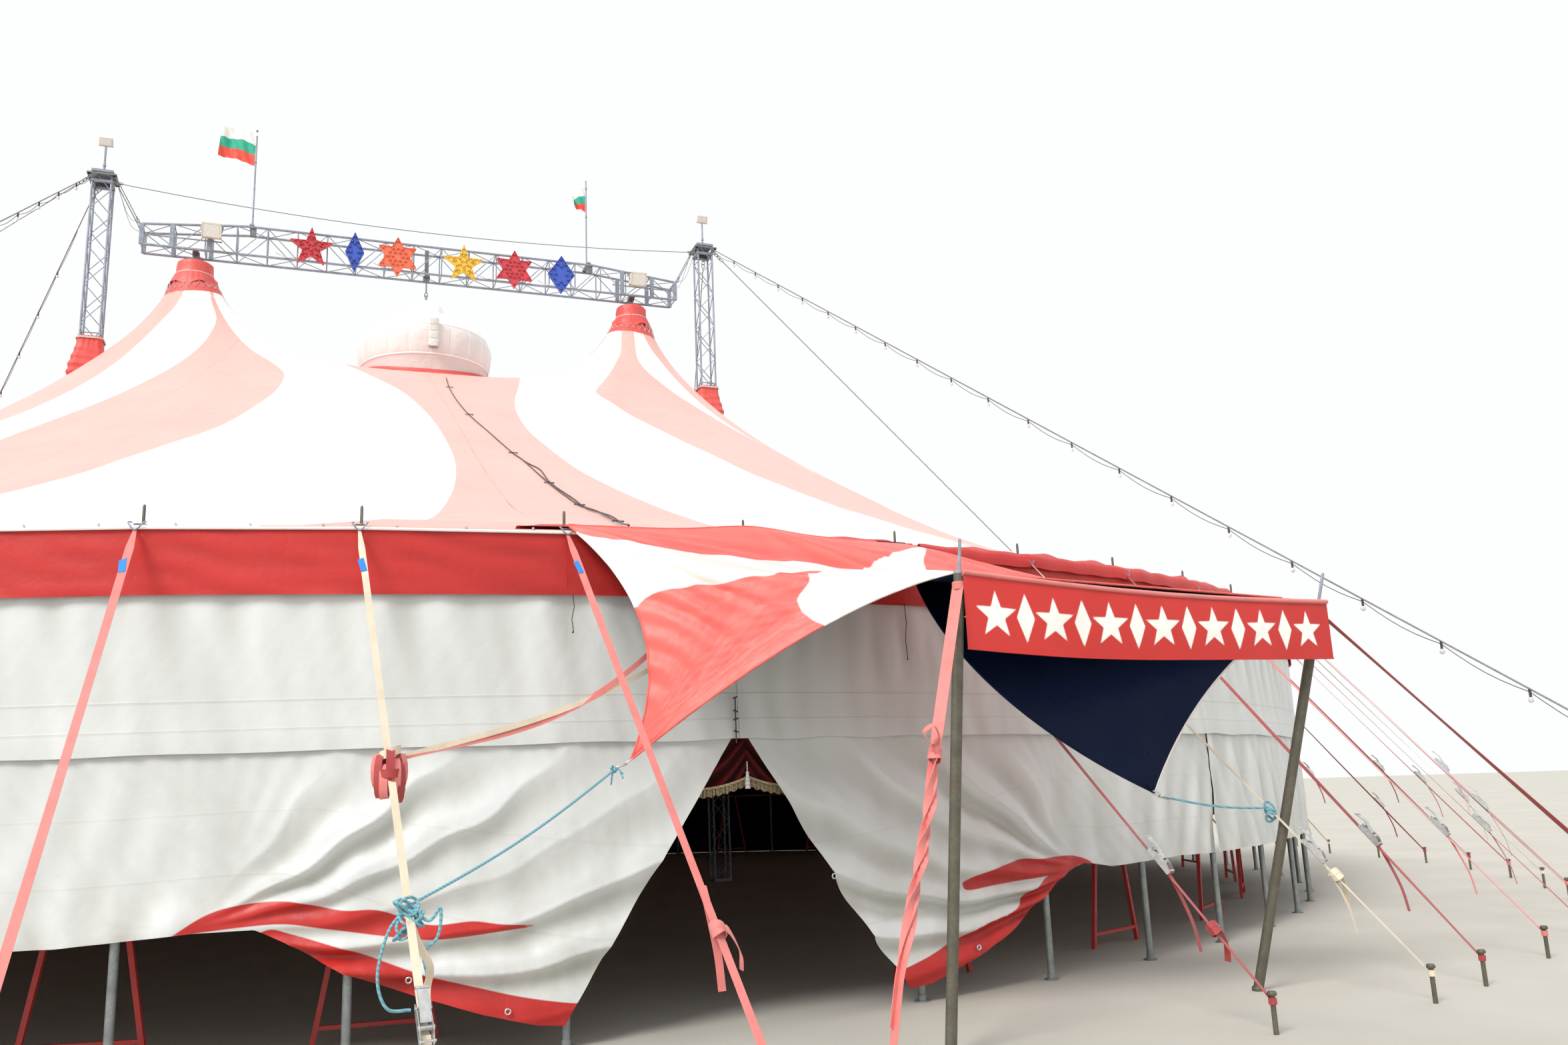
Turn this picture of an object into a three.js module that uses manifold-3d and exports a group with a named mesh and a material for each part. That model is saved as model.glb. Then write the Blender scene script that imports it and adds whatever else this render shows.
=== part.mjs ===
// Circus big top: a round two-mast tent with a ridge truss, laced peaks, a domed skylight,
// side walls on perimeter poles, webbing guys and a small sail canopy over the doorway.
// Units are millimetres. +Z is up, +X runs along the ridge to the right as seen from the
// front, -Y is the front. The origin is on the ground at the middle of the tent.

import * as THREE from 'three';
import { mergeVertices } from 'three/addons/utils/BufferGeometryUtils.js';
import Module from 'manifold-3d';

const wasm = await Module();
wasm.setup();

// Driving dimensions

const TENT_RADIUS = 14500;
const EAVE_HEIGHT = 3550;
const POLE_COUNT = 64;
const POLE_STEP = 360 / POLE_COUNT;
const FIRST_POLE_AZIMUTH = -1;
const CLEARANCE = 0.3;

const MAST_X = 5600;
const MAST_HEIGHT = 12900;
const MAST_FACE = 350;
const PEAK_X = 4030;
const PEAK_TOP = 11350;
const TRUSS_HALF_LENGTH = 4930;
const TRUSS_BOTTOM = 11530;
const TRUSS_WIDTH = 460;

const CANVAS_THICKNESS = 25;
const CANVAS_EDGE_RADIUS = 14440;
const POLE_CIRCLE_RADIUS = 14460;
const POLE_TUBE_RADIUS = 30;
const BELT_INNER_RADIUS = 14400;
const BELT_OUTER_RADIUS = 14560;
const BELT_DEPTH = 50;
const WALL_RADIUS = 14500;
const WALL_THICKNESS = 15;
const VALANCE_RADIUS = 14530;
const VALANCE_THICKNESS = 12;
const VALANCE_HEM = 3080;

const CABLE_RADIUS = 9;
const CABLE_SIDES = 5;
const FERRULE_LENGTH = 160;
const FERRULE_SWELL = 1.5;

// Colours

const material = (color, roughness, metalness = 0) =>
  new THREE.MeshStandardMaterial({ color, roughness, metalness });

const RED_CANVAS = () => material(0xc8383a, 0.6);
const WHITE_CANVAS = () => material(0xf2efe8, 0.6);
const WALL_CANVAS = () => material(0xdcdad2, 0.7);
const GALVANISED = () => material(0x8d9296, 0.45, 0.8);
const DARK_TUBE = () => material(0x5f635e, 0.5, 0.7);
const CABLE_STEEL = () => material(0x777b7d, 0.4, 0.8);
const RED_PAINT = () => material(0xb3262a, 0.45, 0.3);
const LAMP_CREAM = () => material(0xd9d2bd, 0.5);

const group = new THREE.Group();

// Solids

function solidOf(geometry) {
  const bare = geometry.index ? geometry.toNonIndexed() : geometry.clone();
  for (const name of Object.keys(bare.attributes)) {
    if (name !== 'position') bare.deleteAttribute(name);
  }
  const merged = mergeVertices(bare, 1e-4);
  return new wasm.Manifold(new wasm.Mesh({
    numProp: 3,
    vertProperties: new Float32Array(merged.attributes.position.array),
    triVerts: new Uint32Array(merged.index.array),
  }));
}

function geometryOf(solid) {
  const mesh = solid.getMesh();
  const geometry = new THREE.BufferGeometry();
  geometry.setAttribute('position', new THREE.BufferAttribute(mesh.vertProperties, 3));
  geometry.setIndex(new THREE.BufferAttribute(mesh.triVerts, 1));
  geometry.computeVertexNormals();
  return geometry;
}

function addPiece(name, solid, pieceMaterial) {
  const mesh = new THREE.Mesh(geometryOf(solid), pieceMaterial);
  mesh.name = name;
  group.add(mesh);
}

function joined(solids) {
  return solids.reduce((whole, next) => whole.add(next));
}

const vec = (x, y, z) => new THREE.Vector3(x, y, z);
const mix = (a, b, t) => a + (b - a) * t;

function box(sizeX, sizeY, sizeZ, centre) {
  const geometry = new THREE.BoxGeometry(sizeX, sizeY, sizeZ);
  geometry.translate(centre.x, centre.y, centre.z);
  return solidOf(geometry);
}

// A straight square bar from one point to another. Two of its faces stand upright.
function bar(from, to, width) {
  const along = to.clone().sub(from);
  const geometry = new THREE.BoxGeometry(width, width, along.length());
  const zAxis = along.clone().normalize();
  const upright = Math.abs(zAxis.z) > 0.9999;
  const xAxis = upright ? vec(1, 0, 0) : vec(0, 0, 1).cross(zAxis).normalize();
  const yAxis = zAxis.clone().cross(xAxis);
  geometry.applyMatrix4(new THREE.Matrix4().makeBasis(xAxis, yAxis, zAxis));
  const middle = from.clone().add(to).multiplyScalar(0.5);
  geometry.translate(middle.x, middle.y, middle.z);
  return solidOf(geometry);
}

// A straight round bar or tube from one point to another.
function rod(from, to, radius, sides = 6) {
  const along = to.clone().sub(from);
  const geometry = new THREE.CylinderGeometry(radius, radius, along.length(), sides);
  const turn = new THREE.Quaternion().setFromUnitVectors(vec(0, 1, 0), along.clone().normalize());
  geometry.applyQuaternion(turn);
  const middle = from.clone().add(to).multiplyScalar(0.5);
  geometry.translate(middle.x, middle.y, middle.z);
  return solidOf(geometry);
}

// A wire cable with a swaged ferrule at each end.
function stay(from, to, radius) {
  const length = from.distanceTo(to);
  const thick = radius * FERRULE_SWELL;
  const outline = [
    [0, 0], [thick, 0], [thick, FERRULE_LENGTH], [radius, FERRULE_LENGTH + thick],
    [radius, length - FERRULE_LENGTH - thick], [thick, length - FERRULE_LENGTH], [thick, length],
    [0, length],
  ].map(([distance, height]) => new THREE.Vector2(distance, height));
  const geometry = new THREE.LatheGeometry(outline, CABLE_SIDES);
  const along = to.clone().sub(from).normalize();
  geometry.applyQuaternion(new THREE.Quaternion().setFromUnitVectors(vec(0, 1, 0), along));
  geometry.translate(from.x, from.y, from.z);
  return solidOf(geometry);
}

// A turned solid standing on the Z axis at a place. The outline is [radius, height] pairs.
function turned(outline, centre, sides) {
  const points = outline.map(([radius, height]) => new THREE.Vector2(radius, height));
  const geometry = new THREE.LatheGeometry(points, sides);
  geometry.rotateX(Math.PI / 2);
  geometry.translate(centre.x, centre.y, centre.z);
  return solidOf(geometry);
}

// A closed sheet between two grids of points with the same rows and columns. The outer grid
// is seen with its columns running to the right and its rows running up.
function sheet(outer, inner) {
  const rows = outer.length;
  const columns = outer[0].length;
  const positions = [];
  const triangle = (a, b, c) => {
    const area = b.clone().sub(a).cross(c.clone().sub(a)).length();
    if (area > 1e-6) positions.push(...a.toArray(), ...b.toArray(), ...c.toArray());
  };
  const quad = (a, b, c, d) => {
    triangle(a, b, c);
    triangle(a, c, d);
  };
  for (let r = 0; r + 1 < rows; r += 1) {
    for (let c = 0; c + 1 < columns; c += 1) {
      quad(outer[r][c], outer[r][c + 1], outer[r + 1][c + 1], outer[r + 1][c]);
      quad(inner[r][c], inner[r + 1][c], inner[r + 1][c + 1], inner[r][c + 1]);
    }
    quad(inner[r][0], outer[r][0], outer[r + 1][0], inner[r + 1][0]);
    const e = columns - 1;
    quad(outer[r][e], inner[r][e], inner[r + 1][e], outer[r + 1][e]);
  }
  const top = rows - 1;
  for (let c = 0; c + 1 < columns; c += 1) {
    quad(inner[0][c], inner[0][c + 1], outer[0][c + 1], outer[0][c]);
    quad(outer[top][c], outer[top][c + 1], inner[top][c + 1], inner[top][c]);
  }
  const geometry = new THREE.BufferGeometry();
  geometry.setAttribute('position', new THREE.Float32BufferAttribute(positions, 3));
  return solidOf(geometry);
}

// Places on the plan

const radians = THREE.MathUtils.degToRad;

// A place by its distance from the tent's middle, its azimuth from the front towards the
// right, and its height.
function polar(radius, azimuth, height) {
  const turn = radians(azimuth);
  return vec(radius * Math.sin(turn), -radius * Math.cos(turn), height);
}

const poleAzimuth = (index) => FIRST_POLE_AZIMUTH + POLE_STEP * index;

// A place on the many-sided ring whose corners stand at the poles.
function ringPlace(radius, poleIndex, height) {
  const low = Math.floor(poleIndex);
  const from = polar(radius, poleAzimuth(low), height);
  const to = polar(radius, poleAzimuth(low + 1), height);
  return from.lerp(to, poleIndex - low);
}

// A standing band that follows the pole ring, with an inner radius, a thickness, a lower
// edge, which may be a function of the pole index, and an upper edge.
function ringBand(stations, radius, thickness, low, high) {
  const gap = CLEARANCE / TENT_RADIUS / radians(POLE_STEP);
  const last = stations.length - 1;
  const places = stations.map((s, i) => (i === 0 ? s + gap : i === last ? s - gap : s));
  const lowAt = typeof low === 'function' ? low : () => low;
  const grid = (r) => [
    places.map((station) => ringPlace(r, station, lowAt(station))),
    places.map((station) => ringPlace(r, station, high)),
  ];
  return sheet(grid(radius + thickness), grid(radius));
}

const wholeBays = (first, last) =>
  Array.from({ length: last - first + 1 }, (_, i) => first + i);

// Roof canvas

// The canvas hangs from two peaks and the skylight ring, and is held up where the masts
// pass through it. Its height is worked out as a stretched skin with those high points,
// which comes down to the eave all round.
const SKIN = {
  peakPull: 1.1348,
  peakSoftness: 0.15,
  ringPull: 0.2985,
  ringSoftness: 0.8,
  mastPull: 0.2921,
  mastSoftness: 1.0129,
  rise: 2.047,
  power: 0.7308,
  innerDip: -0.2897,
  outerDip: -2.9769,
};

function pull(x, y, at, softness) {
  const radius = TENT_RADIUS / 1000;
  const far = (radius - (x * at) / radius) ** 2 + ((y * at) / radius) ** 2;
  const near = (x - at) ** 2 + y ** 2 + softness ** 2;
  return 0.5 * Math.log(far / near);
}

function canvasHeight(xMm, yMm) {
  const x = xMm / 1000;
  const y = yMm / 1000;
  const share = (x * x + y * y) / (TENT_RADIUS / 1000) ** 2;
  const peaks = pull(x, y, PEAK_X / 1000, SKIN.peakSoftness)
    + pull(x, y, -PEAK_X / 1000, SKIN.peakSoftness);
  const masts = pull(x, y, MAST_X / 1000, SKIN.mastSoftness)
    + pull(x, y, -MAST_X / 1000, SKIN.mastSoftness);
  const ring = pull(x, y, 0, SKIN.ringSoftness);
  const tension = SKIN.peakPull * peaks + SKIN.ringPull * ring + SKIN.mastPull * masts;
  const dip = (1 - share) * share * (SKIN.innerDip + SKIN.outerDip * share);
  return EAVE_HEIGHT + 1000 * (SKIN.rise * Math.max(tension, 0) ** SKIN.power + dip);
}

const RIDGE_SLIT = 3;
const ROOF_PANELS = 8;
const ROOF_ROWS = [0, 0.02, 0.045, 0.08, 0.13, 0.2, 0.29, 0.4, 0.53, 0.68, 0.84, 1];

// Where a canvas line starts on the ridge. The lines crowd together near the peaks.
function ridgePlace(azimuth) {
  const even = Math.sin(radians(azimuth));
  const crowding = even * (1 - even ** 2) * (even ** 2 - (PEAK_X / MAST_X) ** 2);
  return vec(MAST_X * (even - crowding), 0, 0);
}

// A canvas panel between two poles. With apart at -1 neighbouring panels run into each other.
function roofPanel(first, last, thickness = CANVAS_THICKNESS, lift = 0, apart = 1) {
  const lines = wholeBays(first, last).map((index) => {
    const from = ridgePlace(poleAzimuth(index));
    const to = polar(CANVAS_EDGE_RADIUS, poleAzimuth(index), 0);
    const along = to.clone().sub(from).normalize();
    const side = index === first ? -1 : index === last ? 1 : 0;
    const sideways = along.clone().cross(vec(0, 0, 1)).multiplyScalar(side * apart * CLEARANCE);
    return ROOF_ROWS.map((t) => {
      const place = from.clone().lerp(to, t);
      const skinTop = t < 1 ? canvasHeight(place.x, place.y) : EAVE_HEIGHT;
      if (t === 0) place.y -= RIDGE_SLIT * apart * Math.cos(radians(poleAzimuth(index)));
      return place.add(sideways).setZ(skinTop + CANVAS_THICKNESS + CLEARANCE);
    });
  });
  const grid = (drop) => ROOF_ROWS.map((_, row) =>
    lines.map((line) => line[row].clone().add(vec(0, 0, -drop)))).reverse();
  return sheet(grid(-lift), grid(thickness));
}

const SKYLIGHT_HOLE_RADIUS = 1120;
const SKYLIGHT_SIDES = 20;
const PEAK_HOLE_RADIUS = 380;
const CAP_SIDES = 14;
const MAST_HOLE_MARGIN = 65;
const MAST_HOLE = MAST_FACE + 2 * MAST_HOLE_MARGIN;
const HOLE_LOW = 7100;
const HOLE_HIGH = 13350;

function upright(radius, x, sides) {
  return rod(vec(x, 0, HOLE_LOW), vec(x, 0, HOLE_HIGH), radius, sides);
}

function roofHoles() {
  return joined([
    upright(SKYLIGHT_HOLE_RADIUS, 0, SKYLIGHT_SIDES),
    upright(PEAK_HOLE_RADIUS, PEAK_X, CAP_SIDES),
    upright(PEAK_HOLE_RADIUS, -PEAK_X, CAP_SIDES),
    box(MAST_HOLE, MAST_HOLE, MAST_HEIGHT, vec(MAST_X, 0, MAST_HEIGHT / 2)),
    box(MAST_HOLE, MAST_HOLE, MAST_HEIGHT, vec(-MAST_X, 0, MAST_HEIGHT / 2)),
  ]);
}

// The space that the canvas and the room just below it fill. What sits on the canvas is cut
// to it, so that its lower edge follows the slope.
const UNDER_CANVAS = 900;
const SEAT_GAP = 12;

function roofSpace() {
  const bays = POLE_COUNT / ROOF_PANELS;
  const panels = [];
  for (let i = 0; i < ROOF_PANELS; i += 1) {
    panels.push(roofPanel(i * bays, (i + 1) * bays, UNDER_CANVAS, SEAT_GAP, -1));
  }
  return joined(panels);
}

const roofFill = roofSpace();

function addRoof() {
  const holes = roofHoles();
  const bays = POLE_COUNT / ROOF_PANELS;
  for (let i = 0; i < ROOF_PANELS; i += 1) {
    const panel = roofPanel(i * bays, (i + 1) * bays).subtract(holes);
    addPiece(`roof_panel_${i + 1}`, panel, i % 2 ? WHITE_CANVAS() : RED_CANVAS());
  }
}

// Walls

const DOOR_LEFT_POLE = 0;
const DOOR_MIDDLE_POLE = 1;
const DOOR_RIGHT_POLE = 2;
const CURTAIN_BAYS = 4;
// The height of the hem of each section. The two at the back hang almost to the ground.
const WALL_HEMS = [850, 100, 100, 850];
const WALL_TOP = EAVE_HEIGHT - BELT_DEPTH - CLEARANCE;

function addWalls() {
  const first = DOOR_MIDDLE_POLE + CURTAIN_BAYS;
  const bays = (POLE_COUNT - 2 * CURTAIN_BAYS) / WALL_HEMS.length;
  WALL_HEMS.forEach((hem, i) => {
    const stations = wholeBays(first + i * bays, first + (i + 1) * bays);
    const wall = ringBand(stations, WALL_RADIUS, WALL_THICKNESS, hem, WALL_TOP);
    addPiece(`side_wall_${i + 1}`, wall, WALL_CANVAS());
  });
}

// The two sheets at the doorway hang from the eave and are drawn aside below the point
// where they meet. Each pair is a pole index and the height of the sheet's lower edge.
const LEFT_CURTAIN_EDGE = [
  [-3, 850], [-2.2, 860], [-2, 875], [-1.7, 900], [-1.3, 830], [-1, 705], [-0.45, 350], [0, 100],
  [0.15, 450], [0.3, 760], [0.46, 1130], [0.6, 1420], [0.74, 1700], [0.87, 1960], [1, 2240],
];
const RIGHT_CURTAIN_EDGE = [
  [1, 2150], [1.1, 1800], [1.22, 1500], [1.38, 1080], [1.56, 690], [1.74, 360], [1.9, 100],
  [2, 130], [2.35, 280], [2.72, 510], [3, 760], [3.35, 890], [4, 865], [5, 850],
];

function curtain(edge) {
  const heights = new Map(edge.map(([station, height]) => [station, height]));
  const stations = [...heights.keys()];
  const hem = (station) => {
    const nearest = stations.reduce((a, b) => (Math.abs(b - station) < Math.abs(a - station) ? b : a));
    return heights.get(nearest);
  };
  return ringBand(stations, WALL_RADIUS, WALL_THICKNESS, hem, WALL_TOP);
}

function addCurtains() {
  addPiece('doorway_curtain_left', curtain(LEFT_CURTAIN_EDGE), WALL_CANVAS());
  addPiece('doorway_curtain_right', curtain(RIGHT_CURTAIN_EDGE), WALL_CANVAS());
}

function addValance() {
  const quarter = POLE_COUNT / 4;
  for (const [name, first] of [['front', -quarter], ['back', quarter]]) {
    const stations = wholeBays(first, first + 2 * quarter);
    const band = ringBand(stations, VALANCE_RADIUS, VALANCE_THICKNESS, VALANCE_HEM, WALL_TOP);
    addPiece(`valance_${name}`, band, RED_CANVAS());
  }
}

// Perimeter poles, eave belt and webbing guys

const SPIKE_TOP = EAVE_HEIGHT + 180;
const SPIKE_RADIUS = 12;
const POLE_SIDES = 5;
const POLE_BELOW_EAVE = 15;
const SPIKE_BELOW_EAVE = 25;
const HEADER_RADIUS = 22;
const STRAP_WIDTH = 50;
const STRAP_THICKNESS = 10;
const GUY_BAND_RADIUS = BELT_OUTER_RADIUS + CLEARANCE;
const GUY_BAND_THICKNESS = 16;
const GUY_BAND_LOW = EAVE_HEIGHT - 47;
const GUY_BAND_HIGH = EAVE_HEIGHT - 10;
const STRAP_TOP = EAVE_HEIGHT - 14;
const STRAP_TOP_RADIUS = GUY_BAND_RADIUS + GUY_BAND_THICKNESS / 2;
const ANCHOR_RADIUS = 17300;
const STAKE_HEIGHT = 260;
const STAKE_WIDTH = 40;
const STRAP_FOOT = 200;
const STUB_LENGTH = 900;
const HEADER_HEIGHT = EAVE_HEIGHT - STUB_LENGTH;
const FRONT_ANCHORS = new Map([
  [-2, polar(17150, -11.4, 0)],
  [-1, polar(17080, -4.6, 0)],
  [DOOR_LEFT_POLE, polar(17200, 0.86, 0)],
  [DOOR_RIGHT_POLE, polar(17100, 13, 0)],
  [DOOR_RIGHT_POLE + 1, polar(17300, 18.5, 0)],
]);

function anchorOf(index) {
  const usual = polar(ANCHOR_RADIUS, poleAzimuth(index), 0);
  return FRONT_ANCHORS.get(index) ?? usual;
}

// One webbing guy and its stake, cut as a flat outline in the upright plane from the band
// round the eave to the anchor and given the webbing's width.
function webbingGuy(top, anchor) {
  const run = Math.hypot(anchor.x - top.x, anchor.y - top.y);
  const half = STAKE_WIDTH / 2;
  const skew = STRAP_THICKNESS * Math.hypot(run, top.z - STRAP_FOOT) / run;
  const slope = (top.z - STRAP_FOOT) / run;
  const shape = new THREE.Shape();
  shape.moveTo(0, top.z);
  shape.lineTo(0, top.z - skew);
  shape.lineTo(run - half, STRAP_FOOT - skew + slope * half);
  shape.lineTo(run - half, 0);
  shape.lineTo(run + half, 0);
  shape.lineTo(run + half, STAKE_HEIGHT);
  shape.lineTo(run - half, STAKE_HEIGHT);
  shape.lineTo(run - half, STRAP_FOOT + slope * half);
  shape.closePath();
  const geometry = new THREE.ExtrudeGeometry(shape, { depth: STRAP_WIDTH, bevelEnabled: false });
  geometry.translate(0, 0, -STRAP_WIDTH / 2);
  geometry.rotateX(Math.PI / 2);
  geometry.rotateZ(Math.atan2(anchor.y - top.y, anchor.x - top.x));
  geometry.translate(top.x, top.y, 0);
  return solidOf(geometry);
}

function poleSet(index) {
  const azimuth = poleAzimuth(index);
  const atPole = (height) => polar(POLE_CIRCLE_RADIUS, azimuth, height);
  const isStub = index === DOOR_MIDDLE_POLE;
  const foot = isStub ? HEADER_HEIGHT : 0;
  return [
    rod(atPole(foot), atPole(EAVE_HEIGHT - POLE_BELOW_EAVE), POLE_TUBE_RADIUS, POLE_SIDES),
    rod(atPole(EAVE_HEIGHT - SPIKE_BELOW_EAVE), atPole(SPIKE_TOP), SPIKE_RADIUS, 4),
  ];
}

function doorHeader() {
  const from = polar(POLE_CIRCLE_RADIUS, poleAzimuth(DOOR_LEFT_POLE), HEADER_HEIGHT);
  const middle = polar(POLE_CIRCLE_RADIUS, poleAzimuth(DOOR_MIDDLE_POLE), HEADER_HEIGHT);
  const to = polar(POLE_CIRCLE_RADIUS, poleAzimuth(DOOR_RIGHT_POLE), HEADER_HEIGHT);
  return [rod(from, middle, HEADER_RADIUS), rod(middle, to, HEADER_RADIUS)];
}

function canopyHook(index) {
  const at = (radius) => polar(radius, poleAzimuth(index), REAR_HEIGHT);
  return bar(at(POLE_CIRCLE_RADIUS), at(REAR_RADIUS - HOOK_SHORT), HOOK_WIDTH);
}

function doorFittings() {
  return [...doorHeader(), ...[DOOR_LEFT_POLE, DOOR_MIDDLE_POLE, DOOR_RIGHT_POLE].map(canopyHook)];
}

const POLE_SETS = ['front', 'right', 'back', 'left'];

function addPoles() {
  const bays = POLE_COUNT / POLE_SETS.length;
  POLE_SETS.forEach((name, i) => {
    const first = i * bays - bays / 2;
    const poles = wholeBays(first, first + bays - 1);
    const corners = [first - 0.5, ...poles, first + bays - 0.5];
    const belt = ringBand(
      corners,
      BELT_INNER_RADIUS,
      BELT_OUTER_RADIUS - BELT_INNER_RADIUS,
      EAVE_HEIGHT - BELT_DEPTH,
      EAVE_HEIGHT,
    );
    const fittings = name === 'front' ? doorFittings() : [];
    const solid = joined([belt, ...poles.flatMap(poleSet), ...fittings]);
    addPiece(`perimeter_poles_${name}`, solid, GALVANISED());
    const band = ringBand(corners, GUY_BAND_RADIUS, GUY_BAND_THICKNESS, GUY_BAND_LOW, GUY_BAND_HIGH);
    const guys = poles.filter((index) => index !== DOOR_MIDDLE_POLE).map((index) =>
      webbingGuy(polar(STRAP_TOP_RADIUS, poleAzimuth(index), STRAP_TOP), anchorOf(index)));
    addPiece(`webbing_guys_${name}`, joined([band, ...guys]), RED_CANVAS());
  });
}

// Masts

const MAST_CHORD = 48;
const MAST_BRACE = 22;
const MAST_BAYS = 9;
const MAST_END_BLOCK = 60;

function latticeMast(x) {
  const half = (MAST_FACE - MAST_CHORD) / 2;
  const corners = [[-1, -1], [1, -1], [1, 1], [-1, 1]].map(([i, j]) => [x + i * half, j * half]);
  const solids = corners.map(([cx, cy]) =>
    box(MAST_CHORD, MAST_CHORD, MAST_HEIGHT, vec(cx, cy, MAST_HEIGHT / 2)));
  const bay = (MAST_HEIGHT - MAST_CHORD) / MAST_BAYS;
  for (const z of [MAST_END_BLOCK / 2, MAST_HEIGHT - MAST_END_BLOCK / 2]) {
    solids.push(box(MAST_FACE, MAST_FACE, MAST_END_BLOCK, vec(x, 0, z)));
  }
  for (let level = 0; level < MAST_BAYS; level += 1) {
    const low = MAST_CHORD / 2 + level * bay;
    corners.forEach(([cx, cy], i) => {
      const [nx, ny] = corners[(i + 1) % corners.length];
      const rising = (level + i) % 2 === 0;
      const from = rising ? vec(cx, cy, low) : vec(nx, ny, low);
      const to = rising ? vec(nx, ny, low + bay) : vec(cx, cy, low + bay);
      solids.push(bar(from, to, MAST_BRACE));
    });
  }
  return joined(solids);
}

const LAMP_POST_TOP = MAST_HEIGHT + 520;
const LAMP_POST_RADIUS = 18;
const LAMP_POST_OVERLAP = 20;
const MAST_LAMP = { width: 220, depth: 90, height: 170 };
const MAST_LAMP_Y = -10;

function mastLamp(x) {
  const { width, depth, height } = MAST_LAMP;
  const postLow = vec(x, 0, MAST_HEIGHT - LAMP_POST_OVERLAP);
  const postHigh = vec(x, 0, LAMP_POST_TOP + LAMP_POST_OVERLAP);
  return [
    rod(postLow, postHigh, LAMP_POST_RADIUS),
    box(width, depth, height, vec(x, MAST_LAMP_Y, LAMP_POST_TOP + height / 2)),
  ];
}

const COLLAR_LOW = 9000;
const COLLAR_NECK = 9570;
const COLLAR_HIGH = 9780;
const COLLAR_WALL = 20;

// The canvas sleeve that closes the roof around a mast: wide below, tied in at the top.
function mastCollar(x) {
  const lowHalf = MAST_HOLE / 2 - CLEARANCE;
  const highHalf = MAST_FACE / 2 + CLEARANCE + COLLAR_WALL;
  const ring = (half, z) => [
    vec(x - half, -half, z), vec(x + half, -half, z), vec(x + half, half, z), vec(x - half, half, z),
    vec(x - half, -half, z),
  ];
  const rings = (wall) => [
    ring(lowHalf - wall, COLLAR_LOW),
    ring(lowHalf - wall, COLLAR_NECK),
    ring(highHalf - wall, COLLAR_HIGH),
  ];
  return closedBand(rings(0), rings(COLLAR_WALL));
}

// A sheet whose last column is its first, closed on itself round a mast or a pole.
function closedBand(outer, inner) {
  const positions = [];
  const quad = (a, b, c, d) => {
    for (const p of [a, b, c, a, c, d]) positions.push(...p.toArray());
  };
  const rows = outer.length;
  const columns = outer[0].length;
  for (let c = 0; c + 1 < columns; c += 1) {
    for (let r = 0; r + 1 < rows; r += 1) {
      quad(outer[r][c], outer[r][c + 1], outer[r + 1][c + 1], outer[r + 1][c]);
      quad(inner[r][c], inner[r + 1][c], inner[r + 1][c + 1], inner[r][c + 1]);
    }
    const top = rows - 1;
    quad(inner[0][c], inner[0][c + 1], outer[0][c + 1], outer[0][c]);
    quad(outer[top][c], outer[top][c + 1], inner[top][c + 1], inner[top][c]);
  }
  const geometry = new THREE.BufferGeometry();
  geometry.setAttribute('position', new THREE.Float32BufferAttribute(positions, 3));
  return solidOf(geometry);
}

function addMasts() {
  for (const [side, x] of [['left', -MAST_X], ['right', MAST_X]]) {
    addPiece(`mast_${side}`, joined([latticeMast(x), ...mastLamp(x)]), GALVANISED());
    addPiece(`mast_collar_${side}`, mastCollar(x), RED_CANVAS());
  }
}

// Peak caps, skylight and the truss that carries them

const CAP_SLEEVE_RADIUS = PEAK_HOLE_RADIUS - CLEARANCE;
const CAP_WALL = 20;
const CAP_SLEEVE_BOTTOM = 10760;
const CAP_SKIRT_RADIUS = 430;
const CAP_SKIRT_BOTTOM = 10800;
const CAP_NECK = 11080;
const CAP_TOP_RADIUS = 315;
const CAP_CROWN_THICKNESS = 60;
const CAP_SKIRT_LAP = 60;
const HANGER_RADIUS = 16;
const TRUSS_JOINT_STEP = 5;
const HANGER_TOP = TRUSS_BOTTOM + TRUSS_JOINT_STEP / 2 - CLEARANCE;

// A cap of doubled canvas over the lifting ring: a sleeve inside the hole in the roof, and a
// skirt that lies on the roof outside it.
function peakCap(x) {
  const bore = CAP_SLEEVE_RADIUS - CAP_WALL;
  const crownLow = CAP_NECK - CAP_CROWN_THICKNESS;
  const skirtHigh = CAP_NECK + CAP_SKIRT_LAP;
  const crown = turned([
    [0, crownLow], [bore, crownLow], [bore, CAP_SLEEVE_BOTTOM], [CAP_SLEEVE_RADIUS, CAP_SLEEVE_BOTTOM],
    [CAP_SLEEVE_RADIUS, CAP_NECK], [CAP_TOP_RADIUS, PEAK_TOP], [0, PEAK_TOP],
  ], vec(x, 0, 0), CAP_SIDES);
  const skirt = turned([
    [0, CAP_SKIRT_BOTTOM], [CAP_SKIRT_RADIUS, CAP_SKIRT_BOTTOM],
    [CAP_SLEEVE_RADIUS - CAP_WALL / 4, skirtHigh], [0, skirtHigh],
  ], vec(x, 0, 0), CAP_SIDES);
  const inside = upright(bore, x, CAP_SIDES);
  const hanger = rod(vec(x, 0, PEAK_TOP - CAP_WALL), vec(x, 0, HANGER_TOP), HANGER_RADIUS);
  return joined([crown, skirt.subtract(roofFill).subtract(inside), hanger]);
}

const SKYLIGHT_BOTTOM = 9050;
const SKYLIGHT_BASE = 9630;
const SKYLIGHT_WAIST = 10210;
const SKYLIGHT_TOP = 11070;
const SKYLIGHT_TUBE = SKYLIGHT_HOLE_RADIUS - CLEARANCE;
const SKYLIGHT_BORE = 1085;
const SKYLIGHT_LAMP = { width: 130, depth: 110, height: 520, x: 40, y: -1225, z: 10010 };

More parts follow.
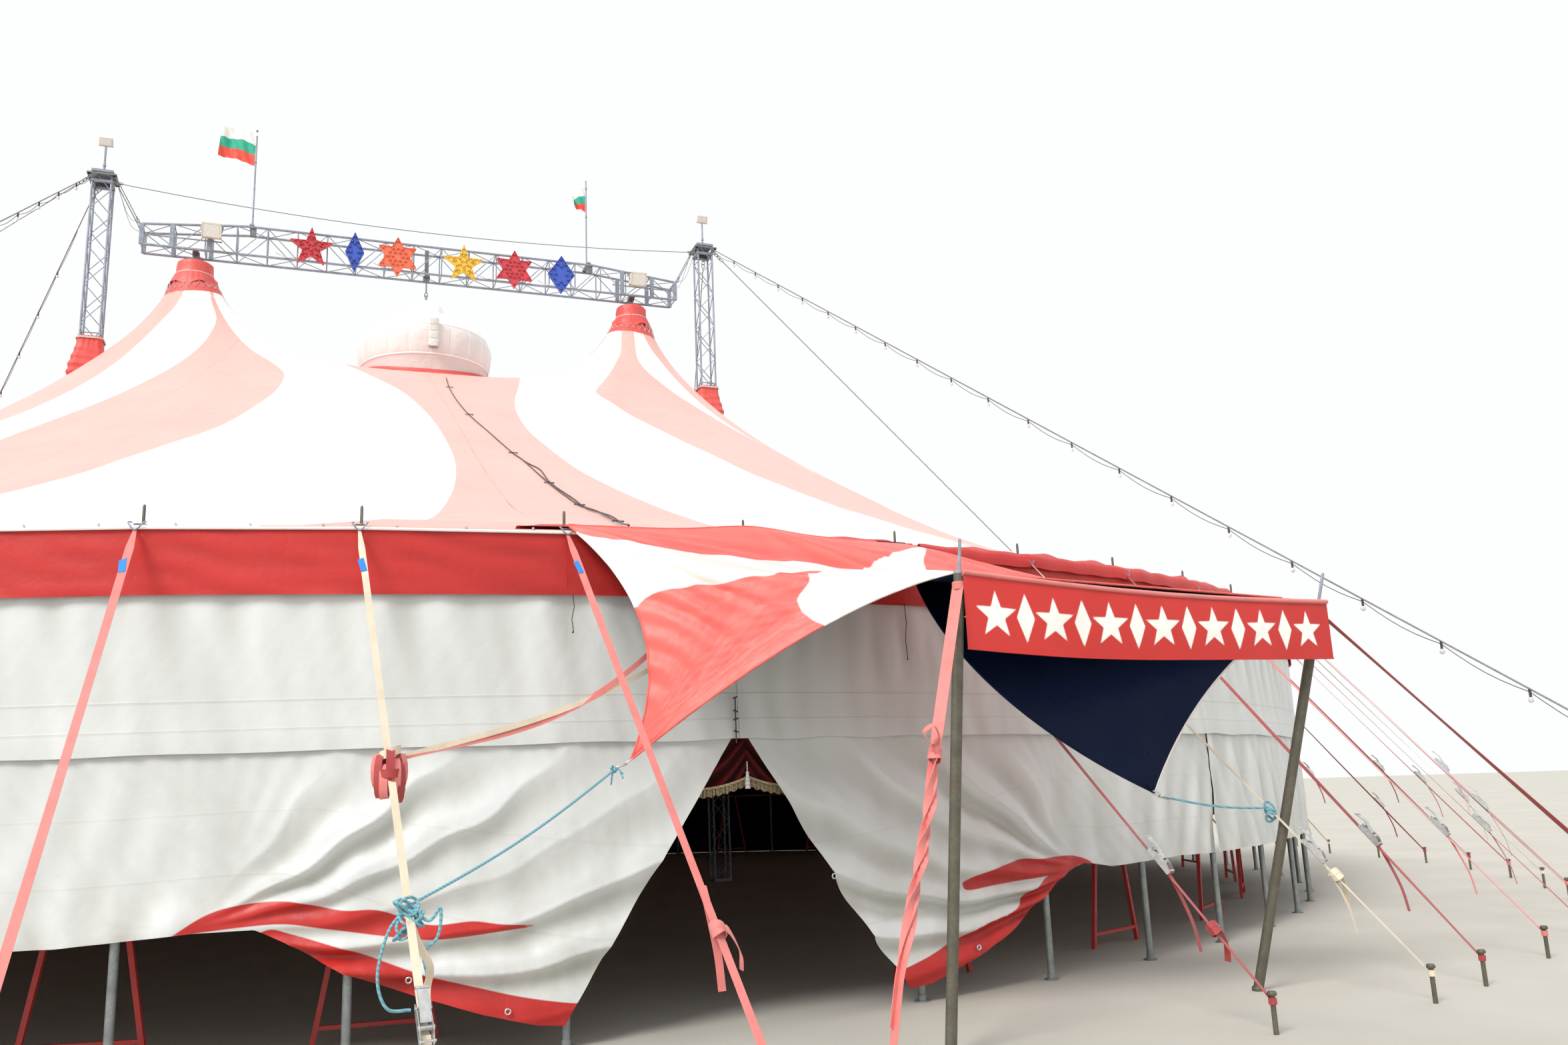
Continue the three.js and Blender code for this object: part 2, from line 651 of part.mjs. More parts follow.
// Half sections of the skylight's band and dome, as [radius, height] pairs.
const BAND_OUTSIDE = [
  [SKYLIGHT_TUBE, SKYLIGHT_BOTTOM], [SKYLIGHT_TUBE, 9600], [1165, SKYLIGHT_BASE], [1205, 9800],
  [1220, 9980], [1205, 10110], [1150, SKYLIGHT_WAIST],
];
const BAND_INSIDE = [
  [1130, SKYLIGHT_WAIST], [1185, 10105], [1200, 9980], [1185, 9805], [1145, 9650],
  [SKYLIGHT_BORE, 9620],
];
const DOME_LOW = SKYLIGHT_WAIST + CLEARANCE;
const DOME_OUTSIDE = [
  [1150, DOME_LOW], [1080, 10340], [900, 10500], [640, 10620], [340, 10720], [320, 10900],
  [230, 11010], [0, SKYLIGHT_TOP],
];
const DOME_INSIDE = [
  [0, 11050], [215, 10985], [300, 10880], [320, 10700], [630, 10598], [885, 10480],
  [1062, 10326], [1130, DOME_LOW],
];

function skylightBand() {
  const bottom = [SKYLIGHT_BORE, SKYLIGHT_BOTTOM];
  const { width, depth, height, x, y, z } = SKYLIGHT_LAMP;
  const lamp = box(width, depth, height, vec(x, y, z));
  const band = turned([bottom, ...BAND_OUTSIDE, ...BAND_INSIDE, bottom], vec(0, 0, 0), SKYLIGHT_SIDES);
  return band.add(lamp);
}

function skylightDome() {
  const shell = [DOME_INSIDE.at(-1), ...DOME_OUTSIDE, ...DOME_INSIDE];
  const hanger = rod(vec(0, 0, SKYLIGHT_TOP - HANGER_RADIUS), vec(0, 0, HANGER_TOP), HANGER_RADIUS);
  return turned(shell, vec(0, 0, 0), SKYLIGHT_SIDES).add(hanger);
}

const TRUSS_BAYS = 9;
const TRUSS_CHORD = 45;
const TRUSS_BRACE = 20;
const TRUSS_MID_DEPTH = 600;
const TRUSS_END_DEPTH = 430;
const TRUSS_LEVEL_HALF = 3200;

function trussTop(x) {
  const beyond = Math.max(0, Math.abs(x) - TRUSS_LEVEL_HALF);
  const share = beyond / (TRUSS_HALF_LENGTH - TRUSS_LEVEL_HALF);
  return TRUSS_BOTTOM + mix(TRUSS_MID_DEPTH, TRUSS_END_DEPTH, share);
}

// The top chord is level in the middle and slopes down to both ends.
function topChord(y) {
  const places = [-TRUSS_HALF_LENGTH, -TRUSS_LEVEL_HALF, TRUSS_LEVEL_HALF, TRUSS_HALF_LENGTH];
  const upper = places.map((x) => new THREE.Vector2(x, trussTop(x)));
  const lower = places.map((x) => new THREE.Vector2(x, trussTop(x) - TRUSS_CHORD)).reverse();
  const outline = new THREE.Shape([...upper, ...lower]);
  const geometry = new THREE.ExtrudeGeometry(outline, { depth: TRUSS_CHORD, bevelEnabled: false });
  geometry.rotateX(Math.PI / 2);
  geometry.translate(0, y + TRUSS_CHORD / 2, 0);
  return solidOf(geometry);
}

function ridgeTruss() {
  const half = (TRUSS_WIDTH - TRUSS_CHORD) / 2;
  const low = TRUSS_BOTTOM + TRUSS_CHORD / 2;
  const highAt = (x) => trussTop(x) - TRUSS_CHORD / 2;
  const end = TRUSS_HALF_LENGTH;
  const solids = [];
  for (const y of [-half, half]) {
    solids.push(bar(vec(-end, y, low), vec(end, y, low), TRUSS_CHORD), topChord(y));
  }
  for (const x of [-PEAK_X, 0, PEAK_X]) {
    solids.push(bar(vec(x, -half, low), vec(x, half, low), TRUSS_CHORD - TRUSS_JOINT_STEP));
  }
  const bay = (2 * TRUSS_HALF_LENGTH - TRUSS_CHORD) / TRUSS_BAYS;
  for (let i = 0; i <= TRUSS_BAYS; i += 1) {
    const x = -TRUSS_HALF_LENGTH + TRUSS_CHORD / 2 + i * bay;
    const isEnd = i === 0 || i === TRUSS_BAYS;
    const section = isEnd ? TRUSS_CHORD - TRUSS_JOINT_STEP : TRUSS_BRACE;
    solids.push(bar(vec(x, -half, highAt(x)), vec(x, half, highAt(x)), section));
    solids.push(bar(vec(x, -half, low), vec(x, half, low), section));
    for (const y of [-half, half]) {
      solids.push(bar(vec(x, y, low), vec(x, y, highAt(x)), section));
      if (i === TRUSS_BAYS) continue;
      const next = x + bay;
      const rising = i % 2 === 0;
      const from = rising ? vec(x, y, low) : vec(x, y, highAt(x));
      const to = rising ? vec(next, y, highAt(next)) : vec(next, y, low);
      solids.push(bar(from, to, TRUSS_BRACE));
    }
  }
  return joined(solids);
}

function addRidge() {
  for (const [side, x] of [['left', -PEAK_X], ['right', PEAK_X]]) {
    addPiece(`peak_cap_${side}`, peakCap(x), RED_CANVAS());
  }
  addPiece('skylight_band', skylightBand(), material(0xe9d9d4, 0.5));
  addPiece('skylight_dome', skylightDome(), WHITE_CANVAS());
  addPiece('ridge_truss', ridgeTruss(), GALVANISED());
}

// Marquee shapes on the front of the truss

const SHAPE_HEIGHT = 780;
const SHAPE_MIDDLE = 11800;
const SHAPE_DEPTH = 90;
const SHAPE_FRONT = -TRUSS_WIDTH / 2 - CLEARANCE - SHAPE_DEPTH;

function starOutline(points, outer, inner) {
  const shape = new THREE.Shape();
  for (let i = 0; i < 2 * points; i += 1) {
    const radius = i % 2 === 0 ? outer : inner;
    const turn = Math.PI / 2 + (i * Math.PI) / points;
    const place = [radius * Math.cos(turn), radius * Math.sin(turn)];
    if (i === 0) shape.moveTo(...place);
    else shape.lineTo(...place);
  }
  shape.closePath();
  return shape;
}

function lozengeOutline(width) {
  const shape = new THREE.Shape();
  shape.moveTo(0, SHAPE_HEIGHT / 2);
  shape.lineTo(-width / 2, 0);
  shape.lineTo(0, -SHAPE_HEIGHT / 2);
  shape.lineTo(width / 2, 0);
  shape.closePath();
  return shape;
}

const FIVE_POINT_WAIST = 0.2;
const SIX_POINT_WAIST = 0.278;
const FIVE_POINT = () => starOutline(5, SHAPE_HEIGHT / 2, SHAPE_HEIGHT * FIVE_POINT_WAIST);
const SIX_POINT = () => starOutline(6, SHAPE_HEIGHT / 2, SHAPE_HEIGHT * SIX_POINT_WAIST);
const MARQUEE = [
  ['marquee_star_1', -2090, FIVE_POINT, 0xc9222b],
  ['marquee_lozenge_1', -1330, () => lozengeOutline(330), 0x1f3fa8],
  ['marquee_star_2', -560, SIX_POINT, 0xe2642a],
  ['marquee_star_3', 660, FIVE_POINT, 0xeebb1d],
  ['marquee_star_4', 1630, SIX_POINT, 0xc9222b],
  ['marquee_lozenge_2', 2550, () => lozengeOutline(520), 0x1f3fa8],
];

function addMarquee() {
  for (const [name, x, outline, color] of MARQUEE) {
    const geometry = new THREE.ExtrudeGeometry(outline(), { depth: SHAPE_DEPTH, bevelEnabled: false });
    geometry.rotateX(Math.PI / 2);
    geometry.translate(x, SHAPE_FRONT + SHAPE_DEPTH, SHAPE_MIDDLE);
    addPiece(name, solidOf(geometry), material(color, 0.35, 0.2));
  }
}

// Flags and flood lights on the truss

const FLAG_POLE_X = 3120;
const FLAG_POLE_TOP = 14050;
const FLAG_POLE_RADIUS = 15;
const FLAG_THICKNESS = 14;
const FLAG_BEAM_WIDTH = 80;
const FLAG_BEAM_DEPTH = 30;
// Each flag is a side, its pole's place, its width, and its lower and upper edges.
const FLAGS = [
  ['left', -FLAG_POLE_X, 620, 13430, 14180],
  ['right', FLAG_POLE_X, 290, 13170, 13900],
];

function addFlags() {
  for (const [side, x, width, low, high] of FLAGS) {
    const foot = trussTop(x) + CLEARANCE;
    const pole = rod(vec(x, 0, foot + FLAG_BEAM_DEPTH / 6), vec(x, 0, FLAG_POLE_TOP), FLAG_POLE_RADIUS);
    const beamMiddle = vec(x, 0, foot + FLAG_BEAM_DEPTH / 2);
    const crossBeam = box(FLAG_BEAM_WIDTH, TRUSS_WIDTH, FLAG_BEAM_DEPTH, beamMiddle);
    addPiece(`flag_pole_${side}`, pole.add(crossBeam), GALVANISED());
    const nearEdge = x - FLAG_POLE_RADIUS * Math.cos(Math.PI / 6) - CLEARANCE;
    const flag = box(width, FLAG_THICKNESS, high - low, vec(nearEdge - width / 2, 0, (low + high) / 2));
    addPiece(`flag_${side}`, flag, WHITE_CANVAS());
  }
}

const TRUSS_LIGHTS = [['left', -3770], ['right', 4080]];
const TRUSS_LIGHT_DROP = 60;
const TRUSS_LIGHT_HOUSING = { width: 330, depth: 260, height: 300, standoff: 40 };
const TRUSS_LIGHT_BRACKET = { width: 360, depth: 60, height: 40 };

function addTrussLights() {
  const housing = TRUSS_LIGHT_HOUSING;
  const bracket = TRUSS_LIGHT_BRACKET;
  for (const [side, x] of TRUSS_LIGHTS) {
    const back = -TRUSS_WIDTH / 2 - CLEARANCE;
    const top = trussTop(x) - TRUSS_LIGHT_DROP;
    const housingMiddle = vec(x, back - housing.standoff - housing.depth / 2, top - housing.height / 2);
    const bracketMiddle = vec(x, back - bracket.depth / 2, top - bracket.height / 2);
    const solid = box(housing.width, housing.depth, housing.height, housingMiddle)
      .add(box(bracket.width, bracket.depth, bracket.height, bracketMiddle));
    addPiece(`truss_light_${side}`, solid, LAMP_CREAM());
  }
}

// Cables from the mast heads: guys to the ground, slings to the truss and the top cable

const GUY_ANCHORS = {
  left: [vec(-8150, -17780, 0), vec(-18350, -1250, 0), vec(-13370, 13160, 0)],
  right: [vec(9500, -17780, 0), vec(18350, -1250, 0), vec(9500, 17780, 0)],
};
const HEAD_PLATE = 30;
const HEAD_PLATE_HEIGHT = MAST_HEIGHT - 100;
const HEAD_PLATE_REACH = 60;
const TOP_CABLE_SAG = 260;
const TOP_CABLE_Y = 110;
const TOP_CABLE_END_GAP = 12;
const SLING_Y = 205;
const LUG = 36;
const GUY_FOOT_HEIGHT = 200;
const SIDE_GUY_Y = 40;
const CORNER_GUY_X = 90;

function guyStake(anchor) {
  return bar(anchor, anchor.clone().setZ(STAKE_HEIGHT), STAKE_WIDTH);
}

function headPlate(x) {
  const middle = vec(x, 0, HEAD_PLATE_HEIGHT);
  const size = MAST_FACE + 2 * HEAD_PLATE_REACH;
  const inside = MAST_FACE + 2 * CLEARANCE;
  return box(size, size, HEAD_PLATE, middle).subtract(box(inside, inside, 2 * HEAD_PLATE, middle));
}

function mastCables(side, x) {
  const z = HEAD_PLATE_HEIGHT;
  const reach = MAST_FACE / 2 + HEAD_PLATE_REACH / 2;
  const solids = [headPlate(x)];
  for (const anchor of GUY_ANCHORS[side]) {
    const alongRidge = Math.abs(anchor.x) > Math.abs(anchor.y) * 2;
    const from = alongRidge
      ? vec(x + Math.sign(anchor.x) * reach, Math.sign(anchor.y) * SIDE_GUY_Y, z)
      : vec(x + Math.sign(anchor.x) * CORNER_GUY_X, Math.sign(anchor.y) * reach, z);
    solids.push(stay(from, anchor.clone().setZ(GUY_FOOT_HEIGHT), CABLE_RADIUS), guyStake(anchor));
  }
  const inward = -Math.sign(x);
  const trussEnd = -inward * TRUSS_HALF_LENGTH;
  for (const y of [-SLING_Y, SLING_Y]) {
    const to = vec(trussEnd - inward * (CLEARANCE + LUG / 2), y, trussTop(trussEnd) - TRUSS_CHORD / 2);
    solids.push(stay(vec(x + inward * reach, y, z), to, CABLE_RADIUS), box(LUG, LUG, LUG, to));
  }
  return joined(solids);
}

function topCable() {
  const z = HEAD_PLATE_HEIGHT;
  const endX = MAST_X - MAST_FACE / 2 - HEAD_PLATE_REACH / 2;
  const places = [-1, -0.5, 0, 0.5, 1].map((u) =>
    vec(u * endX, TOP_CABLE_Y, z - TOP_CABLE_SAG * (1 - u * u)));
  const last = places.length - 1;
  places[last] = vec(endX - HEAD_PLATE_REACH / 2 - TOP_CABLE_END_GAP, TOP_CABLE_Y, z);
  const route = new THREE.CurvePath();
  for (let i = 0; i < last; i += 1) route.add(new THREE.LineCurve3(places[i], places[i + 1]));
  const section = new THREE.Shape(new THREE.Path().absarc(0, 0, CABLE_RADIUS, 0, 2 * Math.PI).getPoints(6));
  return solidOf(new THREE.ExtrudeGeometry(section, { steps: 2 * last, extrudePath: route }));
}

function addCables() {
  addPiece('mast_cables_left', mastCables('left', -MAST_X).add(topCable()), CABLE_STEEL());
  addPiece('mast_cables_right', mastCables('right', MAST_X), CABLE_STEEL());
}

// Entrance canopy: a sail from the eave at the doorway to two leaning poles, with a hanging
// wing on each side drawn out by a rope

const CANOPY_THICKNESS = 12;
const LEFT_POLE = { foot: vec(1800, -16120, 0), top: vec(2050, -16200, 3020) };
const RIGHT_POLE = { foot: vec(4900, -15300, 0), top: vec(5300, -16000, 2900) };
const CANOPY_POLE_RADIUS = 39;
const CANOPY_SPIKE = 230;
const SPIKE_LAP = 10;
const STRAP_BELOW_TOP = 90;
const CANOPY_ANCHORS = { left: vec(900, -17150, 0), right: vec(8000, -16600, 0) };
const LEFT_TIP = vec(45, -15170, 1880);
const RIGHT_TIP = vec(3937, -15550, 1516);
// Where the curved edges of the two wings bend to.
const WING_BENDS = {
  rearLeft: vec(460, -15200, 2830),
  rearRight: vec(1840, -16000, 2300),
  frontLeft: vec(1270, -15730, 2885),
  frontRight: vec(4300, -15750, 2450),
};
// The front corners lie just behind and above the pole tops.
const FRONT_CORNER_LEFT = vec(0, 30, 9.1);
const FRONT_CORNER_RIGHT = vec(-14, 32, 16.6);
// The rear edge lies just outside and above the eave belt, on hooks from three pole spikes.
const REAR_RADIUS = BELT_OUTER_RADIUS + 40;
const REAR_HEIGHT = EAVE_HEIGHT + 45;
const HOOK_WIDTH = 8;
const HOOK_SHORT = 2;
const CANOPY_SAG = 130;
const ROOF_START = 0.3;
const ROOF_END = 0.7;
const CANOPY_COLUMNS = 20;
const CANOPY_ROWS = 5;

function alongCurve(from, middle, to, t) {
  return new THREE.QuadraticBezierCurve3(from, middle, to).getPoint(t);
}

function canopyRear(u) {
  const left = polar(REAR_RADIUS, poleAzimuth(DOOR_LEFT_POLE), REAR_HEIGHT);
  const right = polar(REAR_RADIUS, poleAzimuth(DOOR_RIGHT_POLE), REAR_HEIGHT);
  if (u < ROOF_START) return alongCurve(LEFT_TIP, WING_BENDS.rearLeft, left, u / ROOF_START);
  if (u > ROOF_END) {
    return alongCurve(right, WING_BENDS.rearRight, RIGHT_TIP, (u - ROOF_END) / (1 - ROOF_END));
  }
  const index = mix(DOOR_LEFT_POLE, DOOR_RIGHT_POLE, (u - ROOF_START) / (ROOF_END - ROOF_START));
  return ringPlace(REAR_RADIUS, index, REAR_HEIGHT);
}

function canopyFront(u) {
  const left = LEFT_POLE.top.clone().add(FRONT_CORNER_LEFT);
  const right = RIGHT_POLE.top.clone().add(FRONT_CORNER_RIGHT);
  if (u < ROOF_START) return alongCurve(LEFT_TIP, WING_BENDS.frontLeft, left, u / ROOF_START);
  if (u > ROOF_END) {
    return alongCurve(right, WING_BENDS.frontRight, RIGHT_TIP, (u - ROOF_END) / (1 - ROOF_END));
  }
  return left.lerp(right, (u - ROOF_START) / (ROOF_END - ROOF_START));
}

// A sheet of even thickness on a grid of points, offset along the grid's own normals.
function skin(points, thickness) {
  const rows = points.length;
  const columns = points[0].length;
  const clamp = (value, high) => Math.max(0, Math.min(high, value));
  const normalAt = (r, c) => {
    const column = clamp(c, columns - 2) || 1;
    const right = points[r][clamp(column + 1, columns - 1)].clone().sub(points[r][column - 1]);
    const up = points[clamp(r + 1, rows - 1)][column].clone().sub(points[clamp(r - 1, rows - 1)][column]);
    return right.cross(up).normalize();
  };
  const offset = (distance) => points.map((line, r) => line.map((place, c) => {
    const atTip = points[0][c].distanceTo(points[rows - 1][c]) < 1;
    return place.clone().addScaledVector(normalAt(atTip ? Math.floor(rows / 2) : r, c), distance);
  }));
  return sheet(offset(thickness / 2), offset(-thickness / 2));
}

function canopySkin() {
  const points = [];
  for (let row = 0; row <= CANOPY_ROWS; row += 1) {
    const v = 1 - row / CANOPY_ROWS;
    const line = [];
    for (let column = 0; column <= CANOPY_COLUMNS; column += 1) {
      const u = column / CANOPY_COLUMNS;
      const place = canopyRear(u).lerp(canopyFront(u), v);
      const overRoof = Math.min(1, Math.max(0, Math.min(u / ROOF_START, (1 - u) / (1 - ROOF_END))));
      place.z -= CANOPY_SAG * Math.sin(Math.PI * v) ** 2 * overRoof;
      line.push(place);
    }
    points.push(line);
  }
  return skin(points, CANOPY_THICKNESS);
}

const BELOW_GROUND = 60;

function cutAtGround(solid) {
  const reach = 6 * TENT_RADIUS;
  return solid.subtract(box(reach, reach, 4 * BELOW_GROUND, vec(0, 0, -2 * BELOW_GROUND)));
}

function canopyPole(pole, anchor) {
  const along = pole.top.clone().sub(pole.foot).normalize();
  const fromTop = (distance) => pole.top.clone().addScaledVector(along, distance);
  const below = pole.foot.clone().addScaledVector(along, -BELOW_GROUND);
  const tube = rod(below, pole.top, CANOPY_POLE_RADIUS, 10);
  const spike = rod(fromTop(-SPIKE_LAP), fromTop(CANOPY_SPIKE), SPIKE_RADIUS, 5);
  return cutAtGround(joined([tube, spike, webbingGuy(fromTop(-STRAP_BELOW_TOP), anchor)]));
}

// How far the banner hangs down at its left and right ends.
const BANNER_DROPS = [510, 430];
const BANNER_THICKNESS = 8;
// The banner's upper corners, measured from the pole tops.
const BANNER_LEFT = vec(0, -46.2, -5);
const BANNER_RIGHT = vec(30, -48.3, -5);

function banner() {
  const left = LEFT_POLE.top.clone().add(BANNER_LEFT);
  const right = RIGHT_POLE.top.clone().add(BANNER_RIGHT);
  const lowered = [left, right].map((corner, i) => corner.clone().add(vec(0, 0, -BANNER_DROPS[i])));
  const back = vec(0, BANNER_THICKNESS, 0);
  const front = [lowered, [left, right]];
  const rear = front.map((line) => line.map((place) => place.clone().add(back)));
  return sheet(front, rear);
}

function addCanopy() {
  addPiece('canopy', canopySkin(), RED_CANVAS());
  addPiece('canopy_pole_left', canopyPole(LEFT_POLE, CANOPY_ANCHORS.left), DARK_TUBE());
  addPiece('canopy_pole_right', canopyPole(RIGHT_POLE, CANOPY_ANCHORS.right), DARK_TUBE());
  addPiece('entrance_banner', banner(), RED_CANVAS());
}

// Draped pelmet inside the doorway, hung from the header rail

const PELMET_DROP = 920;
const PELMET_SWAG = 80;
const PELMET_SWAGS = 3;
const PELMET_THICKNESS = 40;
const PELMET_RADIUS = 14440;
const PELMET_STATIONS = [0.12, 0.4, 0.7, 1, 1.3, 1.6, 1.88];

function addPelmet() {
  const top = HEADER_HEIGHT - HEADER_RADIUS - CLEARANCE;
  const rise = (station) => Math.abs(Math.sin((station * Math.PI * PELMET_SWAGS) / 2));
  const hem = (station) => top - PELMET_DROP + PELMET_SWAG * rise(station);
  const pelmet = ringBand(PELMET_STATIONS, PELMET_RADIUS, PELMET_THICKNESS, hem, top);
  addPiece('doorway_pelmet', pelmet, RED_CANVAS());
}

// Trestles of the seating, seen under the hem of the side walls

const TRESTLE_RADIUS = 13600;
const TRESTLE_HALF_BASE = 430;
const TRESTLE_HALF_TOP = 150;
const TRESTLE_HEIGHT = 1500;
const TRESTLE_BAR = 38;
const TRESTLE_RAIL = 30;
const TRESTLE_RAIL_HEIGHT = 130;
const TRESTLE_LEG_TOP = TRESTLE_HEIGHT + 10;
const PLANK_DEPTH = 300;
const PLANK_THICKNESS = 40;
const PLANK_OVERHANG = 0.2;
// Each run of trestles is a name, its first place and its step in bays, and its number of trestles.
const TRESTLE_RUNS = [
  ['right_front', 2.6, 2, 8],
  ['right_back', 18.6, 2, 7],
  ['left_back', 32.9, 2, 8],
  ['left_front', 50.05, 1.45, 10],
];

function trestle(index) {
  const azimuth = poleAzimuth(index);
  const across = polar(1, azimuth + 90, 0).multiplyScalar(-1);
  const at = (side, z) => polar(TRESTLE_RADIUS, azimuth, z).addScaledVector(across, side);
  const half = mix(TRESTLE_HALF_BASE, TRESTLE_HALF_TOP, TRESTLE_RAIL_HEIGHT / TRESTLE_HEIGHT);
  const leg = (side) => {
    const foot = at(side * TRESTLE_HALF_BASE, -TRESTLE_BAR);
    return bar(foot, at(side * TRESTLE_HALF_TOP, TRESTLE_LEG_TOP), TRESTLE_BAR);
  };
  const rail = bar(at(-half, TRESTLE_RAIL_HEIGHT), at(half, TRESTLE_RAIL_HEIGHT), TRESTLE_RAIL);
  return [leg(-1), leg(1), rail];
}

function addTrestles() {
  for (const [name, first, step, count] of TRESTLE_RUNS) {
    const places = Array.from({ length: count }, (_, i) => first + i * step);
    const start = first - PLANK_OVERHANG;
    const end = places[count - 1] + PLANK_OVERHANG;
    const stations = [start, ...wholeBays(Math.ceil(start), Math.floor(end)), end];
    const inner = TRESTLE_RADIUS - PLANK_DEPTH / 2;
    const planks = ringBand(stations, inner, PLANK_DEPTH, TRESTLE_HEIGHT, TRESTLE_HEIGHT + PLANK_THICKNESS);
    const solid = cutAtGround(joined([planks, ...places.flatMap(trestle)]));
    addPiece(`seat_trestles_${name}`, solid, RED_PAINT());
  }
}

addRoof();
addWalls();
addCurtains();
addValance();
addPoles();
addMasts();
addRidge();
addMarquee();
addFlags();
addTrussLights();
addCables();
addCanopy();
addPelmet();
addTrestles();

export default group;
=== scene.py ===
# Circus big top tent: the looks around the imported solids.
# Lengths are metres in the part's own frame: +Z up, +X along the ridge, -Y the entrance side.

import math

import bpy
import numpy as np
from mathutils import Matrix


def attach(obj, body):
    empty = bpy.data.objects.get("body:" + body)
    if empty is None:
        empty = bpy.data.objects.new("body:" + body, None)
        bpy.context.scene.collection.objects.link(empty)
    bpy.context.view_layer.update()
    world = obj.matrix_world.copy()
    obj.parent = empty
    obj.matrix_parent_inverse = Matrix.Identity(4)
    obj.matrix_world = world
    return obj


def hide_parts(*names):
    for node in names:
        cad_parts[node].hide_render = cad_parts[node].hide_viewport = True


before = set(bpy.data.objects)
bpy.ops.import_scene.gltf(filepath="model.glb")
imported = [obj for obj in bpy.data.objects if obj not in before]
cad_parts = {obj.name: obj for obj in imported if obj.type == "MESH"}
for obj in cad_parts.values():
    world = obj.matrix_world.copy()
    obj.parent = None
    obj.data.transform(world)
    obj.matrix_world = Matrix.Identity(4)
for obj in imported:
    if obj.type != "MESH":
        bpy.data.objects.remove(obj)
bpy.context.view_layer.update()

# Driving sizes, the same as in the solids

TENT_RADIUS = 14.5
EAVE = 3.55
POLES = 64
POLE_STEP = 360 / POLES
FIRST_POLE = -1.0
DOOR_POLE = 1
CANVAS_EDGE = 14.44
CANVAS_LIFT = 0.0253
POLE_CIRCLE = 14.46
PEAK_X = 4.03
MAST_X = 5.6
MAST_TOP = 12.9
TRUSS_HALF = 4.93
TRUSS_BOTTOM = 11.53
METRES_PER_DEGREE = math.radians(1) * TENT_RADIUS
UP = np.array([0, 0, 1])

# Places


def pole_azimuth(index):
    return FIRST_POLE + POLE_STEP * index


def polar(radius, azimuth, height):
    """A place by its distance from the middle, its azimuth from the front and its height."""
    turn = np.radians(azimuth)
    places = np.broadcast_arrays(radius * np.sin(turn), -radius * np.cos(turn), height)
    return np.stack(places, axis=-1).astype(float)


def ring_radius(radius, azimuth):
    """The distance of a straight line from pole to pole, where the poles stand at radius."""
    place = (np.asarray(azimuth) - FIRST_POLE) % POLE_STEP - POLE_STEP / 2
    return radius * math.cos(math.radians(POLE_STEP / 2)) / np.cos(np.radians(place))


def on_wall(out, azimuth, height):
    """A place on the straight lines from pole to pole, which is out from the middle at a pole."""
    return polar(ring_radius(1, azimuth) * out, azimuth, height)


def step_up(value, low, high):
    """Rises smoothly from 0 at low to 1 at high."""
    share = np.clip((np.asarray(value, float) - low) / (high - low), 0, 1)
    return share * share * (3 - 2 * share)


def step_down(value, low, high):
    """Falls smoothly from 1 at low to 0 at high."""
    return 1 - step_up(value, low, high)


def shares(columns, rows):
    """Shares from 0 to 1 along the columns of a grid, and up its rows."""
    return np.linspace(0, 1, columns), np.linspace(0, 1, rows)[:, None]


def unit(vector):
    vector = np.asarray(vector, float)
    return vector / np.maximum(np.linalg.norm(vector, axis=-1, keepdims=True), 1e-12)


def smooth_line(points, steps=6):
    """A smooth curve through the points."""
    points = np.asarray(points, float)
    padded = np.vstack([2 * points[0] - points[1], points, 2 * points[-1] - points[-2]])
    line = []
    for a, b, c, d in zip(padded, padded[1:], padded[2:], padded[3:]):
        for t in np.arange(steps) / steps:
            line.append(0.5 * (2 * b + (c - a) * t + (2 * a - 5 * b + 4 * c - d) * t**2
                               + (3 * b - a - 3 * c + d) * t**3))
    line.append(points[-1])
    return np.array(line)


def even_line(points, count):
    """Points at even steps along a line."""
    points = np.asarray(points, float)
    run = np.concatenate([[0], np.cumsum(np.linalg.norm(np.diff(points, axis=0), axis=1))])
    at = np.linspace(0, run[-1], count)
    return np.stack([np.interp(at, run, points[:, k]) for k in range(points.shape[1])], axis=1)


def signed_distance(x, y, outline):
    """The distance to a closed outline in a plane, positive inside it."""
    place = np.stack([np.ravel(x), np.ravel(y)], axis=1)
    inside = np.zeros(len(place), bool)
    nearest = np.full(len(place), 1e9)
    for a, b in zip(outline, np.roll(outline, -1, axis=0)):
        along = b - a
        share = np.clip(((place - a) @ along) / max(along @ along, 1e-12), 0, 1)
        gap = place - a - share[:, None] * along
        nearest = np.minimum(nearest, np.hypot(gap[:, 0], gap[:, 1]))
        if a[1] != b[1]:
            crosses = (a[1] > place[:, 1]) != (b[1] > place[:, 1])
            meets = a[0] + (place[:, 1] - a[1]) * along[0] / along[1]
            inside ^= crosses & (place[:, 0] < meets)
    return np.where(inside, nearest, -nearest).reshape(np.shape(x))


def waves(a, b, seed, count, size, tilt=0.3, stretch=6.0):
    """Uneven folds that run mainly along b, about size apart along a, between -1 and 1."""
    random = np.random.default_rng(seed)
    total = np.zeros(np.broadcast(a, b).shape)
    for _ in range(count):
        length = size * random.uniform(0.6, 1.7)
        lean = random.uniform(-tilt, tilt)
        phase = random.uniform(0, 2 * math.pi)
        along = random.uniform(0, 2 * math.pi)
        strength = 0.65 + 0.35 * np.sin(2 * math.pi * b / (stretch * size) + along)
        total += strength * np.sin(2 * math.pi * (a + lean * b) / length + phase)
    return total / count**0.5 / 1.4


# Meshes


def grid_faces(rows, columns, closed=False):
    """Faces of a grid whose columns run to the right and whose rows run up, seen from outside."""
    across = columns if closed else columns - 1
    r, c = np.meshgrid(np.arange(rows - 1), np.arange(across), indexing="ij")
    n = (c + 1) % columns
    faces = [r * columns + c, r * columns + n, (r + 1) * columns + n, (r + 1) * columns + c]
    return np.stack(faces, axis=-1).reshape(-1, 4)


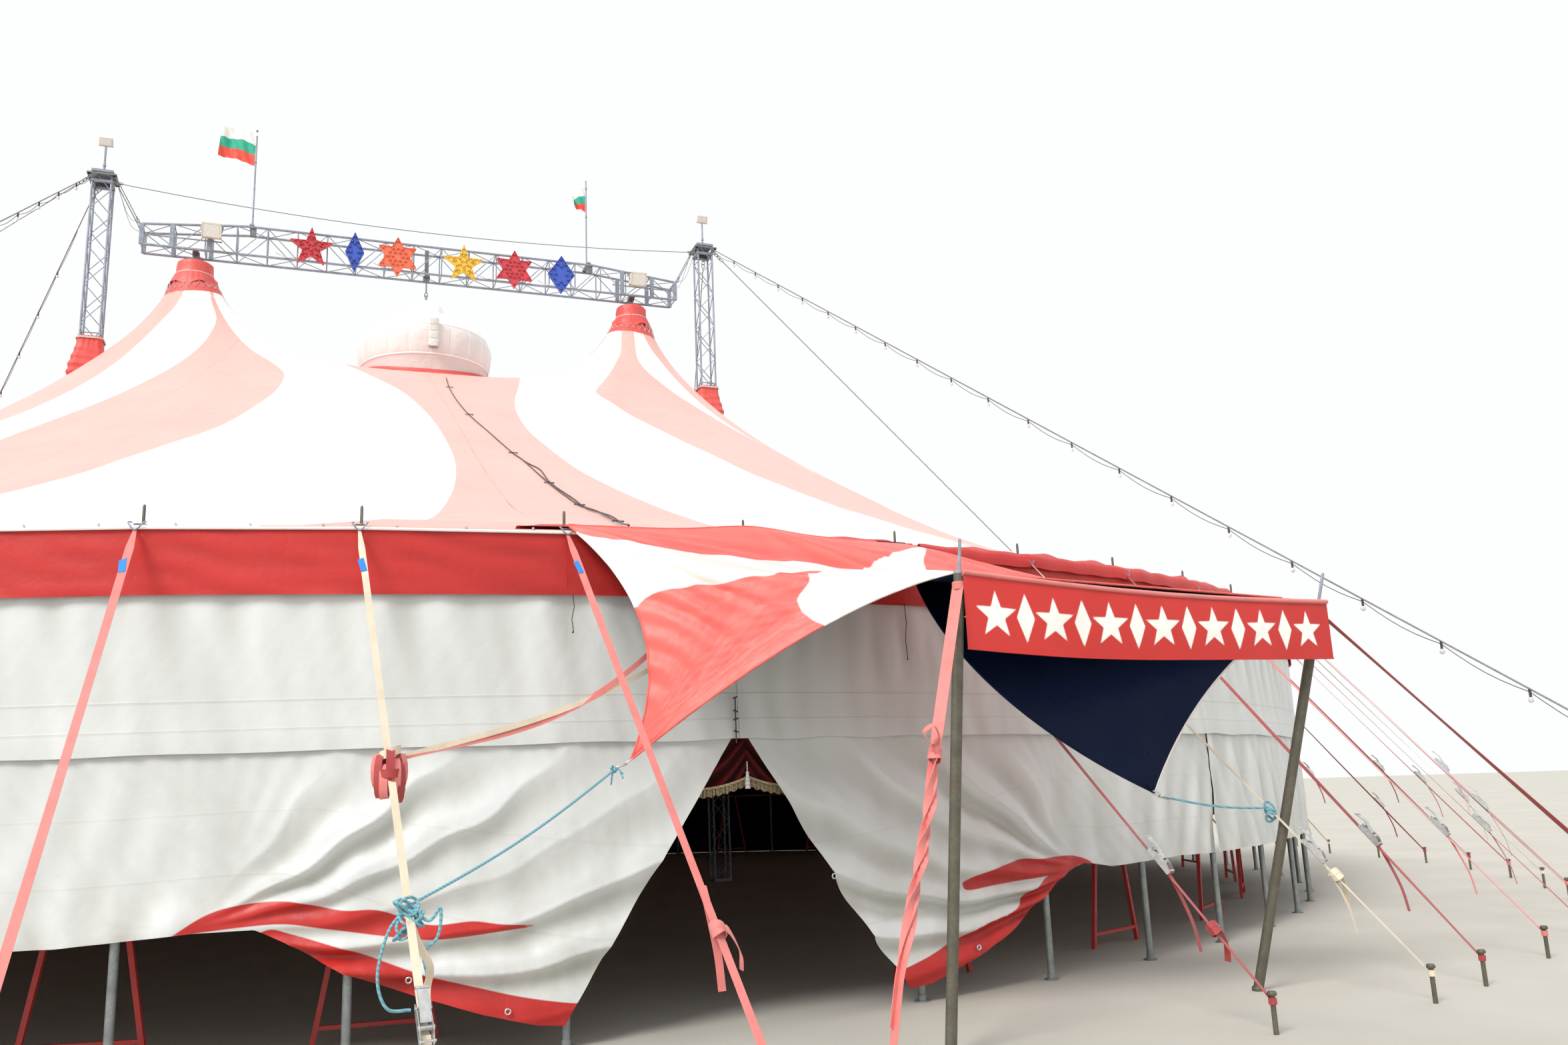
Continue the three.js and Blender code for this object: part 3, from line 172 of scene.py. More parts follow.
class Parts:
    """The points and faces of one piece, collected from simple shapes."""

    def __init__(self):
        self.points = []
        self.faces = []
        self.kinds = []
        self.count = 0

    def add(self, points, faces, kind=0):
        points = np.asarray(points, float).reshape(-1, 3)
        self.points.append(points)
        self.faces.extend([[int(i) + self.count for i in face] for face in faces])
        self.kinds.extend([kind] * len(faces))
        self.count += len(points)

    def lay(self):
        """A number for each point that grows along straps and ropes, whichever way they run."""
        return np.concatenate(self.points) @ np.array([0.31, 0.55, 0.77])

    def section(self, path, outline, across, kind=0):
        """A closed outline swept along a path. The outline's points are [across, up] pairs, one
        outline or one a path point, and across is a direction or one a path point."""
        path = np.asarray(path, float)
        tangents = unit(np.gradient(path, axis=0))
        across = np.broadcast_to(np.asarray(across, float), path.shape)
        across = unit(across - tangents * np.sum(across * tangents, axis=1, keepdims=True))
        up = np.cross(tangents, across)
        outline = np.broadcast_to(np.asarray(outline, float), (len(path), *np.shape(outline)[-2:]))
        rings = path[:, None] + outline[..., :1] * across[:, None] + outline[..., 1:] * up[:, None]
        sides = outline.shape[1]
        faces = [list(face) for face in grid_faces(len(path), sides, closed=True)]
        faces.append(list(range(sides))[::-1])
        faces.append([(len(path) - 1) * sides + i for i in range(sides)])
        self.add(rings, faces, kind)

    def tube(self, path, radius, sides=8, kind=0):
        path = np.asarray(path, float)
        start = unit(path[1] - path[0])
        side = np.cross(start, [0, 0, 1]) if abs(start[2]) < 0.95 else np.array([1.0, 0, 0])
        across = []
        for tangent in unit(np.gradient(path, axis=0)):
            side = unit(side - tangent * (side @ tangent))
            across.append(side)
        turn = np.arange(sides) * 2 * math.pi / sides
        ring = np.stack([np.cos(turn), np.sin(turn)], axis=1)
        outline = np.asarray(radius, float).reshape(-1, 1, 1) * ring
        self.section(path, outline if len(outline) > 1 else outline[0], across, kind)

    def hoop(self, centre, radius, thick, steps=48, kind=0):
        """A thin tube bent into a level circle."""
        x, y, z = centre
        turns = np.linspace(0, 2 * math.pi, steps + 1)
        path = [(x + radius * math.cos(a), y + radius * math.sin(a), z) for a in turns]
        self.tube(path, thick, 6, kind)

    def strap(self, path, width, thickness, across, kind=0):
        half, thick = width / 2, thickness / 2
        self.section(path, [[half, -thick], [half, thick], [-half, thick], [-half, -thick]], across, kind)

    def block(self, centre, size, axes=np.eye(3), kind=0):
        """A box with narrow chamfers on the edges along its third axis."""
        centre, axes = np.asarray(centre, float), np.asarray(axes, float)
        x, y = size[0] / 2, size[1] / 2
        c = min(x, y) * 0.12
        outline = [[x, c - y], [x, y - c], [x - c, y], [c - x, y], [-x, y - c], [-x, c - y], [c - x, -y],
                   [x - c, -y]]
        half = axes[2] * size[2] / 2
        self.section([centre - half, centre + half], outline, axes[0], kind)

    def turned(self, outline, centre=(0, 0, 0), sides=32, kind=0, shape=None):
        """A lathe form from [radius, height] pairs, listed upwards along its outside. shape may
        change the points, given the angles and the heights."""
        outline = np.asarray(outline, float)
        turn = np.arange(sides) * 2 * math.pi / sides
        r, h = outline[:, :1] * np.ones(sides), outline[:, 1:] * np.ones(sides)
        if shape:
            r, h = shape(turn[None] * np.ones_like(r), r, h)
        points = np.stack([r * np.cos(turn), r * np.sin(turn), h], axis=-1) + np.asarray(centre, float)
        self.add(points, grid_faces(len(outline), sides, closed=True), kind)

    def ball(self, centre, radius, kind=0, sides=8, rings=5, squash=1.0):
        angle = np.linspace(-math.pi / 2, math.pi / 2, rings + 1)
        outline = np.stack([np.maximum(np.cos(angle), 0.02) * radius, np.sin(angle) * radius * squash],
                           axis=1)
        self.turned(outline, centre, sides, kind)

    def plate(self, outline, origin, right, up, depth, kind=0):
        """A flat outline with a thickness. Its front is at the origin and it goes back by depth."""
        outline = np.asarray(outline, float)
        right, up = unit(right), unit(up)
        back = np.cross(up, right)
        front = np.asarray(origin, float) + outline[:, :1] * right + outline[:, 1:] * up
        n = len(outline)
        faces = [[i, i + n, (i + 1) % n + n, (i + 1) % n] for i in range(n)]
        self.add(np.vstack([front, front + back * depth]), faces, kind)
        self.faces.append([self.count - 2 * n + i for i in range(n)])
        self.faces.append([self.count - n + i for i in range(n)][::-1])
        self.kinds.extend([kind, kind])


def filled(parts, plain, numbers):
    """The rows of numbers for a piece's first points, and plain for all its other points."""
    known = np.concatenate([np.ravel(row) for row in numbers])
    return np.concatenate([known, np.full(parts.count - len(known), plain)])


def add_piece(name, parts, materials, replaced=(), values=None, crease=35):
    """Makes the object of one piece. Edges bent by more than crease, in degrees, are sharp."""
    mesh = bpy.data.meshes.new(name)
    mesh.from_pydata(np.concatenate(parts.points).tolist(), [], parts.faces)
    for material in materials:
        mesh.materials.append(material)
    mesh.polygons.foreach_set("material_index", parts.kinds)
    mesh.polygons.foreach_set("use_smooth", [True] * len(parts.faces))
    mesh.set_sharp_from_angle(angle=math.radians(crease))
    for key, numbers in (values or {}).items():
        attribute = mesh.attributes.new(key, "FLOAT", "POINT")
        attribute.data.foreach_set("value", np.ravel(numbers).astype(np.float32))
    mesh.update()
    piece = bpy.data.objects.new(name, mesh)
    bpy.context.scene.collection.objects.link(piece)
    if replaced:
        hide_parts(*replaced)
    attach(piece, "root")
    return piece


def mesh_area(points, faces):
    first, second, third, fourth = points[np.asarray(faces)].transpose(1, 0, 2)
    halves = np.cross(second - first, third - first), np.cross(third - first, fourth - first)
    return sum(np.linalg.norm(half, axis=1).sum() / 2 for half in halves)


# Materials


def tinted(colour, share, lift=0.0):
    """A colour made darker or lighter by a share, and then paler by lift."""
    return tuple(min(1, c * share + lift) for c in colour)


class Look:
    """One procedural material, with its pattern in object coordinates."""

    def __init__(self, name, roughness=0.5, metallic=0.0, **sockets):
        self.material = bpy.data.materials.new(name)
        self.material.use_nodes = True
        self.tree = self.material.node_tree
        self.shader = self.tree.nodes["Principled BSDF"]
        self.feed(self.shader.inputs["Roughness"], roughness)
        self.feed(self.shader.inputs["Metallic"], metallic)
        for key, value in sockets.items():
            self.feed(self.shader.inputs[key.replace("_", " ")], value)
        self.place = self.add("TexCoord").outputs["Object"]

    def add(self, kind, settings=(), **inputs):
        node = self.tree.nodes.new("ShaderNode" + kind)
        for key, value in dict(settings).items():
            setattr(node, key, value)
        for key, value in inputs.items():
            self.feed(node.inputs[key.replace("_", " ")], value)
        return node

    def feed(self, socket, value):
        if isinstance(value, bpy.types.NodeSocket):
            self.tree.links.new(value, socket)
        elif isinstance(value, tuple) and len(value) == 3 and len(socket.default_value) == 4:
            socket.default_value = (*value, 1)
        else:
            socket.default_value = value

    def noise(self, scale, detail=4.0, stretch=(1, 1, 1), roughness=0.55):
        place = self.add("Mapping", Vector=self.place, Scale=stretch).outputs["Vector"]
        return self.add("TexNoise", Vector=place, Scale=scale, Detail=detail,
                        Roughness=roughness).outputs["Fac"]

    def span(self, value, low, high, to_low=0.0, to_high=1.0):
        node = self.add("MapRange", Value=value)
        for key, number in (("From Min", low), ("From Max", high), ("To Min", to_low),
                            ("To Max", to_high)):
            node.inputs[key].default_value = number
        return node.outputs["Result"]

    def patches(self, scale, detail, low, high, to_low=0.0, to_high=1.0, **settings):
        return self.span(self.noise(scale, detail, **settings), low, high, to_low, to_high)

    def maths(self, operation, a, b=0.0):
        node = self.add("Math", {"operation": operation})
        self.feed(node.inputs[0], a)
        self.feed(node.inputs[1], b)
        return node.outputs[0]

    def mix(self, share, a, b, blend="MIX"):
        # For colours, this node reads its inputs 6 and 7 and gives its output 2.
        node = self.add("Mix", {"data_type": "RGBA", "blend_type": blend})
        for socket, value in ((0, share), (6, a), (7, b)):
            self.feed(node.inputs[socket], value)
        return node.outputs[2]

    def shade(self, share, a, tint):
        return self.mix(share, a, tint, "MULTIPLY")

    def value(self, name):
        return self.add("Attribute", {"attribute_name": name}).outputs["Fac"]

    def height(self):
        return self.add("SeparateXYZ", Vector=self.place).outputs["Z"]

    def rough(self, value):
        self.feed(self.shader.inputs["Roughness"], value)

    def bump(self, height, distance, strength=1.0):
        node = self.add("Bump", Height=height, Distance=distance, Strength=strength)
        if self.shader.inputs["Normal"].is_linked:
            self.feed(node.inputs["Normal"], self.shader.inputs["Normal"].links[0].from_socket)
        self.feed(self.shader.inputs["Normal"], node.outputs["Normal"])

    def done(self, colour):
        self.feed(self.shader.inputs["Base Color"], colour)
        return self.material


DUST = (0.64, 0.58, 0.49)


def coated_canvas(name, colour, worn, band=None, attribute=None, roughness=0.42, grime=0.3, crease=0.006,
                  seams=None, sheen=0.0, grime_low=None, welds=(), gloss=0.4, painted_fold_shade=None):
    """Coated canvas with fine weave, creases, dust and grime. Where an attribute is over zero
    it has the band's colour. Welds are heights, read from the attribute rise, of level seams.
    painted_fold_shade is the tint of painted shade in the fold valleys, darkest where the attribute fold
    is low."""
    look = Look(name, Sheen_Weight=sheen, Sheen_Roughness=0.5, Specular_IOR_Level=gloss)
    base = look.mix(look.patches(0.45, 3, 0.35, 0.7), colour, worn)
    if band:
        edge = look.span(look.value(attribute), -0.004, 0.004)
        dyed = look.mix(look.patches(0.8, 4, 0.3, 0.75), band, tinted(band, 0.88))
        base = look.mix(edge, base, dyed)
    streaks = look.patches(2.6, 5, 0.5, 0.8, stretch=(1, 1, 0.16))
    dust = look.patches(1.3, 6, 0.45, 0.8)
    dirty = look.maths("MULTIPLY", look.maths("ADD", streaks, dust), 0.5 * grime)
    if grime_low:
        low = look.span(look.height(), *grime_low, 1.0, 0.0)
        patches = look.patches(3.1, 6, 0.38, 0.72)
        splashed = look.maths("MULTIPLY", low, patches)
        dirty = look.maths("ADD", dirty, look.maths("MULTIPLY", splashed, 0.5))
    base = look.shade(dirty, base, DUST)
    if seams:
        line = look.maths("PINGPONG", look.value(seams), 0.5)
        seam = look.span(line, 0.0, 0.006, 1.0, 0.0)
        base = look.shade(look.maths("MULTIPLY", seam, 0.3), base, DUST)
        look.bump(look.span(line, 0.004, 0.012, 1.0, 0.0), 0.004, 0.8)
    # Painted shade: the tint darkens the fold valleys, where the attribute fold is low.
    if painted_fold_shade:
        base = look.shade(look.span(look.value("fold"), -1.1, 0.5, 1.0, 0.0), base, painted_fold_shade)
    for height, strength in welds:
        gap = look.maths("ABSOLUTE", look.maths("SUBTRACT", look.value("rise"), height))
        base = look.shade(look.span(gap, 0.0, 0.008, strength, 0.0), base, DUST)
        look.bump(look.span(gap, 0.006, 0.012, 1.0, 0.0), 0.003 * strength, 0.8)
    look.rough(look.patches(5, 4, 0.2, 0.8, roughness - 0.08, roughness + 0.12))
    look.bump(look.noise(5.5, 5, roughness=0.6), crease, 0.9)
    sharp = look.maths("ABSOLUTE", look.maths("SUBTRACT", look.noise(2.4, 2, (1, 1, 0.4)), 0.5))
    look.bump(look.span(sharp, 0.0, 0.05), crease * 0.16, 0.7)
    look.bump(look.noise(420, 2), 0.0006, 0.5)
    return look.done(base)


def steel(name, colour=(0.42, 0.44, 0.45), rust=0.25, roughness=0.42, metallic=0.85):
    """Galvanised steel with zinc spangle, dull patches and rust spots."""
    look = Look(name, metallic=metallic)
    cells = look.add("TexVoronoi", Vector=look.place, Scale=55.0).outputs["Color"]
    spangle = look.add("RGBToBW", Color=cells).outputs["Val"]
    base = look.mix(spangle, tinted(colour, 0.86), tinted(colour, 1.12))
    base = look.mix(look.patches(9, 5, 0.4, 0.75), base, tinted(colour, 0.68))
    rusty = look.maths("MULTIPLY", look.patches(14, 7, 0.60, 0.70), rust)
    base = look.mix(rusty, base, (0.20, 0.075, 0.03))
    look.rough(look.patches(24, 4, 0.25, 0.8, roughness - 0.1, roughness + 0.22))
    look.bump(look.noise(60, 4), 0.001, 0.4)
    return look.done(base)


def painted(name, colour, under=(0.16, 0.14, 0.13), wear=0.5, roughness=0.38):
    """Painted metal, with chips down to the metal and faded patches."""
    look = Look(name)
    base = look.mix(look.patches(3, 4, 0.35, 0.7), colour, tinted(colour, 0.72, 0.02))
    chips = look.maths("MULTIPLY", look.patches(38, 6, 0.62, 0.66, roughness=0.7), wear)
    base = look.mix(chips, base, under)
    look.rough(look.patches(18, 4, 0.25, 0.8, roughness - 0.08, roughness + 0.25))
    look.bump(look.noise(90, 3), 0.0008, 0.35)
    look.bump(look.patches(38, 6, 0.60, 0.66, 1.0, 0.0, roughness=0.7), 0.0006, 0.5)
    return look.done(base)


def webbing(name, colour):
    """Woven strap, with ribs across it from the attribute along."""
    look = Look(name, roughness=0.62, Sheen_Weight=0.25, Sheen_Roughness=0.4)
    ribs = look.maths("PINGPONG", look.maths("MULTIPLY", look.value("along"), 160.0), 0.5)
    base = look.mix(look.patches(4, 4, 0.35, 0.75), colour, tinted(colour, 0.8, 0.03))
    # The ribs' grooves are painted darker: painted shade between the ribs.
    base = look.mix(look.maths("MULTIPLY", look.span(ribs, 0.0, 0.5), 0.16), base, tinted(colour, 0.5))
    dusty = look.maths("MULTIPLY", look.patches(9, 6, 0.45, 0.75), 0.35)
    base = look.mix(dusty, base, tuple(c * f for c, f in zip(colour, (0.62, 0.55, 0.48))))
    look.bump(ribs, 0.0015, 0.6)
    look.bump(look.noise(500, 2), 0.0005, 0.5)
    return look.done(base)


def rope(name, colour):
    """Twisted rope, with its lay as slanted ridges."""
    look = Look(name, roughness=0.75)
    lay = look.maths("PINGPONG", look.maths("MULTIPLY", look.value("along"), 45.0), 0.5)
    # The lay's grooves are painted darker: painted shade between the strands.
    base = look.mix(look.span(lay, 0.0, 0.5), tinted(colour, 0.55), colour)
    base = look.mix(look.patches(30, 4, 0.4, 0.8, 0.0, 0.4), base, tinted(colour, 0.6))
    look.bump(lay, 0.003, 0.8)
    return look.done(base)


def bulb_plastic(name, colour, roughness=0.22):
    look = Look(name, roughness=roughness, Coat_Weight=0.4, Coat_Roughness=0.1)
    base = look.mix(look.patches(25, 3, 0.35, 0.7), colour, tinted(colour, 0.82, 0.03))
    look.bump(look.noise(140, 2), 0.0006, 0.3)
    return look.done(base)


ROOF_RED = (0.84, 0.44, 0.385)
ROOF_WHITE = (0.92, 0.915, 0.89)
CLOTH_RED = (0.58, 0.030, 0.026)
WALL_WHITE = (0.733, 0.757, 0.757)
STRAP_PINK = (0.80, 0.235, 0.215)
STRAP_RED = (0.42, 0.045, 0.045)
STRAP_CREAM = (0.80, 0.70, 0.54)

roof_cloth = coated_canvas("roof_canvas", ROOF_WHITE, tinted(ROOF_WHITE, 0.97), ROOF_RED, "red",
                           grime=0.10, crease=0.004, seams="pole_line", sheen=0.2)
# The painted_fold_shade tints below are painted shade in the fold valleys of the valance, walls, interior
# shade sheet, sail and pelmet.
valance_cloth = coated_canvas("valance_canvas", CLOTH_RED, (0.50, 0.024, 0.021), grime=0.16, crease=0.007,
                              painted_fold_shade=(0.80, 0.74, 0.74))
wall_cloth = coated_canvas("wall_canvas", WALL_WHITE, tinted(WALL_WHITE, 0.93), CLOTH_RED, "red",
                           grime=0.20, crease=0.006, grime_low=(0.75, 1.35), roughness=0.40,
                           painted_fold_shade=(0.74, 0.73, 0.69), welds=((2.18, 0.35), (2.37, 0.45), (1.64, 0.16),
                                                              (1.22, 0.2)))
# Near-black cloth of the sheet that paints the shade inside the tent.
interior_shade_cloth = coated_canvas("interior_shade_canvas", (0.010, 0.010, 0.012), (0.016, 0.016, 0.018), grime=0.3,
                             gloss=0.1, roughness=0.7, painted_fold_shade=(0.5, 0.5, 0.5))
cap_cloth = coated_canvas("cap_canvas", (0.66, 0.075, 0.065), (0.72, 0.13, 0.115), grime=0.2,
                          crease=0.012)
sail_cloth = coated_canvas("sail_canvas", (0.93, 0.92, 0.90), (0.88, 0.87, 0.84), (0.84, 0.15, 0.125),
                           "red", grime=0.12, crease=0.005, painted_fold_shade=(0.84, 0.66, 0.64))
navy_cloth = coated_canvas("sail_navy", (0.004, 0.0095, 0.036), (0.006, 0.013, 0.046), grime=0.2,
                           crease=0.006, roughness=0.42, gloss=0.1)
banner_cloth = coated_canvas("banner_canvas", (0.60, 0.034, 0.028), (0.53, 0.028, 0.024),
                             (0.93, 0.92, 0.88), "white", grime=0.12, crease=0.005)
pelmet_cloth = coated_canvas("pelmet_velvet", (0.17, 0.008, 0.008), (0.13, 0.006, 0.006), grime=0.1,
                             crease=0.003, roughness=0.75, sheen=0.1, gloss=0.15,
                             painted_fold_shade=(0.18, 0.14, 0.14))
skylight_cloth = coated_canvas("skylight_film", (0.74, 0.70, 0.68), (0.80, 0.70, 0.67), grime=0.3,
                               crease=0.016, roughness=0.3)
dome_cloth = coated_canvas("dome_canvas", (0.95, 0.945, 0.93), (0.92, 0.91, 0.89), grime=0.08,
                           crease=0.010)
galvanised = steel("galvanised_steel", (0.30, 0.325, 0.325), rust=0.2, metallic=0.6)
truss_steel = steel("truss_steel", (0.33, 0.37, 0.44), rust=0.2, roughness=0.5, metallic=0.5)
dark_steel = steel("dark_tube_steel", (0.135, 0.128, 0.095), rust=0.4, roughness=0.5, metallic=0.3)
cable_steel = steel("cable_steel", (0.24, 0.25, 0.26), rust=0.3)
plated = steel("plated_steel", (0.70, 0.71, 0.71), rust=0.12, roughness=0.28)
red_paint = painted("red_paint", (0.58, 0.035, 0.03))
cream_paint = painted("cream_paint", (0.76, 0.70, 0.54), wear=0.25)
dark_paint = painted("dark_paint", (0.045, 0.046, 0.05), under=(0.2, 0.2, 0.2), wear=0.2)
white_paint = painted("white_paint", (0.86, 0.86, 0.84), under=(0.5, 0.48, 0.45), wear=0.25)
strap_pink = webbing("webbing_pink", STRAP_PINK)
strap_red = webbing("webbing_red", STRAP_RED)
strap_cream = webbing("webbing_cream", STRAP_CREAM)
blue_rope = rope("blue_rope", (0.22, 0.52, 0.62))
white_cord = rope("white_cord", (0.88, 0.86, 0.82))
blue_tag = painted("blue_tag", (0.02, 0.24, 0.72), wear=0.1)
fringe_yarn = rope("fringe_yarn", (0.50, 0.40, 0.24))
bulb_glass = bulb_plastic("bulb_glass", (0.72, 0.70, 0.66), 0.12)

# Camera, light and floor

CAMERA_PLACE = (-2.06, -23.48, 1.65)
CAMERA_TURN = 21.5
CAMERA_PITCH = 12.0
CAMERA_ROLL = 2.35
CAMERA_LENS = 28.8
SKY_COLOUR = (0.985, 0.995, 1.0, 1)
SKY_STRENGTH = 1.0
SUN_COLOUR = (1.0, 0.975, 0.94)
SUN_STRENGTH = 2.5
SUN_WIDTH = 22
SUN_TURNS = (46, -6, -48)
FLOOR_REACH = 150.0


def add_camera():
    turn, pitch, roll = (math.radians(a) for a in (CAMERA_TURN, CAMERA_PITCH, CAMERA_ROLL))
    level = np.array([math.sin(turn), math.cos(turn), 0])
    right = np.array([math.cos(turn), -math.sin(turn), 0])
    up = -math.sin(pitch) * level + math.cos(pitch) * UP
    ahead = math.cos(pitch) * level + math.sin(pitch) * UP
    image_right = math.cos(roll) * right - math.sin(roll) * up
    image_up = math.sin(roll) * right + math.cos(roll) * up
    data = bpy.data.cameras.new("camera")
    data.lens = CAMERA_LENS
    data.sensor_width = 36
    data.clip_end = 400
    camera = bpy.data.objects.new("camera", data)
    bpy.context.scene.collection.objects.link(camera)
    turned = Matrix([[image_right[k], image_up[k], -ahead[k]] for k in range(3)]).to_4x4()
    turned.translation = CAMERA_PLACE
    camera.matrix_world = turned
    bpy.context.scene.camera = camera


def add_light():
    world = bpy.data.worlds.new("overcast")
    bpy.context.scene.world = world
    world.use_nodes = True
    sky = world.node_tree.nodes["Background"]
    sky.inputs["Color"].default_value = SKY_COLOUR
    sky.inputs["Strength"].default_value = SKY_STRENGTH
    sun = bpy.data.lights.new("sun", "SUN")
    sun.energy = SUN_STRENGTH
    sun.angle = math.radians(SUN_WIDTH)
    sun.color = SUN_COLOUR
    lamp = bpy.data.objects.new("sun", sun)
    lamp.rotation_euler = [math.radians(a) for a in SUN_TURNS]
    bpy.context.scene.collection.objects.link(lamp)
    view = bpy.context.scene.view_settings
    view.view_transform = "Standard"
    view.look = "None"


def add_floor():
    reach = FLOOR_REACH
    corners = [(-reach, -reach, 0), (reach, -reach, 0), (reach, reach, 0), (-reach, reach, 0)]
    look = Look("pale_floor", roughness=0.9)
    floor = look.done(look.mix(look.patches(0.6, 5, 0.35, 0.7), (0.52, 0.50, 0.45), (0.47, 0.45, 0.40)))
    mesh = bpy.data.meshes.new("floor")
    mesh.from_pydata(corners, [], [[0, 1, 2, 3]])
    mesh.materials.append(floor)
    piece = bpy.data.objects.new("floor", mesh)
    piece.location.z = -0.002
    bpy.context.scene.collection.objects.link(piece)


# Roof canvas

PEAKS = ((PEAK_X, 0.15, 1.1348), (-PEAK_X, 0.15, 1.1348))
HIGH_POINTS = PEAKS + ((0.0, 0.8, 0.2985), (MAST_X, 1.0129, 0.2921), (-MAST_X, 1.0129, 0.2921))
SKIN_RISE = 2.047
SKIN_POWER = 0.7308
INNER_DIP = -0.2897
OUTER_DIP = -2.9769


def canvas_height(x, y):
    """The canvas as a stretched skin with high points, as the solids have it."""
    share = (x * x + y * y) / TENT_RADIUS**2
    tension = 0
    for at, soft, weight in HIGH_POINTS:
        far = (TENT_RADIUS - x * at / TENT_RADIUS) ** 2 + (y * at / TENT_RADIUS) ** 2
        tension = tension + weight * 0.5 * np.log(far / ((x - at) ** 2 + y**2 + soft**2))
    dip = (1 - share) * share * (INNER_DIP + OUTER_DIP * share)
    return EAVE + SKIN_RISE * np.maximum(tension, 0) ** SKIN_POWER + dip


def canvas_top(x, y):
    return canvas_height(x, y) + CANVAS_LIFT


CENTRE_LEFT = [
    (-1.85, 1), (-1.7, -0.6), (-1.22, -2.6), (-0.87, -3.96), (-0.65, -5.16), (-0.49, -6.99),
    (-0.46, -8.64), (-0.51, -9.79), (-0.65, -10.9), (-0.83, -11.85), (-1.08, -12.97), (-1.38, -14.05),
    (-2.28, -14.31), (-2.5, -15.2),
]
CENTRE_RIGHT = [
    (1.85, 1), (1.7, -0.6), (1.3, -2.9), (1.0, -4.4), (0.8, -5.76), (0.72, -7.19), (0.78, -8.34),
    (0.9, -9.56), (1.15, -10.65), (1.39, -11.72), (1.65, -12.66), (1.85, -13.5), (2.26, -14.26),
    (2.5, -15.2),
]
LOBE_INNER_LEFT = [
    (-3.75, -0.3), (-3.35, -0.9), (-2.95, -1.7), (-2.62, -2.4), (-2.42, -3.2), (-2.41, -3.9),
    (-2.5, -4.88), (-2.69, -5.86), (-2.94, -6.9), (-3.18, -7.55), (-3.51, -8.14), (-3.83, -8.78),
    (-4.19, -9.52), (-4.53, -10.09), (-5.3, -11.4), (-6.2, -12.9), (-6.6, -13.6),
]
LOBE_OUTER_LEFT = [
    (-3.78, -0.3), (-3.69, -0.55), (-3.61, -0.71), (-3.58, -0.89), (-3.62, -1.2), (-3.71, -1.65),
    (-3.91, -2.3), (-4.19, -3.01), (-4.5, -3.78), (-4.83, -4.56), (-5.18, -5.3), (-5.54, -6.24),
    (-5.8, -7.5), (-5.84, -8.65), (-5.9, -9.5), (-6.2, -10.8), (-7.0, -12.65), (-7.5, -13.6),
]
LOBE_INNER_RIGHT = [
    (3.75, -0.3), (3.62, -0.75), (3.46, -1.02), (3.27, -1.37), (2.96, -1.99), (2.65, -2.81),
    (2.74, -3.64), (2.83, -4.56), (3.04, -5.45), (3.22, -6.3), (3.42, -6.97), (3.56, -7.76),
    (3.77, -8.24), (3.97, -8.73), (4.2, -9.28), (4.68, -9.8), (5.41, -10.8), (6.6, -12.8), (7.1, -13.6),
]
LOBE_OUTER_RIGHT = [
    (3.98, -0.3), (3.93, -0.68), (3.9, -0.86), (3.91, -1.08), (4.01, -1.34), (4.19, -1.62), (4.41, -1.96),
    (4.73, -2.31), (5.1, -2.77), (5.47, -3.19), (5.85, -4.0), (6.02, -5.2), (5.96, -6.5), (5.86, -7.75),
    (5.82, -8.65), (5.85, -9.37), (6.2, -10.7), (7.0, -12.65), (7.5, -13.6),
]
END_EDGE = [
    (4.1, 1), (4.12, -0.3), (4.23, -0.63), (4.46, -0.88), (4.71, -1.29), (5.0, -1.97), (5.32, -2.74),
    (5.55, -3.28), (5.95, -4.1), (7.3, -6.0), (8.9, -7.9), (10.73, -9.66), (11.5, -10.4), (16, -10.4),
    (16, 1),
]
PEAK_RING = 0.49


def roof_red(x, y):
    """How far a place on the plan lies inside the red parts of the roof. The back mirrors the front."""
    y = -np.abs(y)
    regions = [
        np.vstack([smooth_line(CENTRE_LEFT), smooth_line(CENTRE_RIGHT)[::-1]]),
        np.vstack([smooth_line(LOBE_INNER_LEFT), smooth_line(LOBE_OUTER_LEFT)[::-1]]),
        np.vstack([smooth_line(LOBE_INNER_RIGHT), smooth_line(LOBE_OUTER_RIGHT)[::-1]]),
        smooth_line(END_EDGE, 4),
        smooth_line(END_EDGE, 4) * [-1, 1],
    ]
    red = PEAK_RING - np.hypot(np.abs(x) - PEAK_X, y)
    for region in regions:
        red = np.maximum(red, signed_distance(x, y, region))
    return red


def ridge_place(azimuth):
    even = np.sin(np.radians(azimuth))
    return MAST_X * (even - even * (1 - even**2) * (even**2 - (PEAK_X / MAST_X) ** 2))


SKYLIGHT_HOLE = 1.12
PEAK_HOLE = 0.385
MAST_HOLE = 0.235
ROOF_HOLES = ((0, SKYLIGHT_HOLE), (PEAK_X, PEAK_HOLE), (-PEAK_X, PEAK_HOLE), (MAST_X, MAST_HOLE),
              (-MAST_X, MAST_HOLE))
ROOF_COLUMNS = 220
ROOF_ROWS = 96
# The radius and the height of each row of points where the canvas turns down over the eave.
ROOF_EDGE = ((14.52, 3.570), (14.578, 3.562), (14.589, 3.548), (14.588, 3.532))


def trim_hole(points, faces, centre_x, radius):
    """Takes the faces inside a round hole away and pulls the rest to its edge."""
    gap = np.hypot(points[:, 0] - centre_x, points[:, 1])
    inside = gap < radius
    faces = faces[~inside[faces].all(axis=1)]
    moved = inside & np.isin(np.arange(len(points)), faces)
    scale = radius / np.maximum(gap[moved], 1e-4)
    points[moved, 0] = centre_x + (points[moved, 0] - centre_x) * scale
    points[moved, 1] *= scale
    points[moved, 2] = canvas_top(points[moved, 0], points[moved, 1])
    return faces


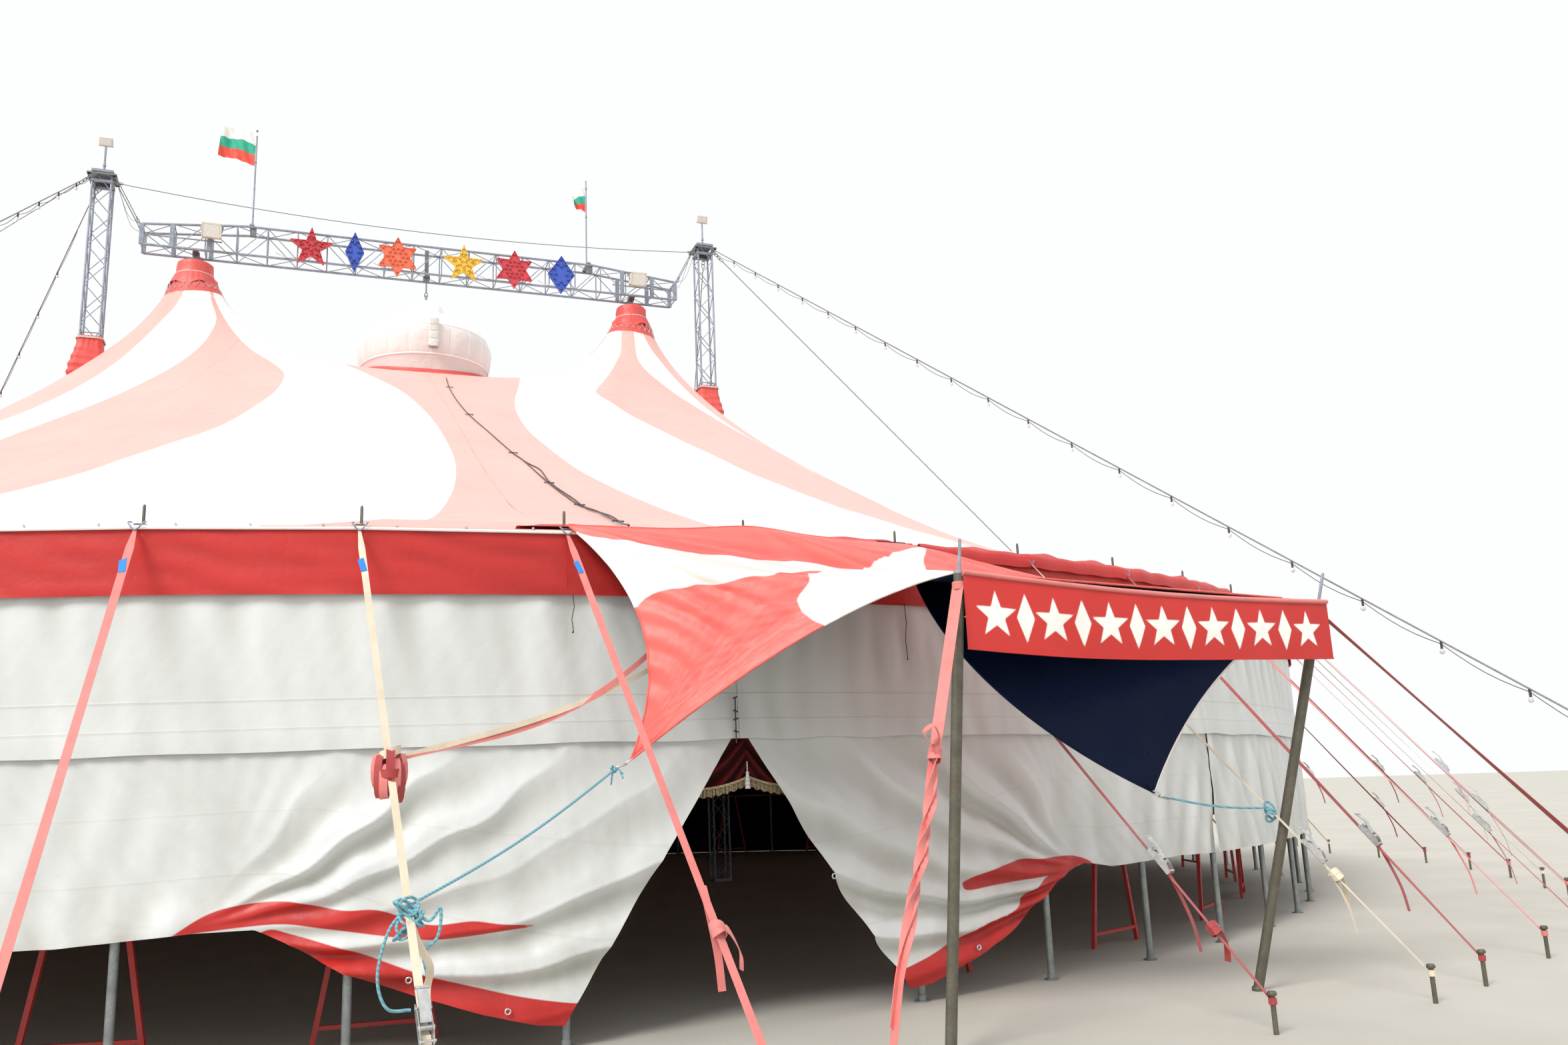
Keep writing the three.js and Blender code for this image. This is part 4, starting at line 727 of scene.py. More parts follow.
def add_roof_quarter(name, first, panels):
    azimuth = np.linspace(first, first + 90, ROOF_COLUMNS)
    t = np.linspace(0, 1, ROOF_ROWS)[:, None] ** 1.5
    edge = polar(ring_radius(CANVAS_EDGE, azimuth), azimuth, 0)
    x = (1 - t) * ridge_place(azimuth) + t * edge[:, 0]
    y = t * edge[:, 1]
    line = (azimuth - FIRST_POLE) / POLE_STEP + 0 * t
    sag = 0.020 * np.sin(math.pi * np.clip((t - 0.8) / 0.2, 0, 1)) * np.sin(math.pi * (line % 1)) ** 2
    ridges = 0.006 * waves(line * 1.42, t * 14, 5, 5, 0.7) * step_up(t, 0.25, 0.6) * step_down(t, 0.9, 1)
    z = canvas_top(x, y) - sag + ridges
    z[-1] = EAVE + CANVAS_LIFT
    rows = [np.stack([x, y, z], axis=-1)[::-1]]
    for radius, height in ROOF_EDGE:
        rows.insert(0, polar(ring_radius(radius, azimuth), azimuth, height)[None])
    points = np.concatenate(rows).reshape(-1, 3)
    count = len(points) // ROOF_COLUMNS
    faces = grid_faces(count, ROOF_COLUMNS)
    for centre_x, radius in ROOF_HOLES:
        faces = trim_hole(points, faces, centre_x, radius)
    kept, numbers = np.unique(faces, return_inverse=True)
    faces = numbers.reshape(-1, 4)
    points = points[kept]
    pole_line = (np.tile(azimuth, count)[kept] - FIRST_POLE) / POLE_STEP / 2
    values = {"red": roof_red(points[:, 0], points[:, 1]), "pole_line": pole_line}
    parts = Parts()
    parts.add(points, faces)
    piece = add_piece(name, parts, [roof_cloth], panels, values, crease=80)
    round(mesh_area(points, faces), 1)


def add_roof():
    quarters = (("front_right", 0), ("back_right", 90), ("back_left", 180), ("front_left", 270))
    for number, (name, turn) in enumerate(quarters):
        panels = [f"roof_panel_{2 * number + 1}", f"roof_panel_{2 * number + 2}"]
        add_roof_quarter(f"roof_canvas_{name}", FIRST_POLE + turn, panels)


def add_eave_trim():
    """The white bead and the studs along the edge of the roof."""
    parts = Parts()
    azimuth = FIRST_POLE + np.arange(0, 8 * POLES) * POLE_STEP / 8
    ring = polar(ring_radius(14.588, azimuth), azimuth, 3.540)
    turn = np.arange(6) * math.pi / 3
    outward = unit(ring * [1, 1, 0])
    across, up = np.cos(turn)[None, :, None], np.sin(turn)[None, :, None]
    rings = ring[:, None] + 0.011 * (across * outward[:, None] + up * UP)
    faces = grid_faces(len(ring), 6, closed=True)
    last = [[(len(ring) - 1) * 6 + i, (len(ring) - 1) * 6 + (i + 1) % 6, (i + 1) % 6, i]
            for i in range(6)]
    parts.add(rings, [list(face) for face in faces] + last, 0)
    for index in range(POLES):
        for share in (0.17, 0.5, 0.83):
            azimuth = pole_azimuth(index + share)
            parts.ball(polar(ring_radius(14.585, azimuth), azimuth, 3.566), 0.011, 1, 6, 3)
    add_piece("eave_bead", parts, [dome_cloth, plated])


CABLE_ON_ROOF = [
    (0.13, -2.57), (0.04, -3.9), (0.01, -5.14), (0.04, -6.43), (0.16, -7.84), (0.25, -8.9), (0.31, -9.32),
    (0.38, -10.49), (0.42, -11.15), (0.45, -11.69), (0.55, -12.1), (0.53, -12.91), (0.42, -13.7),
    (0.26, -14.35),
]
SECOND_CABLE = [
    (0.31, -9.32), (0.35, -9.5), (0.42, -9.8), (0.40, -10.48), (0.47, -11.29), (0.48, -11.84),
    (0.60, -12.41), (0.48, -13.3), (0.36, -13.9), (0.27, -14.34),
]
# Each loose flap is a first and a last azimuth, and how many points of the profile it reaches.
ROOF_FLAPS = (("left", -2.4, 1.3, 7), ("middle", 4.5, 10.6, 10), ("right", 10.9, 31.0, 10))
FLAP_RADIUS = 14.475
FLAP_HEIGHT = 3.588
FLAP_PROFILE = (
    (-0.15, 0.008), (-0.11, 0.030), (-0.06, 0.050), (-0.02, 0.036), (0.02, 0.058), (0.055, 0.040),
    (0.10, 0.022), (0.137, -0.014), (0.144, -0.06), (0.140, -0.105),
)


def on_canvas(plan, lift):
    plan = np.asarray(plan, float)
    return np.column_stack([plan, canvas_top(plan[:, 0], plan[:, 1]) + lift])


def add_roof_cables():
    """The two dark cables tied down along the roof, and the small cords under the eave."""
    parts = Parts()
    for line in (CABLE_ON_ROOF, SECOND_CABLE):
        parts.tube(on_canvas(smooth_line(line, 6), 0.010), 0.0075, 6)
    for plan in CABLE_ON_ROOF[1:-1:2]:
        place = on_canvas([plan], 0.016)[0]
        parts.tube([place - [0.05, 0, 0.004], place, place + [0.05, 0, -0.004]], 0.006, 5)
        parts.ball(place + [0.05, 0, -0.004], 0.014, 0, 6, 3, 0.6)
    for azimuth, low in ((-0.86, 2.81), (10.06, 2.64)):
        sway = np.array([0, 0.004, -0.003, 0.002])
        heights = np.linspace(3.09, low, 4)
        parts.tube(polar(14.60, azimuth + 10 * sway, heights), 0.0035, 5)
        parts.ball(polar(14.60, azimuth, low), 0.008, 0, 6, 3)
    add_piece("roof_cables", parts, [dark_paint])


def add_roof_flaps():
    """Loose red flaps that lie crumpled along the edge of the roof."""
    for number, (name, first, last, reach) in enumerate(ROOF_FLAPS):
        columns = int((last - first) * 22)
        azimuth = np.linspace(first, last, columns)
        s = azimuth * METRES_PER_DEGREE
        taper = 0.25 + 0.75 * step_up(azimuth, first, first + 0.8) * step_down(azimuth, last - 0.8, last)
        rows, folds = [], []
        for k, (across, height) in enumerate(FLAP_PROFILE[:reach]):
            crumple = waves(s + 0.12 * k, 0 * s + k * 0.1, 150 + number, 6, 0.5)
            if reach < len(FLAP_PROFILE):
                radius = FLAP_RADIUS + across
                lift = 0.55 * height * (1 + 0.3 * crumple) * taper * (k < reach - 1)
            elif across < 0.09:
                radius = FLAP_RADIUS + across * (0.95 + 0.3 * waves(s, 0 * s, 140 + number, 4, 0.9))
                lift = np.maximum(height * (0.85 + 0.8 * crumple), height * 0.1) * taper
            else:
                radius = FLAP_RADIUS + across + 0.004 * crumple
                lift = height + 0.014 * waves(s, 0 * s, 155, 5, 0.6)
            rows.insert(0, on_wall(radius, azimuth, FLAP_HEIGHT + lift))
            folds.insert(0, crumple)
        points, faces = np.stack(rows), grid_faces(reach, columns)
        parts = Parts()
        parts.add(points, faces)
        piece = add_piece(f"roof_flap_{name}", parts, [valance_cloth],
                          values={"fold": np.stack(folds)}, crease=80)
        area = float(mesh_area(points.reshape(-1, 3), faces))


def add_door_lacing():
    """The dark toggles that close the two sheets above the doorway."""
    parts = Parts()
    parts.strap(polar(14.572, 3.98, np.linspace(2.34, 2.0, 5)), 0.009, 0.006, [1, 0, 0])
    for k, height in enumerate((2.33, 2.24, 2.17, 2.09)):
        ends = [polar(14.576, 3.91, height), polar(14.58, 4.04, height + 0.010 * (-1) ** k)]
        parts.tube(ends, 0.007, 6)
    add_piece("doorway_toggles", parts, [dark_paint])


# Valance and walls

WALL_SPAN = 78.75
VALANCE_RADIUS = 14.572
VALANCE_LOW = 3.082
VALANCE_TOP = 3.548


def add_valance():
    """The red valance under the eave, in four lengths."""
    columns, rows = 460, 12
    quarters = (("left", -90), ("right", 0), ("back_right", 90), ("back_left", 180))
    for number, (name, turn) in enumerate(quarters):
        azimuth = np.linspace(FIRST_POLE + turn, FIRST_POLE + turn + 90, columns)
        t = np.linspace(0, 1, rows)[:, None]
        s = azimuth * METRES_PER_DEGREE
        low = VALANCE_LOW + 0.010 * waves(s, 0 * s, 11 + number, 4, 1.9)
        z = (1 - t) * low + t * VALANCE_TOP
        index = (azimuth - FIRST_POLE) / POLE_STEP
        slack = np.sin(math.pi * (index % 1)) ** 2
        wrinkles = waves(z + 0.16 * s, s, 21 + number, 7, 0.17, tilt=0.35, stretch=9)
        out = VALANCE_RADIUS + 0.007 * wrinkles * (1 - 0.6 * t)
        out = out + 0.008 * slack * (1 - t) + 0.006 * (1 - t)
        parts = Parts()
        parts.add(on_wall(out, azimuth, z), grid_faces(rows, columns))
        node = "valance_front" if number < 2 else "valance_back"
        piece = add_piece(f"valance_cloth_{name}", parts, [valance_cloth], [node],
                          {"fold": wrinkles}, crease=80)


LAP_LOW = 2.03
LAP_FOLD = 2.33
WALL_HEM = 0.86
WALL_HEMS = (0.86, 0.012, 0.012, 0.86)
UPPER_TOP = 3.5
UPPER_RADIUS = 14.535
LOWER_RADIUS = 14.517
INTERIOR_SHADE_RADIUS = 14.452
INTERIOR_SHADE_TOP = 3.44


def wall_azimuths(number):
    """Where a side wall starts and ends."""
    first = pole_azimuth(5 + 14 * (number - 1))
    return first, first + WALL_SPAN


def upper_sheet(parts, first, last, seed, radius=UPPER_RADIUS):
    """The upper wall sheet, which laps over the lower one. Gives its points' heights and folds."""
    columns, rows = max(40, int(abs(last - first) * 7.5)), 25
    azimuth = np.linspace(first, last, columns)
    t = np.linspace(0, 1, rows)[:, None]
    s = azimuth * METRES_PER_DEGREE
    low = LAP_LOW + 0.008 * waves(s, 0 * s, seed, 5, 0.9)
    z = (1 - t) * low + t * UPPER_TOP
    hung = (0.45 + 0.55 * step_up(t, 0.15, 0.6)) * (1 - 0.5 * step_up(t, 0.62, 0.75))
    folds = waves(s + 0.22 * z, z, seed + 1, 7, 0.36, tilt=0.35, stretch=7)
    out = radius + 0.023 * folds * hung + 0.003 * waves(s, z, seed + 4, 6, 0.16, tilt=0.8, stretch=4)
    out = out + 0.018 * step_down(t, 0, 0.22) * (1 + 0.3 * waves(s, z, seed + 2, 5, 0.34))
    parts.add(on_wall(out, azimuth, z), grid_faces(rows, columns))
    return [(z + 0 * azimuth).ravel()], [(folds * hung).ravel()]


def add_side_wall(number):
    """One stretch of the wall: an upper sheet that laps over a lower one."""
    first, last = wall_azimuths(number)
    seed, hem = 40 * number, WALL_HEMS[number - 1]
    parts = Parts()
    rise, fold = upper_sheet(parts, first, last, seed)
    columns, rows = 440, 36
    azimuth = np.linspace(first, last, columns)
    t = np.linspace(0, 1, rows)[:, None]
    s = azimuth * METRES_PER_DEGREE
    low = np.maximum(hem + 0.012 * waves(s, 0 * s, seed + 5, 5, 1.3), 0.003)
    z = (1 - t) * low + t * LAP_FOLD
    loose = step_down(t, 0.55, 1.0)
    folds = waves(s + 0.3 * z, z, seed + 6, 8, 0.42, tilt=0.5)
    out = LOWER_RADIUS + (0.006 + 0.020 * loose) * folds
    out = out + 0.003 * waves(s, z, seed + 7, 6, 0.16, tilt=0.9, stretch=4)
    out = out + 0.012 * loose * np.sin(math.pi * np.clip(1 - t, 0, 1)) + 0.010 * (1 - t) ** 6
    parts.add(on_wall(out, azimuth, z), grid_faces(rows, columns))
    rise.append((z + 0 * azimuth).ravel())
    fold.append((folds * (0.4 + 0.6 * loose)).ravel())
    values = {"red": np.full(parts.count, -1.0), "rise": np.concatenate(rise),
              "fold": np.concatenate(fold)}
    piece = add_piece(f"side_wall_cloth_{number}", parts, [wall_cloth],
                      [f"side_wall_{number}"], values, crease=80)


def add_interior_shade(number):
    """A near-black sheet inside a back wall, which the doorway looks on to: painted shade for the dark
    inside of the tent.
    """
    columns, rows = 260, 12
    first = wall_azimuths(number)[0] + 0.1
    azimuth = np.linspace(first, first + WALL_SPAN - 0.2, columns)
    z = np.linspace(0.006, INTERIOR_SHADE_TOP, rows)[:, None]
    s = azimuth * METRES_PER_DEGREE
    folds = waves(s + 0.1 * z, z, 40 * number + 9, 6, 0.5, stretch=6)
    parts = Parts()
    parts.add(on_wall(INTERIOR_SHADE_RADIUS + 0.010 * folds, azimuth, z + 0 * s), grid_faces(rows, columns))
    piece = add_piece(f"side_wall_interior_shade_{number}", parts, [interior_shade_cloth],
                      values={"fold": folds.ravel()}, crease=80)


# The sheets at the doorway. Their edges are azimuth and height pairs, read on the wall.

SHEET_RADIUS = 14.520
LEFT_BUNCH = (-10.6, 0.93)
RIGHT_BUNCH = (17.6, 0.90)
LEFT_HEM = [(-17.875, 0.86), (-14.8, 0.85), (-13.6, 0.85), (-11.6, 0.88), (-10.4, 0.90), (-8.9, 0.90),
            (-8.14, 0.81), (-6.65, 0.59), (-5.0, 0.43), (-3.22, 0.27), (-1.81, 0.17), (-1.09, 0.15)]
LEFT_FREE = [(-1.09, 0.15), (-0.85, 0.26), (-0.42, 0.42), (-0.04, 0.57), (0.42, 0.74), (1.3, 1.06),
             (2.03, 1.33), (2.89, 1.65), (3.9, 2.03), (4.5, 2.32)]
RIGHT_HEM = [(27.125, 0.86), (24.0, 0.88), (21.5, 0.87), (19.4, 0.86), (18.3, 0.90), (17.56, 0.92),
             (16.77, 0.86), (15.22, 0.66), (13.78, 0.45), (12.47, 0.31), (11.24, 0.2), (10.42, 0.14),
             (9.54, 0.12)]
RIGHT_FREE = [(9.54, 0.12), (9.06, 0.29), (8.29, 0.52), (7.53, 0.8), (6.98, 1.02), (6.25, 1.29),
              (5.71, 1.53), (4.99, 1.81), (4.45, 2.03), (4.0, 2.32)]
LEFT_BANDS = [
    [(-10.84, 0.89), (-10.05, 1.01), (-9.24, 1.06), (-8.26, 1.07), (-7.59, 1.04), (-6.75, 0.99),
     (-5.9, 0.98), (-4.97, 0.89), (-4.42, 0.86), (-3.52, 0.87), (-2.81, 0.84), (-1.88, 0.81),
     (-2.81, 0.79), (-3.8, 0.77), (-4.62, 0.77), (-5.88, 0.82), (-7.15, 0.88), (-8.16, 0.925),
     (-9.22, 0.92)],
    [(-9.3, 0.80), (-8.6, 0.895), (-8.0, 0.86), (-6.64, 0.745), (-5.29, 0.61), (-4.4, 0.52),
     (-3.22, 0.43), (-2.23, 0.36), (-0.79, 0.29), (-0.2, 0.30), (-0.6, -0.1), (-5.0, -0.1), (-9.5, 0.3)],
]
RIGHT_BANDS = [
    [(11.88, 0.86), (12.7, 0.92), (14.41, 1.0), (15.37, 0.99), (17.14, 0.99), (18.1, 0.90),
     (17.56, 0.915), (16.46, 0.87), (15.3, 0.84), (13.29, 0.82), (11.99, 0.8)],
    [(16.6, 0.93), (15.8, 0.85), (14.71, 0.73), (13.85, 0.61), (12.56, 0.53), (11.67, 0.45),
     (10.62, 0.37), (9.59, 0.29), (9.06, 0.27), (8.6, 0.25), (9.0, -0.1), (13.0, -0.1), (18.4, 0.75)],
]


def drape(hem, free, bunch, seed, depth):
    """A drawn-aside sheet between its fixed edge, its hem and its free edge, with folds that
    fan out from the place where it is gathered."""
    columns, rows = 240, 130
    u, v = shares(columns, rows)
    scale = np.array([METRES_PER_DEGREE, 1])
    hem = even_line(np.asarray(hem) * scale, columns)
    free = even_line(np.asarray(free) * scale, rows)
    top = np.stack([np.linspace(hem[0, 0], free[-1, 0], columns), np.full(columns, LAP_FOLD - 0.01)],
                   axis=1)
    fixed = np.linspace(hem[0], top[0], rows)
    grid = ((1 - v[..., None]) * hem[None] + v[..., None] * top[None]
            + (1 - u[None, :, None]) * fixed[:, None] + u[None, :, None] * free[:, None])
    grid -= ((1 - v) * (1 - u))[..., None] * hem[0] + ((1 - v) * u)[..., None] * hem[-1]
    grid -= (v * (1 - u))[..., None] * top[0] + (v * u)[..., None] * top[-1]
    s, z = grid[..., 0], grid[..., 1]
    side = 1.0 if free[0, 0] > hem[0, 0] else -1.0
    run = side * (s - bunch[0] * METRES_PER_DEGREE)
    rise = z - bunch[1]
    reach = np.hypot(run, rise)
    angle = np.degrees(np.arctan2(rise, run)) - 7.0 * reach
    turns = 8.2 * np.tanh((angle + 42) / 66) + 0.16 * waves(reach, angle / 40, seed, 3, 0.8)
    ridge = 1.7 * (1 - np.abs(np.sin(math.pi * turns)) ** 0.7) - 0.5
    wave = (0.55 * np.sin(2 * math.pi * turns) + 0.75 * ridge) * (0.72 + 0.4 * np.sin(1.9 * turns + seed))
    beside = step_up(run, -0.6, 0.6)
    strength = depth * step_up(reach, 0.05, 1.0) * beside * (1 - 0.88 * step_up(z, 1.5, 2.04))
    strength = strength * (1 - 0.35 * step_up(angle, 25, 80))
    plain = (0.006 + 0.018 * step_down(z, 1.0, 2.0)) * waves(s, z, seed + 1, 7, 0.5, tilt=0.6)
    fine = 0.003 * waves(s + 0.5 * z, z, seed + 9, 6, 0.17, tilt=0.9, stretch=4)
    plain = plain * (1 - 0.7 * beside) + fine
    small = 0.004 * waves(angle / 14, reach, seed + 2, 6, 0.7) * step_up(reach, 0.4, 1.0) * beside
    out = SHEET_RADIUS + strength * (1.0 + wave) + plain + small
    # fold drives painted shade: the material darkens the valleys of these folds.
    fold = (strength * wave + plain + small) / 0.026
    pinch = np.exp(-(((s / METRES_PER_DEGREE - bunch[0]) / 1.5) ** 2) - ((z - bunch[1]) / 0.16) ** 2)
    out = out + 0.045 * pinch
    rise = WALL_HEM + (LAP_FOLD - WALL_HEM) * v + 0 * u
    return s / METRES_PER_DEGREE, z, out, rise, fold


def curtain_red(azimuth, height, bands):
    """How far a place lies inside the red bands of a curtain, in metres."""
    red = np.full(azimuth.shape, -1.0)
    for band in bands:
        outline = smooth_line(np.vstack([band, band[:1]]) * [METRES_PER_DEGREE, 1], 4)[:-1]
        red = np.maximum(red, signed_distance(azimuth * METRES_PER_DEGREE, height, outline))
    return red


def eyelet(parts, azimuth, height, out, kind):
    """A small metal ring, flat on the wall."""
    right = polar(1, azimuth + 90, 0)
    turn = np.linspace(0, 2 * math.pi, 13)[:, None]
    ring = polar(out, azimuth, height) + 0.018 * (np.cos(turn) * right + np.sin(turn) * UP)
    parts.tube(ring + 0.004 * polar(1, azimuth, 0), 0.006, 6, kind)


def add_curtains():
    """The two sheets that are drawn aside at the doorway."""
    sides = (
        ("left", pole_azimuth(-3), 4.42, LEFT_HEM, LEFT_FREE, LEFT_BUNCH, LEFT_BANDS, 300, 14.535, 0.046),
        ("right", pole_azimuth(5), 4.12, RIGHT_HEM, RIGHT_FREE, RIGHT_BUNCH, RIGHT_BANDS, 331, 14.545,
         0.060),
    )
    for side, fixed, meets, hem, free, bunch, bands, seed, radius, depth in sides:
        parts = Parts()
        first, last = sorted((fixed, meets))
        rises, folds = upper_sheet(parts, first, last, seed, radius)
        red = [np.full(parts.count, -1.0)]
        azimuth, z, out, rise, fold = drape(hem, free, bunch, seed + 5, depth)
        if side == "right":
            azimuth, z, out, fold = azimuth[:, ::-1], z[:, ::-1], out[:, ::-1], fold[:, ::-1]
        parts.add(on_wall(out, azimuth, z), grid_faces(*azimuth.shape))
        red.append(curtain_red(azimuth, z, bands))
        rises.append(rise)
        folds.append(fold)
        places = [(-5.1, 0.53), (-2.6, 0.28)] if side == "left" else [(12.2, 0.36), (6.9, 1.0)]
        for a, h in places:
            near = np.argmin((azimuth - a) ** 2 + (z - h) ** 2)
            eyelet(parts, a, h, out.ravel()[near] + 0.004, 1)
        values = {"red": filled(parts, -1.0, red), "rise": filled(parts, -1.0, rises),
                  "fold": filled(parts, 0.0, folds)}
        piece = add_piece(f"doorway_sheet_{side}", parts, [wall_cloth, plated],
                          [f"doorway_curtain_{side}"], values, crease=80)


# Eave poles with their belt, spikes, hooks and the header over the doorway

ANCHOR_RADIUS = 17.3
FRONT_ANCHORS = {-2: (17.15, -11.4), -1: (17.08, -4.6), 0: (17.2, 0.86), 2: (17.1, 13.0), 3: (17.3, 18.5)}


def anchor_of(index):
    radius, azimuth = FRONT_ANCHORS.get(index, (ANCHOR_RADIUS, pole_azimuth(index)))
    return polar(radius, azimuth, 0)


# Each quarter of the ring and the numbers of its poles.
QUARTERS = (("front", range(-8, 8)), ("right", range(8, 24)), ("back", range(24, 40)),
            ("left", range(40, 56)))
STUB = 0.9


def add_pole(parts, index):
    """An eave pole with its foot, its spike, its lug and its hook."""
    azimuth = pole_azimuth(index)

    def at(height, radius=POLE_CIRCLE):
        return polar(radius, azimuth, height)

    stub = index == DOOR_POLE
    foot = EAVE - STUB if stub else 0.0
    parts.tube([at(foot), at(EAVE - 0.015)], 0.03, 14)
    if not stub:
        parts.turned([(0.012, 0.0), (0.062, 0.0), (0.062, 0.008), (0.036, 0.012), (0.036, 0.05),
                      (0.03, 0.052)], at(0), 14)
    parts.tube([at(3.52), at(3.715), at(3.73)], [0.011, 0.011, 0.006], 8, 2)
    outward, right = polar(1, azimuth, 0), polar(1, azimuth + 90, 0)
    plate = [(-0.055, 0.0), (0.055, 0.0), (0.030, 0.100), (-0.030, 0.100)]
    parts.plate(plate, at(3.578, 14.462), right, outward, -0.006, 1)
    hook = [at(3.588, 14.545) - 0.045 * right, at(3.575, 14.60) - 0.05 * right, at(3.52, 14.617)]
    hook += [at(3.575, 14.60) + 0.05 * right, at(3.588, 14.545) + 0.045 * right]
    parts.tube(smooth_line(hook, 4), 0.006, 6, 1)
    parts.ball(at(3.59), 0.02, 1, 8, 4, 0.6)


def add_pole_sets():
    for name, indices in QUARTERS:
        parts = Parts()
        for index in indices:
            add_pole(parts, index)
        azimuth = pole_azimuth(np.array([indices[0] - 0.5, *indices, indices[-1] + 0.5]))
        belt = polar(ring_radius(14.48, azimuth), azimuth, 3.525)
        outward = polar(1, azimuth, 0)
        parts.section(belt, [[0.075, -0.022], [0.075, 0.022], [-0.075, 0.022], [-0.075, -0.022]], outward)
        if name == "front":
            rail = [polar(POLE_CIRCLE, pole_azimuth(i), EAVE - STUB) for i in (0, 1, 2)]
            parts.tube(rail[:2], 0.022, 12)
            parts.tube(rail[1:], 0.022, 12)
        add_piece(f"eave_poles_{name}", parts, [galvanised, truss_steel, dark_steel],
                  [f"perimeter_poles_{name}"])


# Webbing guys with hooks, ratchets, tails and stakes

STRAP_TOP_RADIUS = 14.612
STRAP_TOP_HEIGHT = 3.515
STRAP_FOOT = 0.20
STRAP_KINDS = {-2: 0, -1: 2, 0: 0, 2: 1, 3: 2, 4: 1, 5: 0, 6: 1}
BARE_STRAPS = (0,)
# How far down a guy its ratchet sits, where the photo shows it.
RATCHETS = {-1: 0.885, -2: 0.93}
BUNDLE = 0.487
HOOK_RING = [(0.020, -0.022), (0.027, -0.018), (0.027, 0.018), (0.020, 0.022)]


def strap_ends(index):
    """The top of a guy, under its pole's hook, and its foot on the stake."""
    top = polar(STRAP_TOP_RADIUS, pole_azimuth(index), STRAP_TOP_HEIGHT)
    return top, anchor_of(index) + [0, 0, STRAP_FOOT]


def on_strap(index, share):
    """A place at a share of the way down a guy, and the guy's direction."""
    top, foot = strap_ends(index)
    return top + (foot - top) * share, unit(foot - top)


def add_ratchet(parts, centre, along, across):
    """A ratchet buckle: two cheek plates, a spool, a release bar and a lever. Its plated steel is
    the fourth material of each piece that has one."""
    kind = 3
    along, across = unit(along), unit(across)
    out = np.cross(across, along)
    if out[2] < 0:
        out = -out
    cheek = [(-0.10, -0.012), (0.10, -0.012), (0.115, 0.008), (0.05, 0.034), (-0.04, 0.04),
             (-0.105, 0.014)]
    for side in (-1, 1):
        parts.plate(cheek, centre + across * side * 0.034, along, out, 0.004, kind)
    for place, radius in ((-0.02, 0.014), (0.085, 0.007), (-0.09, 0.007)):
        at = centre + along * place + out * 0.016
        parts.tube([at - across * 0.042, at + across * 0.042], radius, 8, kind)
    lever = [centre + out * 0.03, centre + along * 0.10 + out * 0.055,
             centre + along * 0.17 + out * 0.045]
    parts.strap(lever, 0.056, 0.008, across, kind)
    grip = centre + along * 0.18 + out * 0.045
    parts.tube([grip - across * 0.036, grip + across * 0.036], 0.009, 8, kind)


def add_stake(parts, place, kind):
    """The head of a driven stake, with the top that is spread by the hammer."""
    place = np.asarray(place, float)
    parts.tube([place, place + [0, 0, 0.235]], 0.017, 10, kind)
    parts.turned([(0.017, 0.230), (0.030, 0.236), (0.032, 0.250), (0.024, 0.262), (0.002, 0.265)], place,
                 12, kind)


def add_strap(parts, index, kind):
    """A flat guy with its ratchet, its loose tail, its hook, its tag and its stake."""
    top, foot = strap_ends(index)
    along = unit(foot - top)
    across = unit(np.cross(along, [0, 0, 1]))
    length = np.linalg.norm(foot - top)
    random = np.random.default_rng(700 + index)
    steps = 26
    t = np.linspace(0, 1, steps)
    path = top + np.outer(t * length, along)
    path[:, 2] -= 0.012 * np.sin(math.pi * t)
    twist = 0.12 * np.sin(2 * math.pi * (t * random.uniform(0.6, 1.2) + random.uniform()))
    sideways = across + twist[:, None] * np.cross(along, across)
    wide = (0.022 if kind == 2 else 0.026) * (0.45 + 0.55 * step_up(t, 0.0, 0.03))
    flat = np.array([[1, -0.0016], [1, 0.0016], [-1, 0.0016], [-1, -0.0016]])
    outline = flat[None] * np.stack([wide, np.ones(steps)], axis=1)[:, None]
    end = 1 - random.uniform(0.20, 0.30) if index in STRAP_KINDS else 1 - random.uniform(0.16, 0.45)
    end = RATCHETS.get(index, end)
    parts.section(path, outline, sideways, kind)
    centre = top + along * length * end + np.cross(across, along) * 0.012
    if index not in BARE_STRAPS:
        add_ratchet(parts, centre, -along, across)
    bends = ((0.05, 0), (0.16, -0.05), (0.3, -0.16), (0.36, -0.30))
    tail = smooth_line([centre + along * run + [0, 0, drop] for run, drop in bends], 5)
    tail[:, 2] = np.maximum(tail[:, 2], 0.012)
    parts.strap(tail, 0.048, 0.003, across, kind)
    parts.turned(HOOK_RING, foot, 10, kind)
    tag = top + along * 0.34
    tag_outline = [(-0.030, -0.065), (0.012, -0.075), (0.026, 0.04), (-0.016, 0.065)]
    parts.plate(tag_outline, tag + across * 0.012, across, -along, 0.002, 4)
    add_stake(parts, anchor_of(index), 5)


def add_webbing():
    """The guys of all poles but the stub over the doorway."""
    materials = [strap_pink, strap_red, strap_cream, plated, blue_tag, dark_steel]
    for name, indices in QUARTERS:
        parts = Parts()
        for index in indices:
            if index != DOOR_POLE:
                add_strap(parts, index, STRAP_KINDS.get(index, (0, 1, 1, 0, 2)[index % 5]))
        if name == "front":
            add_knots(parts)
        add_piece(f"webbing_{name}", parts, materials, [f"webbing_guys_{name}"],
                  {"along": parts.lay()})


